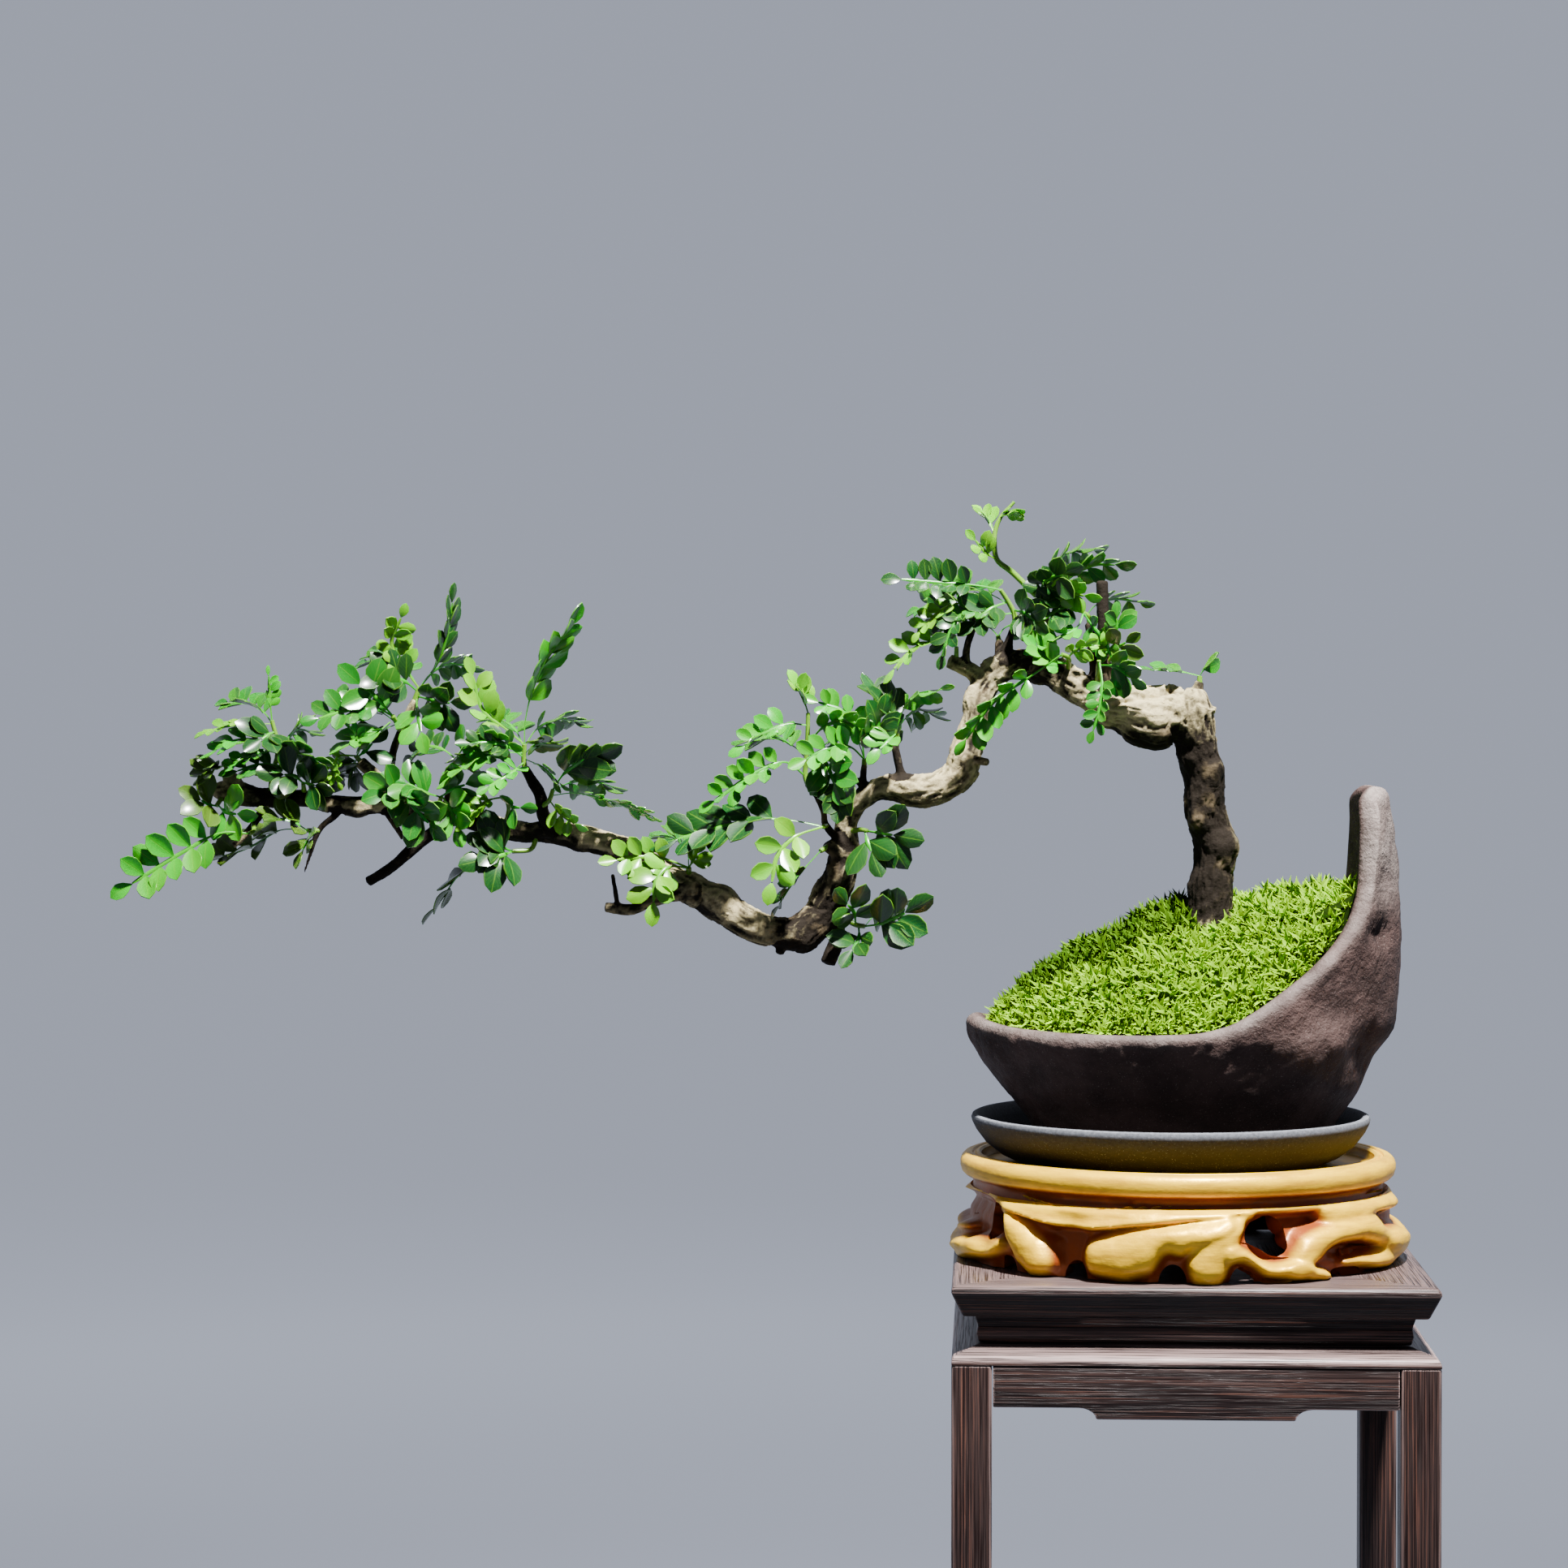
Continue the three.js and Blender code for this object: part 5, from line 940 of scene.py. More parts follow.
def leaf_finish():
    """Glossy leaf, tinted by its attribute, with a pale midrib and faint side veins."""
    tree = settings("tree")
    finish, shader = new_finish("leaf", Roughness=0.5, Specular_IOR_Level=0.1)
    shader.inputs["Subsurface Weight"].default_value = 0.35
    shader.inputs["Subsurface Radius"].default_value = (0.5, 1.0, 0.15)
    shader.inputs["Subsurface Scale"].default_value = 0.0006
    shader.inputs["Coat Weight"].default_value = 1.0
    shader.inputs["Coat Roughness"].default_value = 0.25
    tint = painted(finish, "tint").outputs["Color"]
    place = node(finish, "SeparateXYZ", {0: node(finish, "UVMap", uv_map="leaf").outputs[0]})
    aside = maths(finish, "ABSOLUTE", maths(finish, "SUBTRACT", place.outputs[1], 0.5))
    midrib = between(finish, aside, 0.045, 0.012)
    swept = maths(finish, "SUBTRACT", place.outputs[0], maths(finish, "MULTIPLY", aside, 0.7))
    waves = maths(finish, "SINE", maths(finish, "MULTIPLY", swept, 44))
    veins = maths(finish, "MULTIPLY", between(finish, waves, 0.86, 1.0), 0.1)
    margin = maths(finish, "MULTIPLY", between(finish, aside, 0.44, 0.5), 0.35)
    lines = maths(finish, "MAXIMUM", maths(finish, "MULTIPLY", midrib, 0.32), veins)
    lines = maths(finish, "MAXIMUM", lines, margin)
    mottle = lumps(finish, millimetres(finish), 2.5, 3)
    dull = mixed(finish, mottle, tint, (0.30, 0.34, 0.20), "MULTIPLY")
    colour = mixed(finish, 0.25, tint, dull)
    join(finish, mixed(finish, lines, colour, tree.stalk), shader.inputs["Base Color"])
    raised(finish, shader, maths(finish, "SUBTRACT", mottle, lines), 0.12, 0.5)
    return finish


def tinted(name, gloss, grain):
    """A soft matt growth in the colours of its own attribute."""
    finish, shader = new_finish(name, Roughness=gloss, Specular_IOR_Level=0.02)
    tint = painted(finish, "tint").outputs["Color"]
    patches = lumps(finish, millimetres(finish), grain, 3)
    dim = mixed(finish, between(finish, patches, 0.35, 0.7), tint, (0.72, 0.74, 0.6), "MULTIPLY")
    join(finish, dim, shader.inputs["Base Color"])
    raised(finish, shader, patches, 0.3)
    return finish


# Shapes


def ring_body(rows, sides, place):
    """Rings of vertices, each extruded from the last and put where place(row, side) says."""
    shape = bmesh.new()
    side_of = shape.verts.layers.int.new("side")
    ring = bmesh.ops.create_circle(shape, segments=sides, radius=1)["verts"]
    for side, vertex in enumerate(ring):
        vertex[side_of] = side
    edges = list(shape.edges)
    for row in range(rows):
        if row:
            made = bmesh.ops.extrude_edge_only(shape, edges=edges)["geom"]
            ring = [part for part in made if isinstance(part, bmesh.types.BMVert)]
            edges = [
                part
                for part in made
                if isinstance(part, bmesh.types.BMEdge) and set(part.verts) <= set(ring)
            ]
        for vertex in ring:
            vertex.co = place(row, vertex[side_of])
    bmesh.ops.remove_doubles(shape, verts=shape.verts, dist=1e-4)
    shape.verts.layers.int.remove(shape.verts.layers.int["side"])
    bmesh.ops.recalc_face_normals(shape, faces=shape.faces)
    return shape


def spun(profile, centre, base, steps):
    """A round body from a profile of (radius, height), spun about its own axis."""
    shape = bmesh.new()
    verts = [shape.verts.new((centre + radius, 0, base + height)) for radius, height in profile]
    edges = [shape.edges.new(pair) for pair in zip(verts, verts[1:])]
    bmesh.ops.spin(
        shape, geom=verts + edges, cent=(centre, 0, 0), axis=(0, 0, 1),
        angle=2 * math.pi, steps=steps, use_merge=True,
    )
    bmesh.ops.remove_doubles(shape, verts=shape.verts, dist=1e-4)
    bmesh.ops.recalc_face_normals(shape, faces=shape.faces)
    return shape


def rounded(shape, size, segments=2, least=25):
    """Bevels every edge that turns by more than the least angle."""
    sharp = [e for e in shape.edges if e.calc_face_angle(0) > math.radians(least)]
    bmesh.ops.bevel(
        shape, geom=sharp, offset=size, offset_type="OFFSET", affect="EDGES",
        segments=segments, profile=0.5, material=-1, clamp_overlap=True,
    )
    return shape


def moulding(profile):
    """A square moulded body from a profile of (half width, height), spun in four steps."""
    shape = bmesh.new()
    verts = [shape.verts.new((half, half, height)) for half, height in profile]
    edges = [shape.edges.new(pair) for pair in zip(verts, verts[1:])]
    bmesh.ops.spin(
        shape, geom=verts + edges, cent=(0, 0, 0), axis=(0, 0, 1),
        angle=2 * math.pi, steps=4, use_merge=True,
    )
    bmesh.ops.remove_doubles(shape, verts=shape.verts, dist=1e-4)
    bmesh.ops.holes_fill(shape, edges=[e for e in shape.edges if e.is_boundary], sides=4)
    bmesh.ops.recalc_face_normals(shape, faces=shape.faces)
    return shape


def turn_outward(shape, middle):
    """Makes the faces of an open shell look away from its middle."""
    shape.normal_update()
    inward = sum(f.normal.dot(f.calc_center_median() - middle) < 0 for f in shape.faces)
    if inward > len(shape.faces) / 2:
        bmesh.ops.reverse_faces(shape, faces=shape.faces)


def mesh_of(shape, name="part"):
    mesh = bpy.data.meshes.new(name)
    shape.to_mesh(mesh)
    shape.free()
    return mesh


def gather(shapes):
    whole = bmesh.new()
    for shape in shapes:
        mesh = mesh_of(shape)
        whole.from_mesh(mesh)
        bpy.data.meshes.remove(mesh)
    return whole


def paint(mesh, name, values):
    """A value or a colour for every vertex, as an attribute for the finish to read."""
    if isinstance(values[0], (int, float)):
        mesh.attributes.new(name, "FLOAT", "POINT").data.foreach_set("value", values)
    else:
        flat = [channel for colour in values for channel in (*colour[:3], 1)]
        mesh.attributes.new(name, "FLOAT_COLOR", "POINT").data.foreach_set("color", flat)


def wear_edges(shape):
    """How sharply each vertex stands out, for the rubbed edges."""
    shape.verts.ensure_lookup_table()
    return [
        eased(max((e.calc_face_angle_signed(0) for e in v.link_edges), default=0), 0.3, 0.9)
        for v in shape.verts
    ]


def add_piece(name, mesh, finish, slot, *nodes, sharp=40):
    """The mesh as a finished piece of the object, in its place in the frame."""
    mesh.name = name
    mesh.transform(TO_FRAME)
    mesh.materials.append(finish)
    mesh.shade_smooth()
    mesh.set_sharp_from_angle(angle=math.radians(sharp))
    piece = bpy.data.objects.new(name, mesh)
    bpy.context.scene.collection.objects.link(piece)
    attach(piece, "root")
    if nodes:
        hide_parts(*nodes)
    return piece


# Table


def leg_shape(x, y, side, height):
    shape = bmesh.new()
    size = Matrix.Diagonal((side, side, height, 1))
    bmesh.ops.create_cube(shape, size=1, matrix=Matrix.Translation((x, y, height / 2)) @ size)
    upright = [edge for edge in shape.edges if edge.calc_length() > height / 2]
    bmesh.ops.bevel(shape, geom=upright, offset=1.1, segments=3, profile=0.5, affect="EDGES")
    return rounded(shape, 0.25, least=60)


def apron_shape(half, top, table, turn):
    """A panel of the drawn outline, extruded and turned to its side of the table."""
    reach = half - table.leg / MM - GAP
    straight, drop = top - 12.5, top - 16
    cove = [
        (36 - 5.5 * math.sin(a), straight - 3.5 * (1 - math.cos(a)))
        for a in (step * math.pi / 10 for step in range(6))
    ]
    right = [(reach, top), (reach, straight), *cove]
    left = [(-x, z) for x, z in reversed(right)]
    shape = bmesh.new()
    verts = [shape.verts.new((x, 0.2 - half, z)) for x, z in right + left]
    face = shape.faces.new(verts)
    made = bmesh.ops.extrude_face_region(shape, geom=[face])["geom"]
    back = [part for part in made if isinstance(part, bmesh.types.BMVert)]
    bmesh.ops.translate(shape, verts=back, vec=(0, table.apron / MM, 0))
    bmesh.ops.recalc_face_normals(shape, faces=shape.faces)
    rounded(shape, 0.5, least=50)
    bmesh.ops.rotate(shape, verts=shape.verts, matrix=Matrix.Rotation(turn, 3, "Z"))
    return shape


class MakeTable(bpy.types.Operator):
    """Adds the dark wooden table: top, waist, shoulder, legs and aprons"""

    bl_idname = "bonsai.table"
    bl_label = "Table"

    def execute(self, context):
        table = settings("table")
        half, under = table.width / MM / 2, TOP - table.edge / MM
        framed, upright = dark_wood("dark wood", False), dark_wood("dark wood upright", True)
        top = [
            (71.5, under), (72.6, under + 2.4), (74.4, under + 6.2), (half, under + 7.6),
            (half, under + 8.8), (half - 1.2, TOP),
        ]
        waist = [
            (66.5, under - 8.7), (67.2, under - 6), (66.8, under - 3.5), (67.8, under - GAP),
        ]
        shoulder = [
            (half, under - 14.7), (half, under - 13.9), (half - 0.2, under - 13),
            (half - 0.7, under - 12.2), (half - 1.5, under - 11.6), (half - 2.6, under - 11.2),
            (66.5, under - 9),
        ]
        # The last two numbers say how strong the painted sheen on its upper faces and the painted
        # highlight on its rounded slopes are.
        for name, node_name, profile, size, level, slope_highlight in (
            ("table_board", "table_top", top, 0.7, 0.32, 0.0),
            ("table_neck", "table_waist", waist, 0.4, 0.42, 0.0),
            ("table_frame", "table_shoulder", shoulder, 0.2, 0.42, 0.5),
        ):
            shape = rounded(moulding(profile), size, 3)
            wear = wear_edges(shape)
            mesh = mesh_of(shape)
            # Painted light: a pale sheen on the upper faces and a highlight on the rounded slopes,
            # kept where it is stronger than the scuffed edges.
            painted_sheen = [
                level * eased(up, 0, 0.6) + slope_highlight * eased(up, 0.05, 0.3) * eased(0.97 - up, 0, 0.1)
                for up in (v.normal.z for v in mesh.vertices)
            ]
            paint(mesh, "wear", [max(pair) for pair in zip(wear, painted_sheen)])
            add_piece(name, mesh, framed, "dark_wood", node_name)
        side, height = table.leg / MM, under - 15
        middle = half - side / 2
        corners = [(x, y) for x in (-middle, middle) for y in (-middle, middle)]
        shape = gather(leg_shape(x, y, side, height) for x, y in corners)
        wear = wear_edges(shape)
        mesh = mesh_of(shape)
        paint(mesh, "wear", wear)
        ends, hands = ("front", "back"), ("left", "right")
        legs = [f"leg_{end}_{hand}" for end in ends for hand in hands]
        add_piece("table_legs", mesh, upright, "dark_wood", *legs)
        turns = [step * math.pi / 2 for step in range(4)]
        shape = gather(apron_shape(half, height, table, turn) for turn in turns)
        wear = wear_edges(shape)
        mesh = mesh_of(shape)
        paint(mesh, "wear", wear)
        aprons = ["apron_" + way for way in ("front", "right", "back", "left")]
        add_piece("table_aprons", mesh, framed, "dark_wood", *aprons)
        return {"FINISHED"}


# Carved stand

STAND_X = -2.5
STAND_PANEL = 30  # height of the panel that the saucer stands on
BAND = 22.6  # height of the skirt's top over the table
RELIEF = 7.4  # depth of the skirt's carving
SAUCER_X = -4.8


def inside_opening(x, z):
    """How far a seen spot lies in the solid wood, in millimetres, and less than 0 in a cut."""
    return min(
        (math.hypot((x - ox) / wide, (z - oz) / high) - 1) * min(wide, high)
        for ox, oz, wide, high in OPENINGS
    )


def carving(x, z):
    """How far the carved skirt stands out at a seen spot, from 0 in its hollows to 1."""
    crests = 0.0
    for spine in LOBES:
        best = 0.0
        for (x0, z0, w0), (x1, z1, w1) in zip(spine, spine[1:]):
            dx, dz = x1 - x0, z1 - z0
            t = clamp(((x - x0) * dx + (z - z0) * dz) / (dx * dx + dz * dz))
            away = math.hypot(x - x0 - t * dx, z - z0 - t * dz) / blend(w0, w1, t)
            best = max(best, 1 - away**2.8)
        crests += best**3
    over = z - along(WAVE, x)
    band = 0.9 * eased(over, -0.6, 1) + 0.08 * math.exp(-(((over - 1.6) / 1.3) ** 2))
    level = (0.3**3 + crests + band**3) ** (1 / 3)
    for hx, hz, wide, high, deep in HOLLOWS:
        level -= deep * math.exp(-(((x - hx) / wide) ** 2) - ((z - hz) / high) ** 2)
    return clamp(level, -0.1, 1.1) * (0.55 + 0.45 * eased(inside_opening(x, z), 0, 3.4))


def even_out(shape, kept, turns):
    """Smooths the open edges of a shape along themselves, but not the vertices kept."""
    for _ in range(turns):
        moves = {}
        for vertex in shape.verts:
            edges = [edge for edge in vertex.link_edges if edge.is_boundary]
            if len(edges) == 2 and not kept(vertex):
                ends = [edge.other_vert(vertex).co for edge in edges]
                moves[vertex] = vertex.co.lerp((ends[0] + ends[1]) / 2, 0.6)
        for vertex, spot in moves.items():
            vertex.co = spot


class MakeStand(bpy.types.Operator):
    """Adds the round stand of golden wood: its moulded ring and its carved skirt"""

    bl_idname = "bonsai.stand"
    bl_label = "Carved stand"

    def execute(self, context):
        stand = settings("stand")
        finish = golden_wood()
        base = TOP + GAP
        ring, foot = stand.ring / MM, stand.foot / MM
        profile = [
            (0, 24), (58, 23), (63.5, 22), (66.4, 22.2), (66.1, 23.4), (66.3, 24.8), (67.2, 25.8),
            (68.8, 26.3), (ring - 0.5, 27.3), (ring, 29), (ring, 30.6), (ring - 0.5, 31.9),
            (ring - 1.5, 32.9), (ring - 2.8, 33.4), (ring - 3.8, 33.3), (ring - 4.2, 32.7),
            (ring - 4.8, 32.7), (ring - 5.2, 33.3), (ring - 6.1, 33.4), (ring - 6.8, 32.8),
            (ring - 7, 30.6), (ring - 7.4, STAND_PANEL), (0, STAND_PANEL),
        ]
        mesh = mesh_of(spun(profile, STAND_X, base, 128))
        cove = [v.co.z - base for v in mesh.vertices]
        # Painted shade in the cove under the ring, and a little on all that lies lower than 31 mm,
        # where the saucer shades the panel.
        paint(mesh, "depth", [eased(27.4 - h, 0, 2.2) * (h > 21) + 0.2 * (h < 31) for h in cove])
        add_piece("stand_ring", mesh, finish, "golden_wood", "carved_stand")

        columns, rows = 720, 40
        reach = [
            (0, foot - 1), (4, foot), (14.6, foot - 0.4), (18.6, 72.2), (21.4, 70.4), (BAND, 68),
        ]

        def on_skirt(row, column):
            angle, height = 2 * math.pi * column / columns, BAND * row / (rows - 1)
            radius = along(reach, height)
            x, y = STAND_X + radius * math.cos(angle), radius * math.sin(angle)
            return Vector((x, y, base + height))

        shape = ring_body(rows, columns, on_skirt)
        cut = []
        for vertex in shape.verts:
            x, z = seen((vertex.co.x, -abs(vertex.co.y), vertex.co.z))
            if inside_opening(x, z) < 0:
                cut.append(vertex)
                continue
            away = Vector((vertex.co.x - STAND_X, vertex.co.y, 0)).normalized()
            deep = max(eased(base + BAND - vertex.co.z, 0, 3.5), 0.8 * eased(-60 - x, 0, 4))
            gouged = 0.25 * rough(vertex.co, 5, 1) + 0.12 * rough(vertex.co, 2, 2)
            vertex.co -= away * ((1 - carving(x, z)) * (RELIEF * deep) + gouged)
        bmesh.ops.delete(shape, geom=cut, context="VERTS")
        ends = (base + 0.3, base + BAND - 0.3)
        even_out(shape, lambda vertex: not ends[0] < vertex.co.z < ends[1], 14)
        inner = [v for v in shape.verts if not v.is_boundary]
        for _ in range(2):
            bmesh.ops.smooth_vert(
                shape, verts=inner, factor=0.5, use_axis_x=True, use_axis_y=True, use_axis_z=True
            )
        turn_outward(shape, Vector((STAND_X, 0, base)))
        bmesh.ops.solidify(shape, geom=shape.faces, thickness=stand.wall / MM)
        mesh = mesh_of(shape)
        # Painted shade: the darker brown of the hollows grows with how far a spot lies inside the
        # skirt's full outline.
        recess_shades = []
        for vertex in mesh.vertices:
            radius = math.hypot(vertex.co.x - STAND_X, vertex.co.y)
            full = along(reach, vertex.co.z - base)
            recess_shades.append(clamp((full - radius - 1) / 5))
        paint(mesh, "depth", recess_shades)
        add_piece("stand_skirt", mesh, finish, "golden_wood", sharp=70)
        return {"FINISHED"}


# Saucer


class MakeSaucer(bpy.types.Operator):
    """Adds the saucer of charcoal clay"""

    bl_idname = "bonsai.saucer"
    bl_label = "Saucer"

    def execute(self, context):
        saucer = settings("saucer")
        rim, foot, top = saucer.rim / MM, saucer.foot / MM, saucer.height / MM
        base = TOP + GAP + STAND_PANEL + GAP
        profile = [
            (0, 0), (foot - 1, 0), (foot, 0.3), (foot + 5, 2.6), (rim - 4.6, 6.4),
            (rim - 1.6, 10.4), (rim - 0.3, 13), (rim, 14.2), (rim - 0.4, 15.2), (rim - 1.2, top),
            (rim - 2.2, top - 0.2), (rim - 3.2, top - 1.2), (rim - 5, top - 4), (rim - 8, 7.4),
            (foot + 2, 3.1), (foot, 3), (0, 3),
        ]
        mesh = mesh_of(spun(profile, SAUCER_X, base, 144))
        heights = [v.co.z - base for v in mesh.vertices]
        # Paler towards the lip: scuffing at the lip, with painted shade that keeps the lower body
        # darker.
        wear = [0.2 * eased(h, 4, top - 3) + 0.6 * eased(h, top - 3, top - 0.6) for h in heights]
        paint(mesh, "wear", wear)
        finish = clay("charcoal clay", saucer.clay, (0.24, 0.25, 0.28), 0.12, 0.65)
        add_piece("saucer_dish", mesh, finish, "charcoal_clay", "saucer")
        return {"FINISHED"}


# Pot

POT_X = -0.8
POT_BASE = POT_LENGTH[0][0]
POT_FLOOR = POT_BASE + 8


def rim_height(angle):
    return along(RIM, abs(math.degrees(math.atan2(math.sin(angle), math.cos(angle)))))


def pot_point(angle, height, inside):
    """A point of the pot's oval at a height, a distance inside its outer face."""
    length = along(POT_LENGTH, height)
    width = length * settings("pot").breadth
    x = POT_X + (length - inside) * math.cos(angle)
    return Vector((x, (width - inside) * math.sin(angle), height))


def pot_wall(angle, height, clear):
    """The pot's inner face at an angle and a height, less a clearance."""
    return pot_point(angle, height, settings("pot").wall / MM + 1 + clear)


def dented(spot):
    """How far the hand-shaped clay lies below the plain oval."""
    x, z = seen((spot[0], -abs(spot[1]), spot[2]))
    depth = sum(d * math.exp(-((x - px) ** 2 + (z - pz) ** 2) / r**2) for px, pz, r, d in DENTS)
    knead = 0.9 * rough(spot, 17, 1) + 0.5 * rough(spot, 8, 2) + 0.3 * rough(spot, 2.6, 3)
    creases = 0.22 - min(abs(rough(spot, 9, 4)), 0.22)
    return depth + knead + 1.8 * creases - 0.2


class MakePot(bpy.types.Operator):
    """Adds the oval pot of dark clay, whose rim sweeps up on the right"""

    bl_idname = "bonsai.pot"
    bl_label = "Pot"

    def execute(self, context):
        pot = settings("pot")
        wall, sides = pot.wall / MM, 320

        def drain(height):
            def place(angle):
                x = POT_X + pot.drain / MM * math.cos(angle)
                return Vector((x, pot.drain / MM * math.sin(angle), height))

            return place

        def face(share, inside, low=POT_BASE):
            """The pot's face a share of the way from its foot to just under its rim."""
            return lambda angle: pot_point(
                angle, blend(low, rim_height(angle) - wall / 2, share), inside
            )

        def lip(turn):
            """The rounded lip, from its outer side at 0 to its inner side at 1."""
            def place(angle):
                way = math.pi * turn
                inside = wall / 2 * (1 - math.cos(way))
                height = rim_height(angle) - wall / 2 + wall / 2 * math.sin(way)
                return pot_point(angle, height, inside)

            return place

        outer = [face(step / 40, 0.8 * (step == 0)) for step in range(40)]
        inner = [face(1 - step / 12, wall + step / 14, POT_FLOOR + 3) for step in range(1, 13)]
        rows = [
            drain(POT_BASE), *outer, *[lip(turn / 8) for turn in range(9)], *inner,
            lambda angle: pot_point(angle, POT_FLOOR, wall + 4), drain(POT_FLOOR), drain(POT_BASE),
        ]
        # The dents run from just over the foot to past the top of the lip.
        first, last = 2, 1 + len(outer) + 5

        def place(row, side):
            angle = 2 * math.pi * side / sides
            spot = rows[row](angle)
            if first <= row < last:
                away = Vector((math.cos(angle), math.sin(angle), 0))
                share = clamp((row - first) / 4) * (1 - 0.8 * clamp((row - last + 6) / 6))
                spot -= away * dented(spot) * share
            return spot

        mesh = mesh_of(ring_body(len(rows), sides, place))
        wear = []
        for vertex in mesh.vertices:
            x, y, z = vertex.co
            angle = math.atan2(y / pot.breadth, x - POT_X)
            below = rim_height(angle) - z
            # Scuffing near the lip, plus a painted highlight over the upper outer face of the
            # upsweep; faces that look inward get none and stay dark.
            near = 0.5 * eased(6 - below, 0, 6) + 0.85 * eased(z, 286, 312)
            outward = vertex.normal.x * math.cos(angle) + vertex.normal.y * math.sin(angle)
            near *= eased(outward, -0.5, 0.3)
            wear.append(clamp(near * (0.75 + 0.7 * rough(vertex.co, 6, 5))))
        paint(mesh, "wear", wear)
        finish = clay("pot clay", pot.clay, pot.worn_and_lit, 0.55, 0.55)
        add_piece("pot_bowl", mesh, finish, "pot_clay", "pot", sharp=60)
        return {"FINISHED"}


# Moss

MOSS_CLEAR = 1.2
# The lower edge of the painted shadow on the moss at the left of the trunk as it is seen, along x.
SHADED = [(-64, 256), (-52.6, 261), (-38, 267.4), (-24, 272.4), (-12.7, 279), (3.3, 283.4)]
CREST = 12  # how far behind the middle the mound is highest
MOSS_EDGE = 302.5  # the highest that the moss meets the wall
MOSS_THICK = 4.2
MOSS_HALF = (63, 43)  # half its length and width, which give the number of tufts
POT_HALF = (70, 50)  # the same of the pot round the moss
TRUNK_FOOT = (8.6, 6.8)  # its middle along x, and the space that the tufts leave round it


def mound_height(x, y):
    wall = settings("pot").wall / MM
    longest, widest = [half - wall for half in POT_HALF]
    across = clamp((x - POT_X) / longest, -1, 1)
    half = widest * math.sqrt(1 - across * across) + 1e-6
    crest = CREST * half / widest
    fall = (y - crest) / (half - crest) if y > crest else (crest - y) / (half + crest)
    edge = min(rim_height(math.acos(across)) - 0.8, MOSS_EDGE)
    return blend(along(RIDGE, x), edge, clamp(fall) ** 1.6)


def mound_point(share, angle, depth):
    edge = min(rim_height(angle) - 0.8, MOSS_EDGE)
    wall = pot_wall(angle, edge, MOSS_CLEAR - 1)
    x, y = POT_X + (wall.x - POT_X) * share, wall.y * share
    height = blend(mound_height(x, y), edge, eased(share, 0.97, 1))
    return Vector((x, y, height - depth))


def tuft_shape(draw):
    """A tuft of thin bent fronds that spread from one foot, about 1 unit tall."""
    shape = bmesh.new()
    for frond in range(8):
        lean = blend(0.2, 1.25, draw.random())
        turn = 2 * math.pi * (frond + 0.7 * draw.random()) / 8
        tall = blend(0.6, 1.0, draw.random())
        made = bmesh.ops.create_cone(shape, segments=3, radius1=0.05, radius2=0.075, depth=0.5)
        verts = made["verts"]
        bmesh.ops.translate(shape, verts=verts, vec=(0, 0, 0.25))
        top = [v for v in verts if v.co.z > 0.4]
        edges = [e for e in shape.edges if e.verts[0] in top and e.verts[1] in top]
        tips = bmesh.ops.extrude_edge_only(shape, edges=edges)["geom"]
        tips = [part for part in tips if isinstance(part, bmesh.types.BMVert)]
        bmesh.ops.pointmerge(shape, verts=tips, merge_co=(0.26, 0, 0.97))
        verts = [v for v in shape.verts if not v.tag]
        bmesh.ops.scale(shape, verts=verts, vec=(0.6, 1.6, tall))
        spin = Matrix.Rotation(turn, 3, "Z") @ Matrix.Rotation(lean, 3, "Y")
        bmesh.ops.rotate(shape, verts=verts, matrix=spin)
        for vertex in verts:
            vertex.tag = True
    return shape


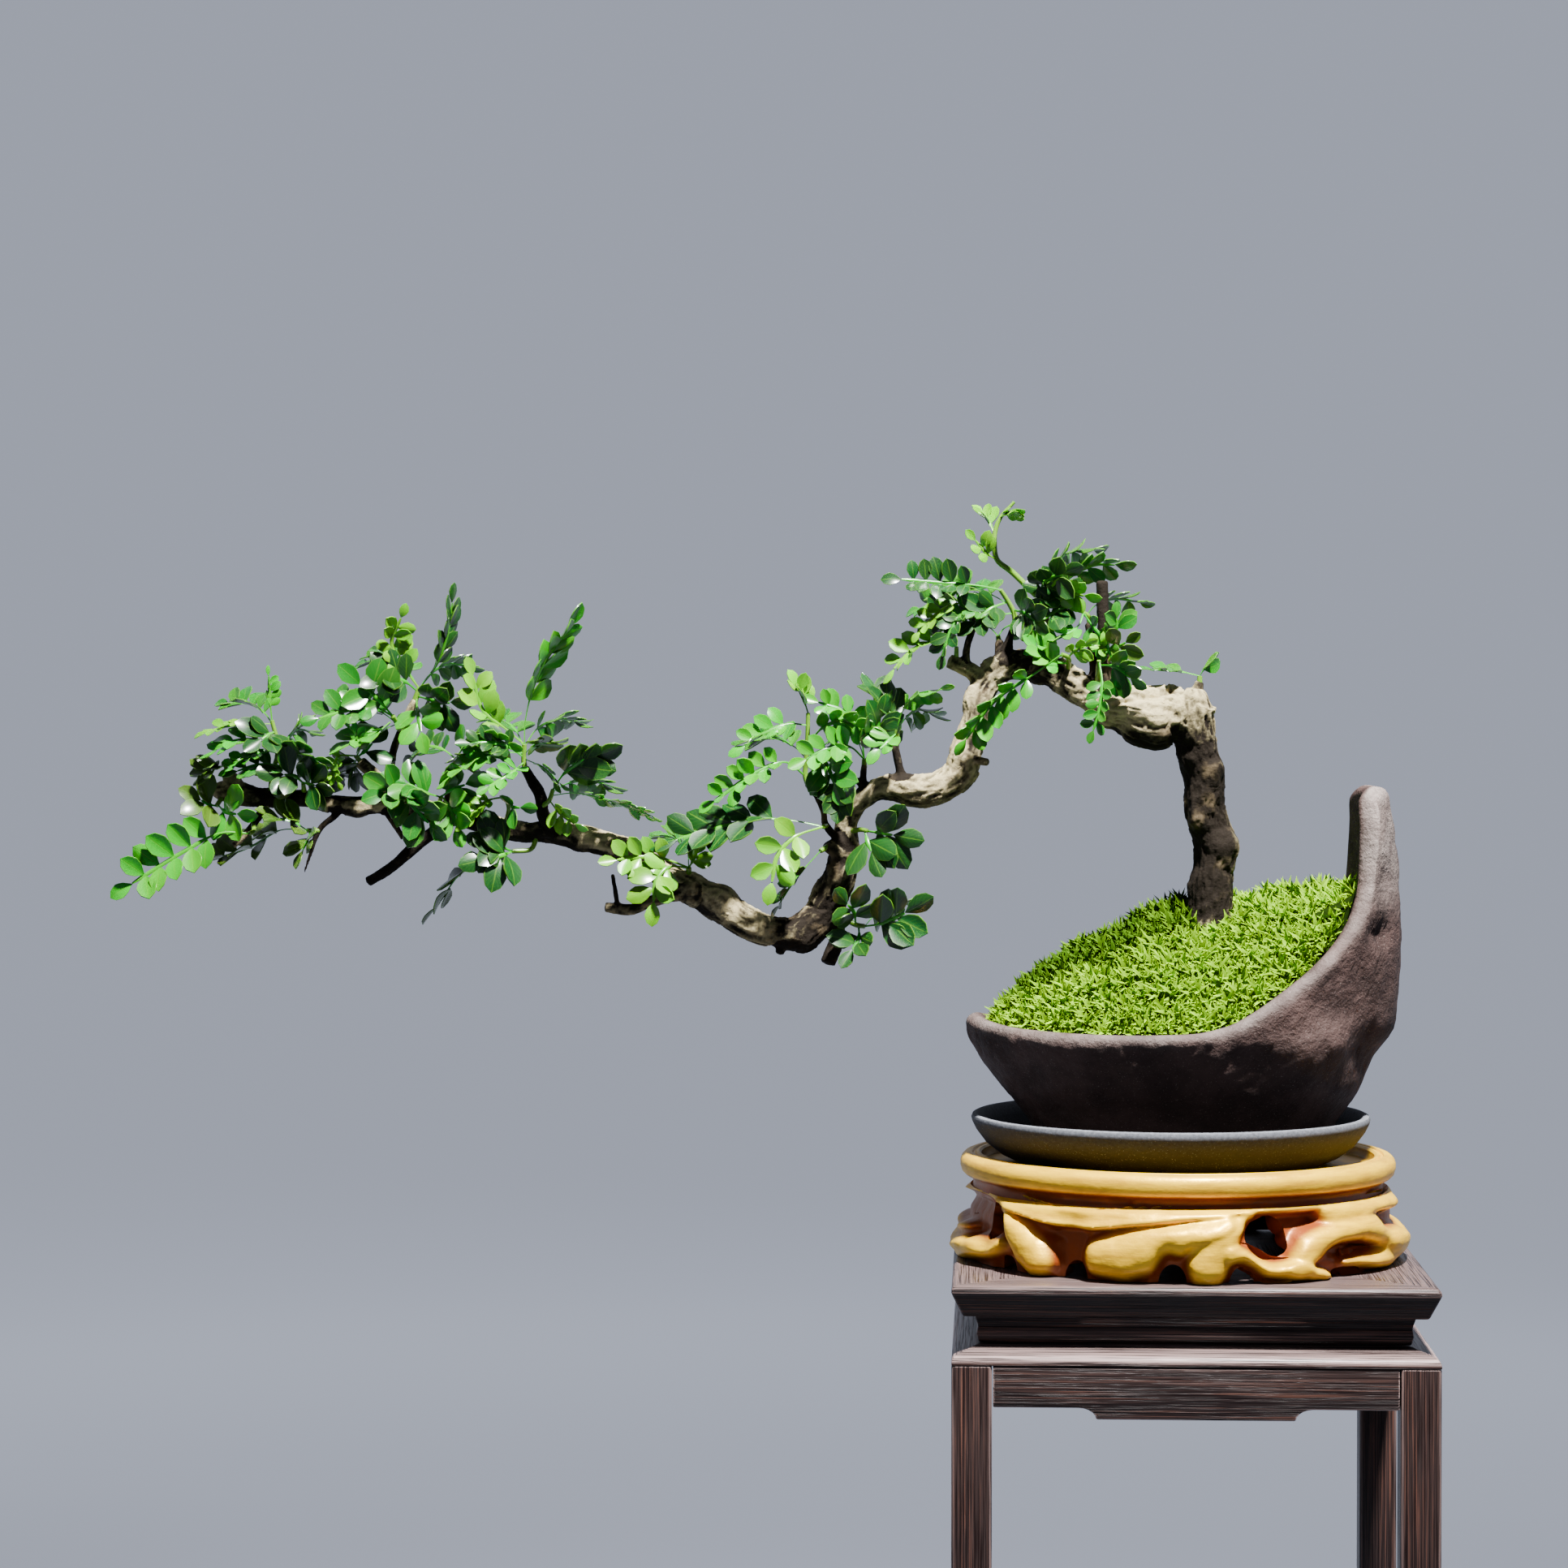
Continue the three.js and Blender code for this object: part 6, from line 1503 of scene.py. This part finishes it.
class MakeMoss(bpy.types.Operator):
    """Adds the moss: its bed and the tufts of fronds on it"""

    bl_idname = "bonsai.moss"
    bl_label = "Moss"

    def execute(self, context):
        moss, draw = settings("moss"), random.Random(11)
        frond, spacing = moss.frond / MM, moss.spacing / MM
        sides, shares = 120, [0, 0.06, *[step / 24 for step in range(3, 25)]]

        def on_bed(row, side):
            angle = 2 * math.pi * side / sides
            if row < len(shares):
                spot = mound_point(shares[row], angle, 2.2)
                spot.z += 0.5 * rough(spot, 4, 6)
                return spot
            return mound_point([1, 0.6, 0][row - len(shares)], angle, MOSS_THICK)

        bed = mesh_of(ring_body(len(shares) + 3, sides, on_bed))
        paint(bed, "tint", [moss.bed] * len(bed.vertices))
        add_piece("moss_bed", bed, tinted("moss bed", 0.95, 1.2), "moss", "moss")

        tufts = []
        for _ in range(5):
            tuft = mesh_of(tuft_shape(draw))
            # Painted shade in each tuft: darker towards its foot between the fronds, brighter at
            # the tips.
            tufts.append((tuft, [blend(0.12, 1.25, clamp(v.co.length)) for v in tuft.vertices]))
        halves = {"front": bmesh.new(), "back": bmesh.new()}
        count = int(math.pi * MOSS_HALF[0] * MOSS_HALF[1] / spacing**2)
        golden = math.pi * (3 - math.sqrt(5))
        for index in range(count):
            angle, share = index * golden, math.sqrt((index + 0.5) / count)
            angle, share = angle + 0.02 * draw.random(), share + 0.012 * (draw.random() - 0.5)
            if share > 0.995:
                continue
            spot = mound_point(share, angle, 3.2)
            spot.z += 1.5 * rough(spot, 8, 9) * eased(1 - share, 0, 0.15)
            if math.hypot(spot.x - TRUNK_FOOT[0], spot.y) < TRUNK_FOOT[1]:
                continue
            slope_x = mound_height(spot.x + 1, spot.y) - mound_height(spot.x - 1, spot.y)
            slope_y = mound_height(spot.x, spot.y + 1) - mound_height(spot.x, spot.y - 1)
            up = Vector((-slope_x / 2, -slope_y / 2, 1)).normalized()
            up = (up + 0.4 * Vector([draw.random() - 0.5 for _ in range(3)])).normalized()
            size = frond * blend(0.6, 1.3, draw.random() ** 1.5)
            size *= blend(1, 0.72, eased(share, 0.9, 1))
            turn = up.to_track_quat("Z", "Y") @ Matrix.Rotation(
                2 * math.pi * draw.random(), 3, "Z"
            ).to_quaternion()
            tuft, painted_shade_along = tufts[index % len(tufts)]
            copy = tuft.copy()
            copy.transform(Matrix.LocRotScale(spot, turn, (size, size, size)))
            x, z = seen((spot.x, min(spot.y, 0), spot.z))
            # Painted shadow of the trunk and the crown on the moss left of the trunk, with a random
            # deeper green mixed in.
            shade = eased(z - along(SHADED, x), -1.5, 3) * eased(6 - x, 0, 3)
            shade = clamp(0.9 * shade + 0.30 * rough(spot, 6, 8) + 0.3 * (draw.random() - 0.5))
            colour = [blend(a, b, shade) for a, b in zip(moss.bright, moss.deep)]
            glow = blend(0.75, 1.25, draw.random())
            paint(copy, "tint", [[glow * lit * c for c in colour] for lit in painted_shade_along])
            halves["front" if spot.y < 0 else "back"].from_mesh(copy)
            bpy.data.meshes.remove(copy)
        finish = tinted("moss fronds", 0.8, 3)
        for side, shape in halves.items():
            add_piece("moss_fronds_" + side, mesh_of(shape), finish, "moss")
        add_soil()
        return {"FINISHED"}


def add_soil():
    """The soil between the moss and the floor of the pot, shaped like the mound."""
    rows = [(0, 0), (0.4, 0), (0.8, 0), (0.985, 0), (0.985, 0.5), (0.94, 1), (0, 1)]

    def place(row, side):
        angle = 2 * math.pi * side / 96
        share, down = rows[row]
        spot = mound_point(share, angle, MOSS_THICK + GAP)
        base = pot_point(angle, POT_FLOOR + GAP, settings("pot").wall / MM + 5)
        foot = Vector((POT_X + (base.x - POT_X) * share, base.y * share, base.z))
        return spot.lerp(foot, down)

    finish, shader = new_finish("soil", Roughness=0.95)
    crumbs = lumps(finish, millimetres(finish), 1.5, 4, 0.7)
    grain = between(finish, crumbs, 0.3, 0.7)
    colour = mixed(finish, grain, (0.02, 0.013, 0.008), (0.09, 0.06, 0.04))
    join(finish, colour, shader.inputs["Base Color"])
    raised(finish, shader, crumbs, 0.8)
    add_piece("soil_fill", mesh_of(ring_body(len(rows), 96, place)), finish, "soil", "soil")


# Wood

VOXEL = 0.54  # mesh size of the joined wood


def centreline(points, step):
    """Points along a centripetal curve through the given ones, with their radius."""
    spots = [spot_seen(x, z, y) for x, z, _, y in points]
    ends = [2 * spots[0] - spots[1], *spots, 2 * spots[-1] - spots[-2]]
    samples = []
    for i in range(len(spots) - 1):
        p0, p1, p2, p3 = ends[i : i + 4]
        d0, d1, d2 = [max((b - a).length ** 0.5, 1e-3) for a, b in ((p0, p1), (p1, p2), (p2, p3))]
        out = ((p1 - p0) / d0 - (p2 - p0) / (d0 + d1) + (p2 - p1) / d1) * d1
        back = ((p2 - p1) / d1 - (p3 - p1) / (d1 + d2) + (p3 - p2) / d2) * d1
        count = max(1, round((p2 - p1).length / step))
        last = i == len(spots) - 2
        for k in range(count + last):
            t = k / count
            curve = (
                p1 * (2 * t**3 - 3 * t**2 + 1) + out * (t**3 - 2 * t**2 + t)
                + p2 * (3 * t**2 - 2 * t**3) + back * (t**3 - t**2)
            )
            samples.append((curve, blend(points[i][2], points[i + 1][2], t)))
    return samples


def with_frames(samples):
    """Each sample with its direction and two sides that don't twist along the curve."""
    framed, aside = [], None
    for i, (spot, radius) in enumerate(samples):
        ahead = samples[min(i + 1, len(samples) - 1)][0] - samples[max(i - 1, 0)][0]
        ahead.normalize()
        if aside is None:
            aside = ahead.orthogonal()
        aside = (aside - ahead * aside.dot(ahead)).normalized()
        framed.append((spot, radius, ahead, aside, ahead.cross(aside)))
    return framed


def tube(framed, sides, flat=1.0):
    """A closed tube round framed samples. Its second side may be flatter than its first."""
    last = len(framed) + 1

    def place(row, side):
        spot, radius, ahead, first, second = framed[clamp(row - 1, 0, last - 2)]
        if row in (0, last):
            return spot + ahead * (radius * 0.25 * (1 if row else -1))
        angle = 2 * math.pi * side / sides
        return spot + radius * (first * math.cos(angle) + second * (flat * math.sin(angle)))

    return ring_body(len(framed) + 2, sides, place)


# Knots and hollows of the wood as they are seen from the front: x, z, radius and height.
KNOTS = [
    (9.5, 338, 3.2, 1.6), (4, 321, 3, 1.2), (13, 313, 4, 1.4), (3.5, 300, 4, 0.9), (1.5, 341, 3, 1),
    (3, 361, 4, 1.2), (-8, 348.5, 5, 1.6), (-21.5, 351.5, 3, -2.2), (-198, 310, 3, 1.4),
    (-113, 303, 3.5, 1.6), (-108, 311, 3, 1.2), (-123, 280, 4, 1.5), (-150, 296, 3.5, 1.5),
    (-161, 300, 3.4, 1.4), (-88, 335, 3, 0.8), (-72, 343, 3, 0.9), (-232, 318, 3, 0.8),
    (-58, 375, 4, 1.1), (-48, 366, 3, 0.8), (-270, 322, 2.4, 0.7), (-311, 334, 3, 1),
]
# Where the bark is painted darker, partly its own aged bark and partly painted shade under the
# knee, the crown and along the limbs: seen x, z, half width and half height, and how much.
AGED_AND_SHADED = [
    (7, 317, 17, 33, 0.8), (-111, 298, 9, 16, 0.5), (-121, 284, 11, 10, 0.5),
    (-12, 345, 15, 5, 0.4), (-211, 312, 13, 9, 0.42), (-291, 328, 18, 10, 0.5),
    (-240, 316, 16, 8, 0.3), (-45, 374, 15, 8, 0.35), (-66, 352, 5, 9, 0.25),
]
# The crease between the two rolls of the near limb, as it is seen.
CREASE = ((-23, 358.6), (-5, 363.2))


def bark_relief(spot, sample):
    """How far the bark stands out at a spot, and how dark it is painted there: aged bark, darker
    low relief, and painted shade, lighter on the lit right side and darker on the undersides.
    """
    centre, radius, ahead, first, second, way, shade = sample
    away = spot - centre
    flat = Vector((away.dot(first), away.dot(second), way * 0.42))
    wide = min(radius / 4, 1.4)
    lump = rough(flat, 6, 1) * 0.75 + rough(flat, 3, 2) * 0.5
    ridge = (0.25 - abs(rough(flat, 2.2, 3))) * 0.75 + (0.25 - abs(rough(flat, 1.2, 4))) * 0.42
    height = wide * (lump + ridge)
    x, z = seen(spot)
    if spot.y < centre.y + radius * 0.3:
        for kx, kz, size, tall in KNOTS:
            height += tall * math.exp(-((x - kx) ** 2 + (z - kz) ** 2) / size**2)
        (x0, z0), (x1, z1) = CREASE
        t = clamp(((x - x0) * (x1 - x0) + (z - z0) * (z1 - z0)) / ((x1 - x0) ** 2 + (z1 - z0) ** 2))
        off = math.hypot(x - blend(x0, x1, t), z - blend(z0, z1, t))
        height -= 1.5 * math.exp(-((off / 1.1) ** 2))
    # Aged bark and painted shade in the patches, less towards the right side where the light falls,
    # and painted shade on the undersides.
    dim = sum(
        much * math.exp(-(((x - ax) / wide) ** 4) - ((z - az) / high) ** 4)
        for ax, az, wide, high, much in AGED_AND_SHADED
    )
    dim *= blend(1, 0.6, eased(away.x / radius, 0.4, 1))
    dim += 0.3 * eased(-away.z / radius, 0.15, 0.8) * (radius > 3)
    age = 0.8 * shade + dim - 0.9 * ridge - 0.35 * lump + 0.1
    return height, clamp(age)


class MakeWood(bpy.types.Operator):
    """Adds the trunk, the cascading limb and its twigs, grown together under one bark"""

    bl_idname = "bonsai.wood"
    bl_label = "Trunk and limbs"

    def execute(self, context):
        stems = [(0.15, TRUNK), (0.0, NEAR_LIMB), (0.1, FALLING_LIMB), (0.15, FAR_LIMB), *TWIGS]
        samples, shapes = [], []
        for shade, points in stems:
            framed = with_frames(centreline(points, 1.0))
            shapes.append(tube(framed, 24 if points[0][2] > 3 else 12))
            way = 0.0
            for i, row in enumerate(framed):
                way += (row[0] - framed[i - 1][0]).length if i else 0
                samples.append((*row, way + 40 * len(shapes), shade))
        stems_object = bpy.data.objects.new("stems", mesh_of(gather(shapes)))
        bpy.context.scene.collection.objects.link(stems_object)
        remesh = stems_object.modifiers.new("Remesh", "REMESH")
        remesh.mode, remesh.voxel_size = "VOXEL", VOXEL
        depsgraph = bpy.context.evaluated_depsgraph_get()
        mesh = bpy.data.meshes.new_from_object(stems_object.evaluated_get(depsgraph))
        bpy.data.objects.remove(stems_object)
        tree = KDTree(len(samples))
        for i, sample in enumerate(samples):
            tree.insert(sample[0], i)
        tree.balance()
        ages_and_shades = []
        normals = [v.normal.copy() for v in mesh.vertices]
        for vertex, normal in zip(mesh.vertices, normals):
            near = min(
                tree.find_n(vertex.co, 4), key=lambda found: found[2] - samples[found[1]][1]
            )
            height, age = bark_relief(vertex.co, samples[near[1]])
            vertex.co += normal * height
            ages_and_shades.append(age)
        paint(mesh, "age", ages_and_shades)
        add_piece("trunk_and_limbs", mesh, bark_finish(), "bark", "tree_wood", sharp=180)
        return {"FINISHED"}


# Leaves

# How much longer a limb's leaflets are than their rows say.
FULLNESS = {"middle": 1.1, "left": 1.1, "far": 1.1}


def leaflet_mesh(arch, cup):
    """A leaflet of length 1 along X, broadest past its middle, with a rounded tip."""
    broad = settings("tree").broad
    shape = bmesh.new()
    uv = shape.loops.layers.uv.new("leaf")
    bmesh.ops.create_grid(shape, x_segments=7, y_segments=4, size=0.5)
    for face in shape.faces:
        for loop in face.loops:
            loop[uv].uv = (loop.vert.co.x + 0.5, loop.vert.co.y + 0.5)
    for vertex in shape.verts:
        way, aside = vertex.co.x + 0.5, vertex.co.y * 2
        wide = math.sin(math.pi * clamp(way, 0, 1) ** 1.25) if 0 < way < 1 else 0.0
        wide = max(wide, 0) ** 0.6 * blend(0.6, 1, clamp(way / 0.35))
        scallop = 0.03 * math.cos(math.pi * 7 * way) * abs(aside) ** 4
        half = broad / 2 * wide * (1 + scallop)
        rise = cup * half * abs(aside) ** 1.5 - arch * (way - 0.35) ** 2 + 0.006 * (aside == 0)
        vertex.co = (way, aside * half, rise)
    bmesh.ops.remove_doubles(shape, verts=shape.verts, dist=1e-4)
    turn_outward(shape, Vector((0.5, 0, -5)))
    upper = set(shape.verts)
    bmesh.ops.solidify(shape, geom=shape.faces, thickness=0.035)
    under = [0.0 if vertex in upper else 1.0 for vertex in shape.verts]
    return mesh_of(shape), under


def tint_of(tone, draw, under=0.0):
    tree = settings("tree")
    glow = blend(0.8, 1.22, draw.random())
    warm = 0.12 * (draw.random() - 0.35)
    pale = [blend(c, o, 0.45 * under) for c, o in zip(getattr(tree, tone), tree.olive)]
    return [glow * (pale[0] + warm * pale[1]), glow * pale[1], glow * pale[2]]


def stalk_mesh(framed, sides, colour, flat=1.0):
    mesh = mesh_of(tube(framed, sides, flat))
    uv = mesh.uv_layers.new(name="leaf")
    uv.data.foreach_set("uv", [0.2, 0.3] * len(uv.data))
    paint(mesh, "tint", [colour] * len(mesh.vertices))
    return mesh


def add_leaf(whole, row, leaflets, draw, fullness):
    """One leaf: a winged midrib with its pairs of leaflets and one at the tip."""
    tone, pairs, length, roll, fold, turn, points = row
    fold, turn = math.radians(fold), math.radians(turn)
    samples = centreline([(x, z, 0.5, y) for x, z, y in points], 0.8)
    rib = sum((b[0] - a[0]).length for a, b in zip(samples, samples[1:]))
    framed, ways, way = [], [], 0.0
    for i, (spot, _) in enumerate(samples):
        ahead = samples[min(i + 1, len(samples) - 1)][0] - samples[max(i - 1, 0)][0]
        ahead.normalize()
        side = ahead.cross(TO_FRONT).normalized()
        face = side.cross(ahead).normalized()
        rolled = Matrix.Rotation(math.radians(roll), 3, ahead)
        way += (spot - samples[i - 1][0]).length if i else 0
        ways.append(way)
        wing = 0.34 + 0.36 * clamp((way / rib - 0.3) / 0.1) * clamp((rib - way) / 3)
        framed.append((spot, wing, ahead, rolled @ side, rolled @ face))
    colour = tint_of("lime" if tone == "lime" else "bright", draw)
    mesh = stalk_mesh(framed, 6, colour, 0.45)
    whole.from_mesh(mesh)
    bpy.data.meshes.remove(mesh)

    first = 0.3 * rib
    spacing = (rib - first) / (pairs + 0.25)
    length = fullness * (min(length, 1.8 * spacing) if pairs > 3 else length)
    feet = [(first + spacing * (pair + 0.35), hand) for pair in range(pairs) for hand in (-1, 1)]
    for number, (foot, hand) in enumerate([*feet, (rib, 0)]):
        i = min(range(len(ways)), key=lambda k: abs(ways[k] - foot))
        spot, _, ahead, side, face = framed[i]
        share = (number // 2 + 1) / (pairs + 1)
        size = length * (0.82 + 0.2 * math.sin(math.pi * share)) * blend(0.9, 1.1, draw.random())
        lift = (fold + 0.5 * (draw.random() - 0.5)) * abs(hand)
        swing = (turn + 0.35 * (draw.random() - 0.5)) * abs(hand)
        out = side * (math.cos(lift) * (hand or 1)) + face * math.sin(lift)
        along_leaf = ahead * math.cos(swing) + out * math.sin(swing)
        along_leaf += face * (0.3 * (draw.random() - 0.5))
        along_leaf.normalize()
        tilt = 0.45 * (draw.random() - 0.5) * side + 0.3 * (draw.random() - 0.5) * ahead
        normal = face * math.cos(lift) - side * (math.sin(lift) * hand) + tilt
        across = normal.cross(along_leaf).normalized()
        normal = along_leaf.cross(across)
        place = Matrix((along_leaf, across, normal)).transposed().to_4x4()
        place = Matrix.Translation(spot) @ place @ Matrix.Scale(size, 4)
        template, under = leaflets[int(draw.random() * len(leaflets))]
        copy = template.copy()
        copy.transform(place)
        seed = draw.random()
        top = tint_of(tone, random.Random(seed))
        below = tint_of(tone, random.Random(seed), 1.0)
        paint(copy, "tint", [below if share_under else top for share_under in under])
        whole.from_mesh(copy)
        bpy.data.meshes.remove(copy)


class MakeLeaves(bpy.types.Operator):
    """Adds the leaves on their green stalks, one piece for each part of the tree"""

    bl_idname = "bonsai.leaves"
    bl_label = "Leaves"

    def execute(self, context):
        draw = random.Random(3)
        bends = ((0.2, -0.25), (0.35, 0.15), (0.05, 0.3))
        leaflets = [leaflet_mesh(arch, cup) for arch, cup in bends]
        finish = leaf_finish()
        for limb in LIMBS:
            whole = bmesh.new()
            nodes = [name for name in SPRAYS if name.startswith(limb)]
            for name in nodes:
                stalk, rows = SPRAYS[name]
                framed = with_frames(centreline(stalk, 0.8))
                mesh = stalk_mesh(framed, 8, settings("tree").stalk)
                whole.from_mesh(mesh)
                bpy.data.meshes.remove(mesh)
                for row in rows:
                    add_leaf(whole, row, leaflets, draw, FULLNESS.get(limb, 1.0))
            mesh = mesh_of(whole)
            replaced = ["spray_" + name for name in nodes]
            add_piece("leaves_" + limb, mesh, finish, "leaf", *replaced, sharp=50)
        return {"FINISHED"}


# Stage

LENS = 92.74  # on a sensor 36 mm wide
LOOK_LEFT, LOOK_DOWN = 2.950, 1.024  # where the camera looks, in degrees
TARGET = (-90, 0, 300)  # what the lights point at


class MakeStage(bpy.types.Operator):
    """Adds the floor and backdrop, the lights and the camera"""

    bl_idname = "bonsai.stage"
    bl_label = "Stage"

    def execute(self, context):
        stage = settings("stage")
        scene = bpy.context.scene
        bend = [step * math.pi / 40 for step in range(21)]
        profile = [(0.0, 0.0), (0.5, 0.0), (1.0, 0.0)] + [
            (1.5 + math.sin(a), 1 - math.cos(a)) for a in bend
        ]
        profile.append((2.5, 2.6))
        shape = bmesh.new()
        verts = [shape.verts.new((radius, 0, height)) for radius, height in profile]
        edges = [shape.edges.new(pair) for pair in zip(verts, verts[1:])]
        bmesh.ops.spin(
            shape, geom=verts + edges, cent=(0, 0, 0), axis=(0, 0, 1),
            angle=2 * math.pi, steps=96, use_merge=True,
        )
        bmesh.ops.remove_doubles(shape, verts=shape.verts, dist=1e-5)
        bmesh.ops.recalc_face_normals(shape, faces=shape.faces)
        bmesh.ops.reverse_faces(shape, faces=shape.faces)
        mesh = mesh_of(shape, "studio_room")
        finish, shader = new_finish("pale paper", Roughness=0.9)
        spots = node(finish, "TexCoord").outputs["Object"]
        grain = lumps(finish, spots, 1.6, 2)
        shades = [[share * c for c in stage.floor] for share in (0.97, 1.03)]
        pale = mixed(finish, grain, *shades)
        join(finish, pale, shader.inputs["Base Color"])
        flat = node(finish, "VectorMath", {0: spots, 1: (1, 1, 0)}, operation="MULTIPLY").outputs[0]
        away = node(finish, "VectorMath", {0: flat}, operation="LENGTH").outputs["Value"]
        depth = node(finish, "SeparateXYZ", {0: spots}).outputs[1]
        behind = node(finish, "MapRange", {0: depth, 1: -0.5, 2: 0.5, 3: 0.2, 4: 1.0}).outputs[0]
        glow = maths(finish, "MULTIPLY", between(finish, away, 0.1, 1.1), stage.glow)
        glow = maths(finish, "MULTIPLY", glow, behind)
        shader.inputs["Emission Color"].default_value = opaque(stage.backdrop)
        join(finish, glow, shader.inputs["Emission Strength"])
        mesh.materials.append(finish)
        mesh.shade_smooth()
        room = bpy.data.objects.new("studio_room", mesh)
        scene.collection.objects.link(room)

        world = bpy.data.worlds.new("studio")
        world.use_nodes = True
        background = world.node_tree.nodes["Background"]
        background.inputs["Color"].default_value = opaque(stage.sky)
        background.inputs["Strength"].default_value = stage.fill
        scene.world = world

        target = TO_FRAME @ Vector(TARGET)
        for name, way, distance, size, power in (
            ("key", Vector((0.24, -0.42, 1.0)), 1.5, 0.12, stage.key),
            ("fill", Vector((-0.9, -1.0, 0.5)), 2.0, 1.2, stage.key * 0.01),
        ):
            data = bpy.data.lights.new(name, "AREA")
            data.shape, data.size, data.energy = "DISK", size, power
            data.spread = math.radians(60)
            light = bpy.data.objects.new(name, data)
            scene.collection.objects.link(light)
            light.location = target + way.normalized() * distance
            light.rotation_euler = (-way).to_track_quat("-Z", "Y").to_euler()

        data = bpy.data.cameras.new("camera")
        data.sensor_width, data.lens = 36, LENS
        data.clip_start, data.clip_end = 0.05, 20
        camera = bpy.data.objects.new("camera", data)
        scene.collection.objects.link(camera)
        camera.location = TO_FRAME @ EYE
        left, down = math.radians(LOOK_LEFT), math.radians(LOOK_DOWN)
        look = Vector((
            -math.sin(left) * math.cos(down), math.cos(left) * math.cos(down), -math.sin(down),
        ))
        camera.rotation_euler = look.to_track_quat("-Z", "Y").to_euler()
        scene.camera = camera
        return {"FINISHED"}


class BonsaiPanel(bpy.types.Panel):
    """Lists the pieces of the bonsai and their settings"""

    bl_label = "Bonsai"
    bl_idname = "VIEW3D_PT_bonsai"
    bl_space_type = "VIEW_3D"
    bl_region_type = "UI"
    bl_category = "Bonsai"

    def draw(self, context):
        for maker in MAKERS:
            self.layout.operator(maker.bl_idname)
        for name, group in GROUPS.items():
            box = self.layout.box()
            box.label(text=name.title())
            for key in group.__annotations__:
                box.prop(settings(name), key)


GROUPS = {
    "table": TableSettings,
    "stand": StandSettings,
    "saucer": SaucerSettings,
    "pot": PotSettings,
    "moss": MossSettings,
    "tree": TreeSettings,
    "stage": StageSettings,
}
MAKERS = (MakeTable, MakeStand, MakeSaucer, MakePot, MakeMoss, MakeWood, MakeLeaves, MakeStage)


def register():
    for kind in (*GROUPS.values(), *MAKERS, BonsaiPanel):
        bpy.utils.register_class(kind)
    for name, group in GROUPS.items():
        setattr(bpy.types.Scene, "bonsai_" + name, PointerProperty(type=group))


def unregister():
    for name in GROUPS:
        delattr(bpy.types.Scene, "bonsai_" + name)
    for kind in reversed((*GROUPS.values(), *MAKERS, BonsaiPanel)):
        bpy.utils.unregister_class(kind)


def main():
    register()
    for maker in MAKERS:
        getattr(bpy.ops.bonsai, maker.bl_idname.split(".")[1])()


if __name__ == "__main__":
    main()
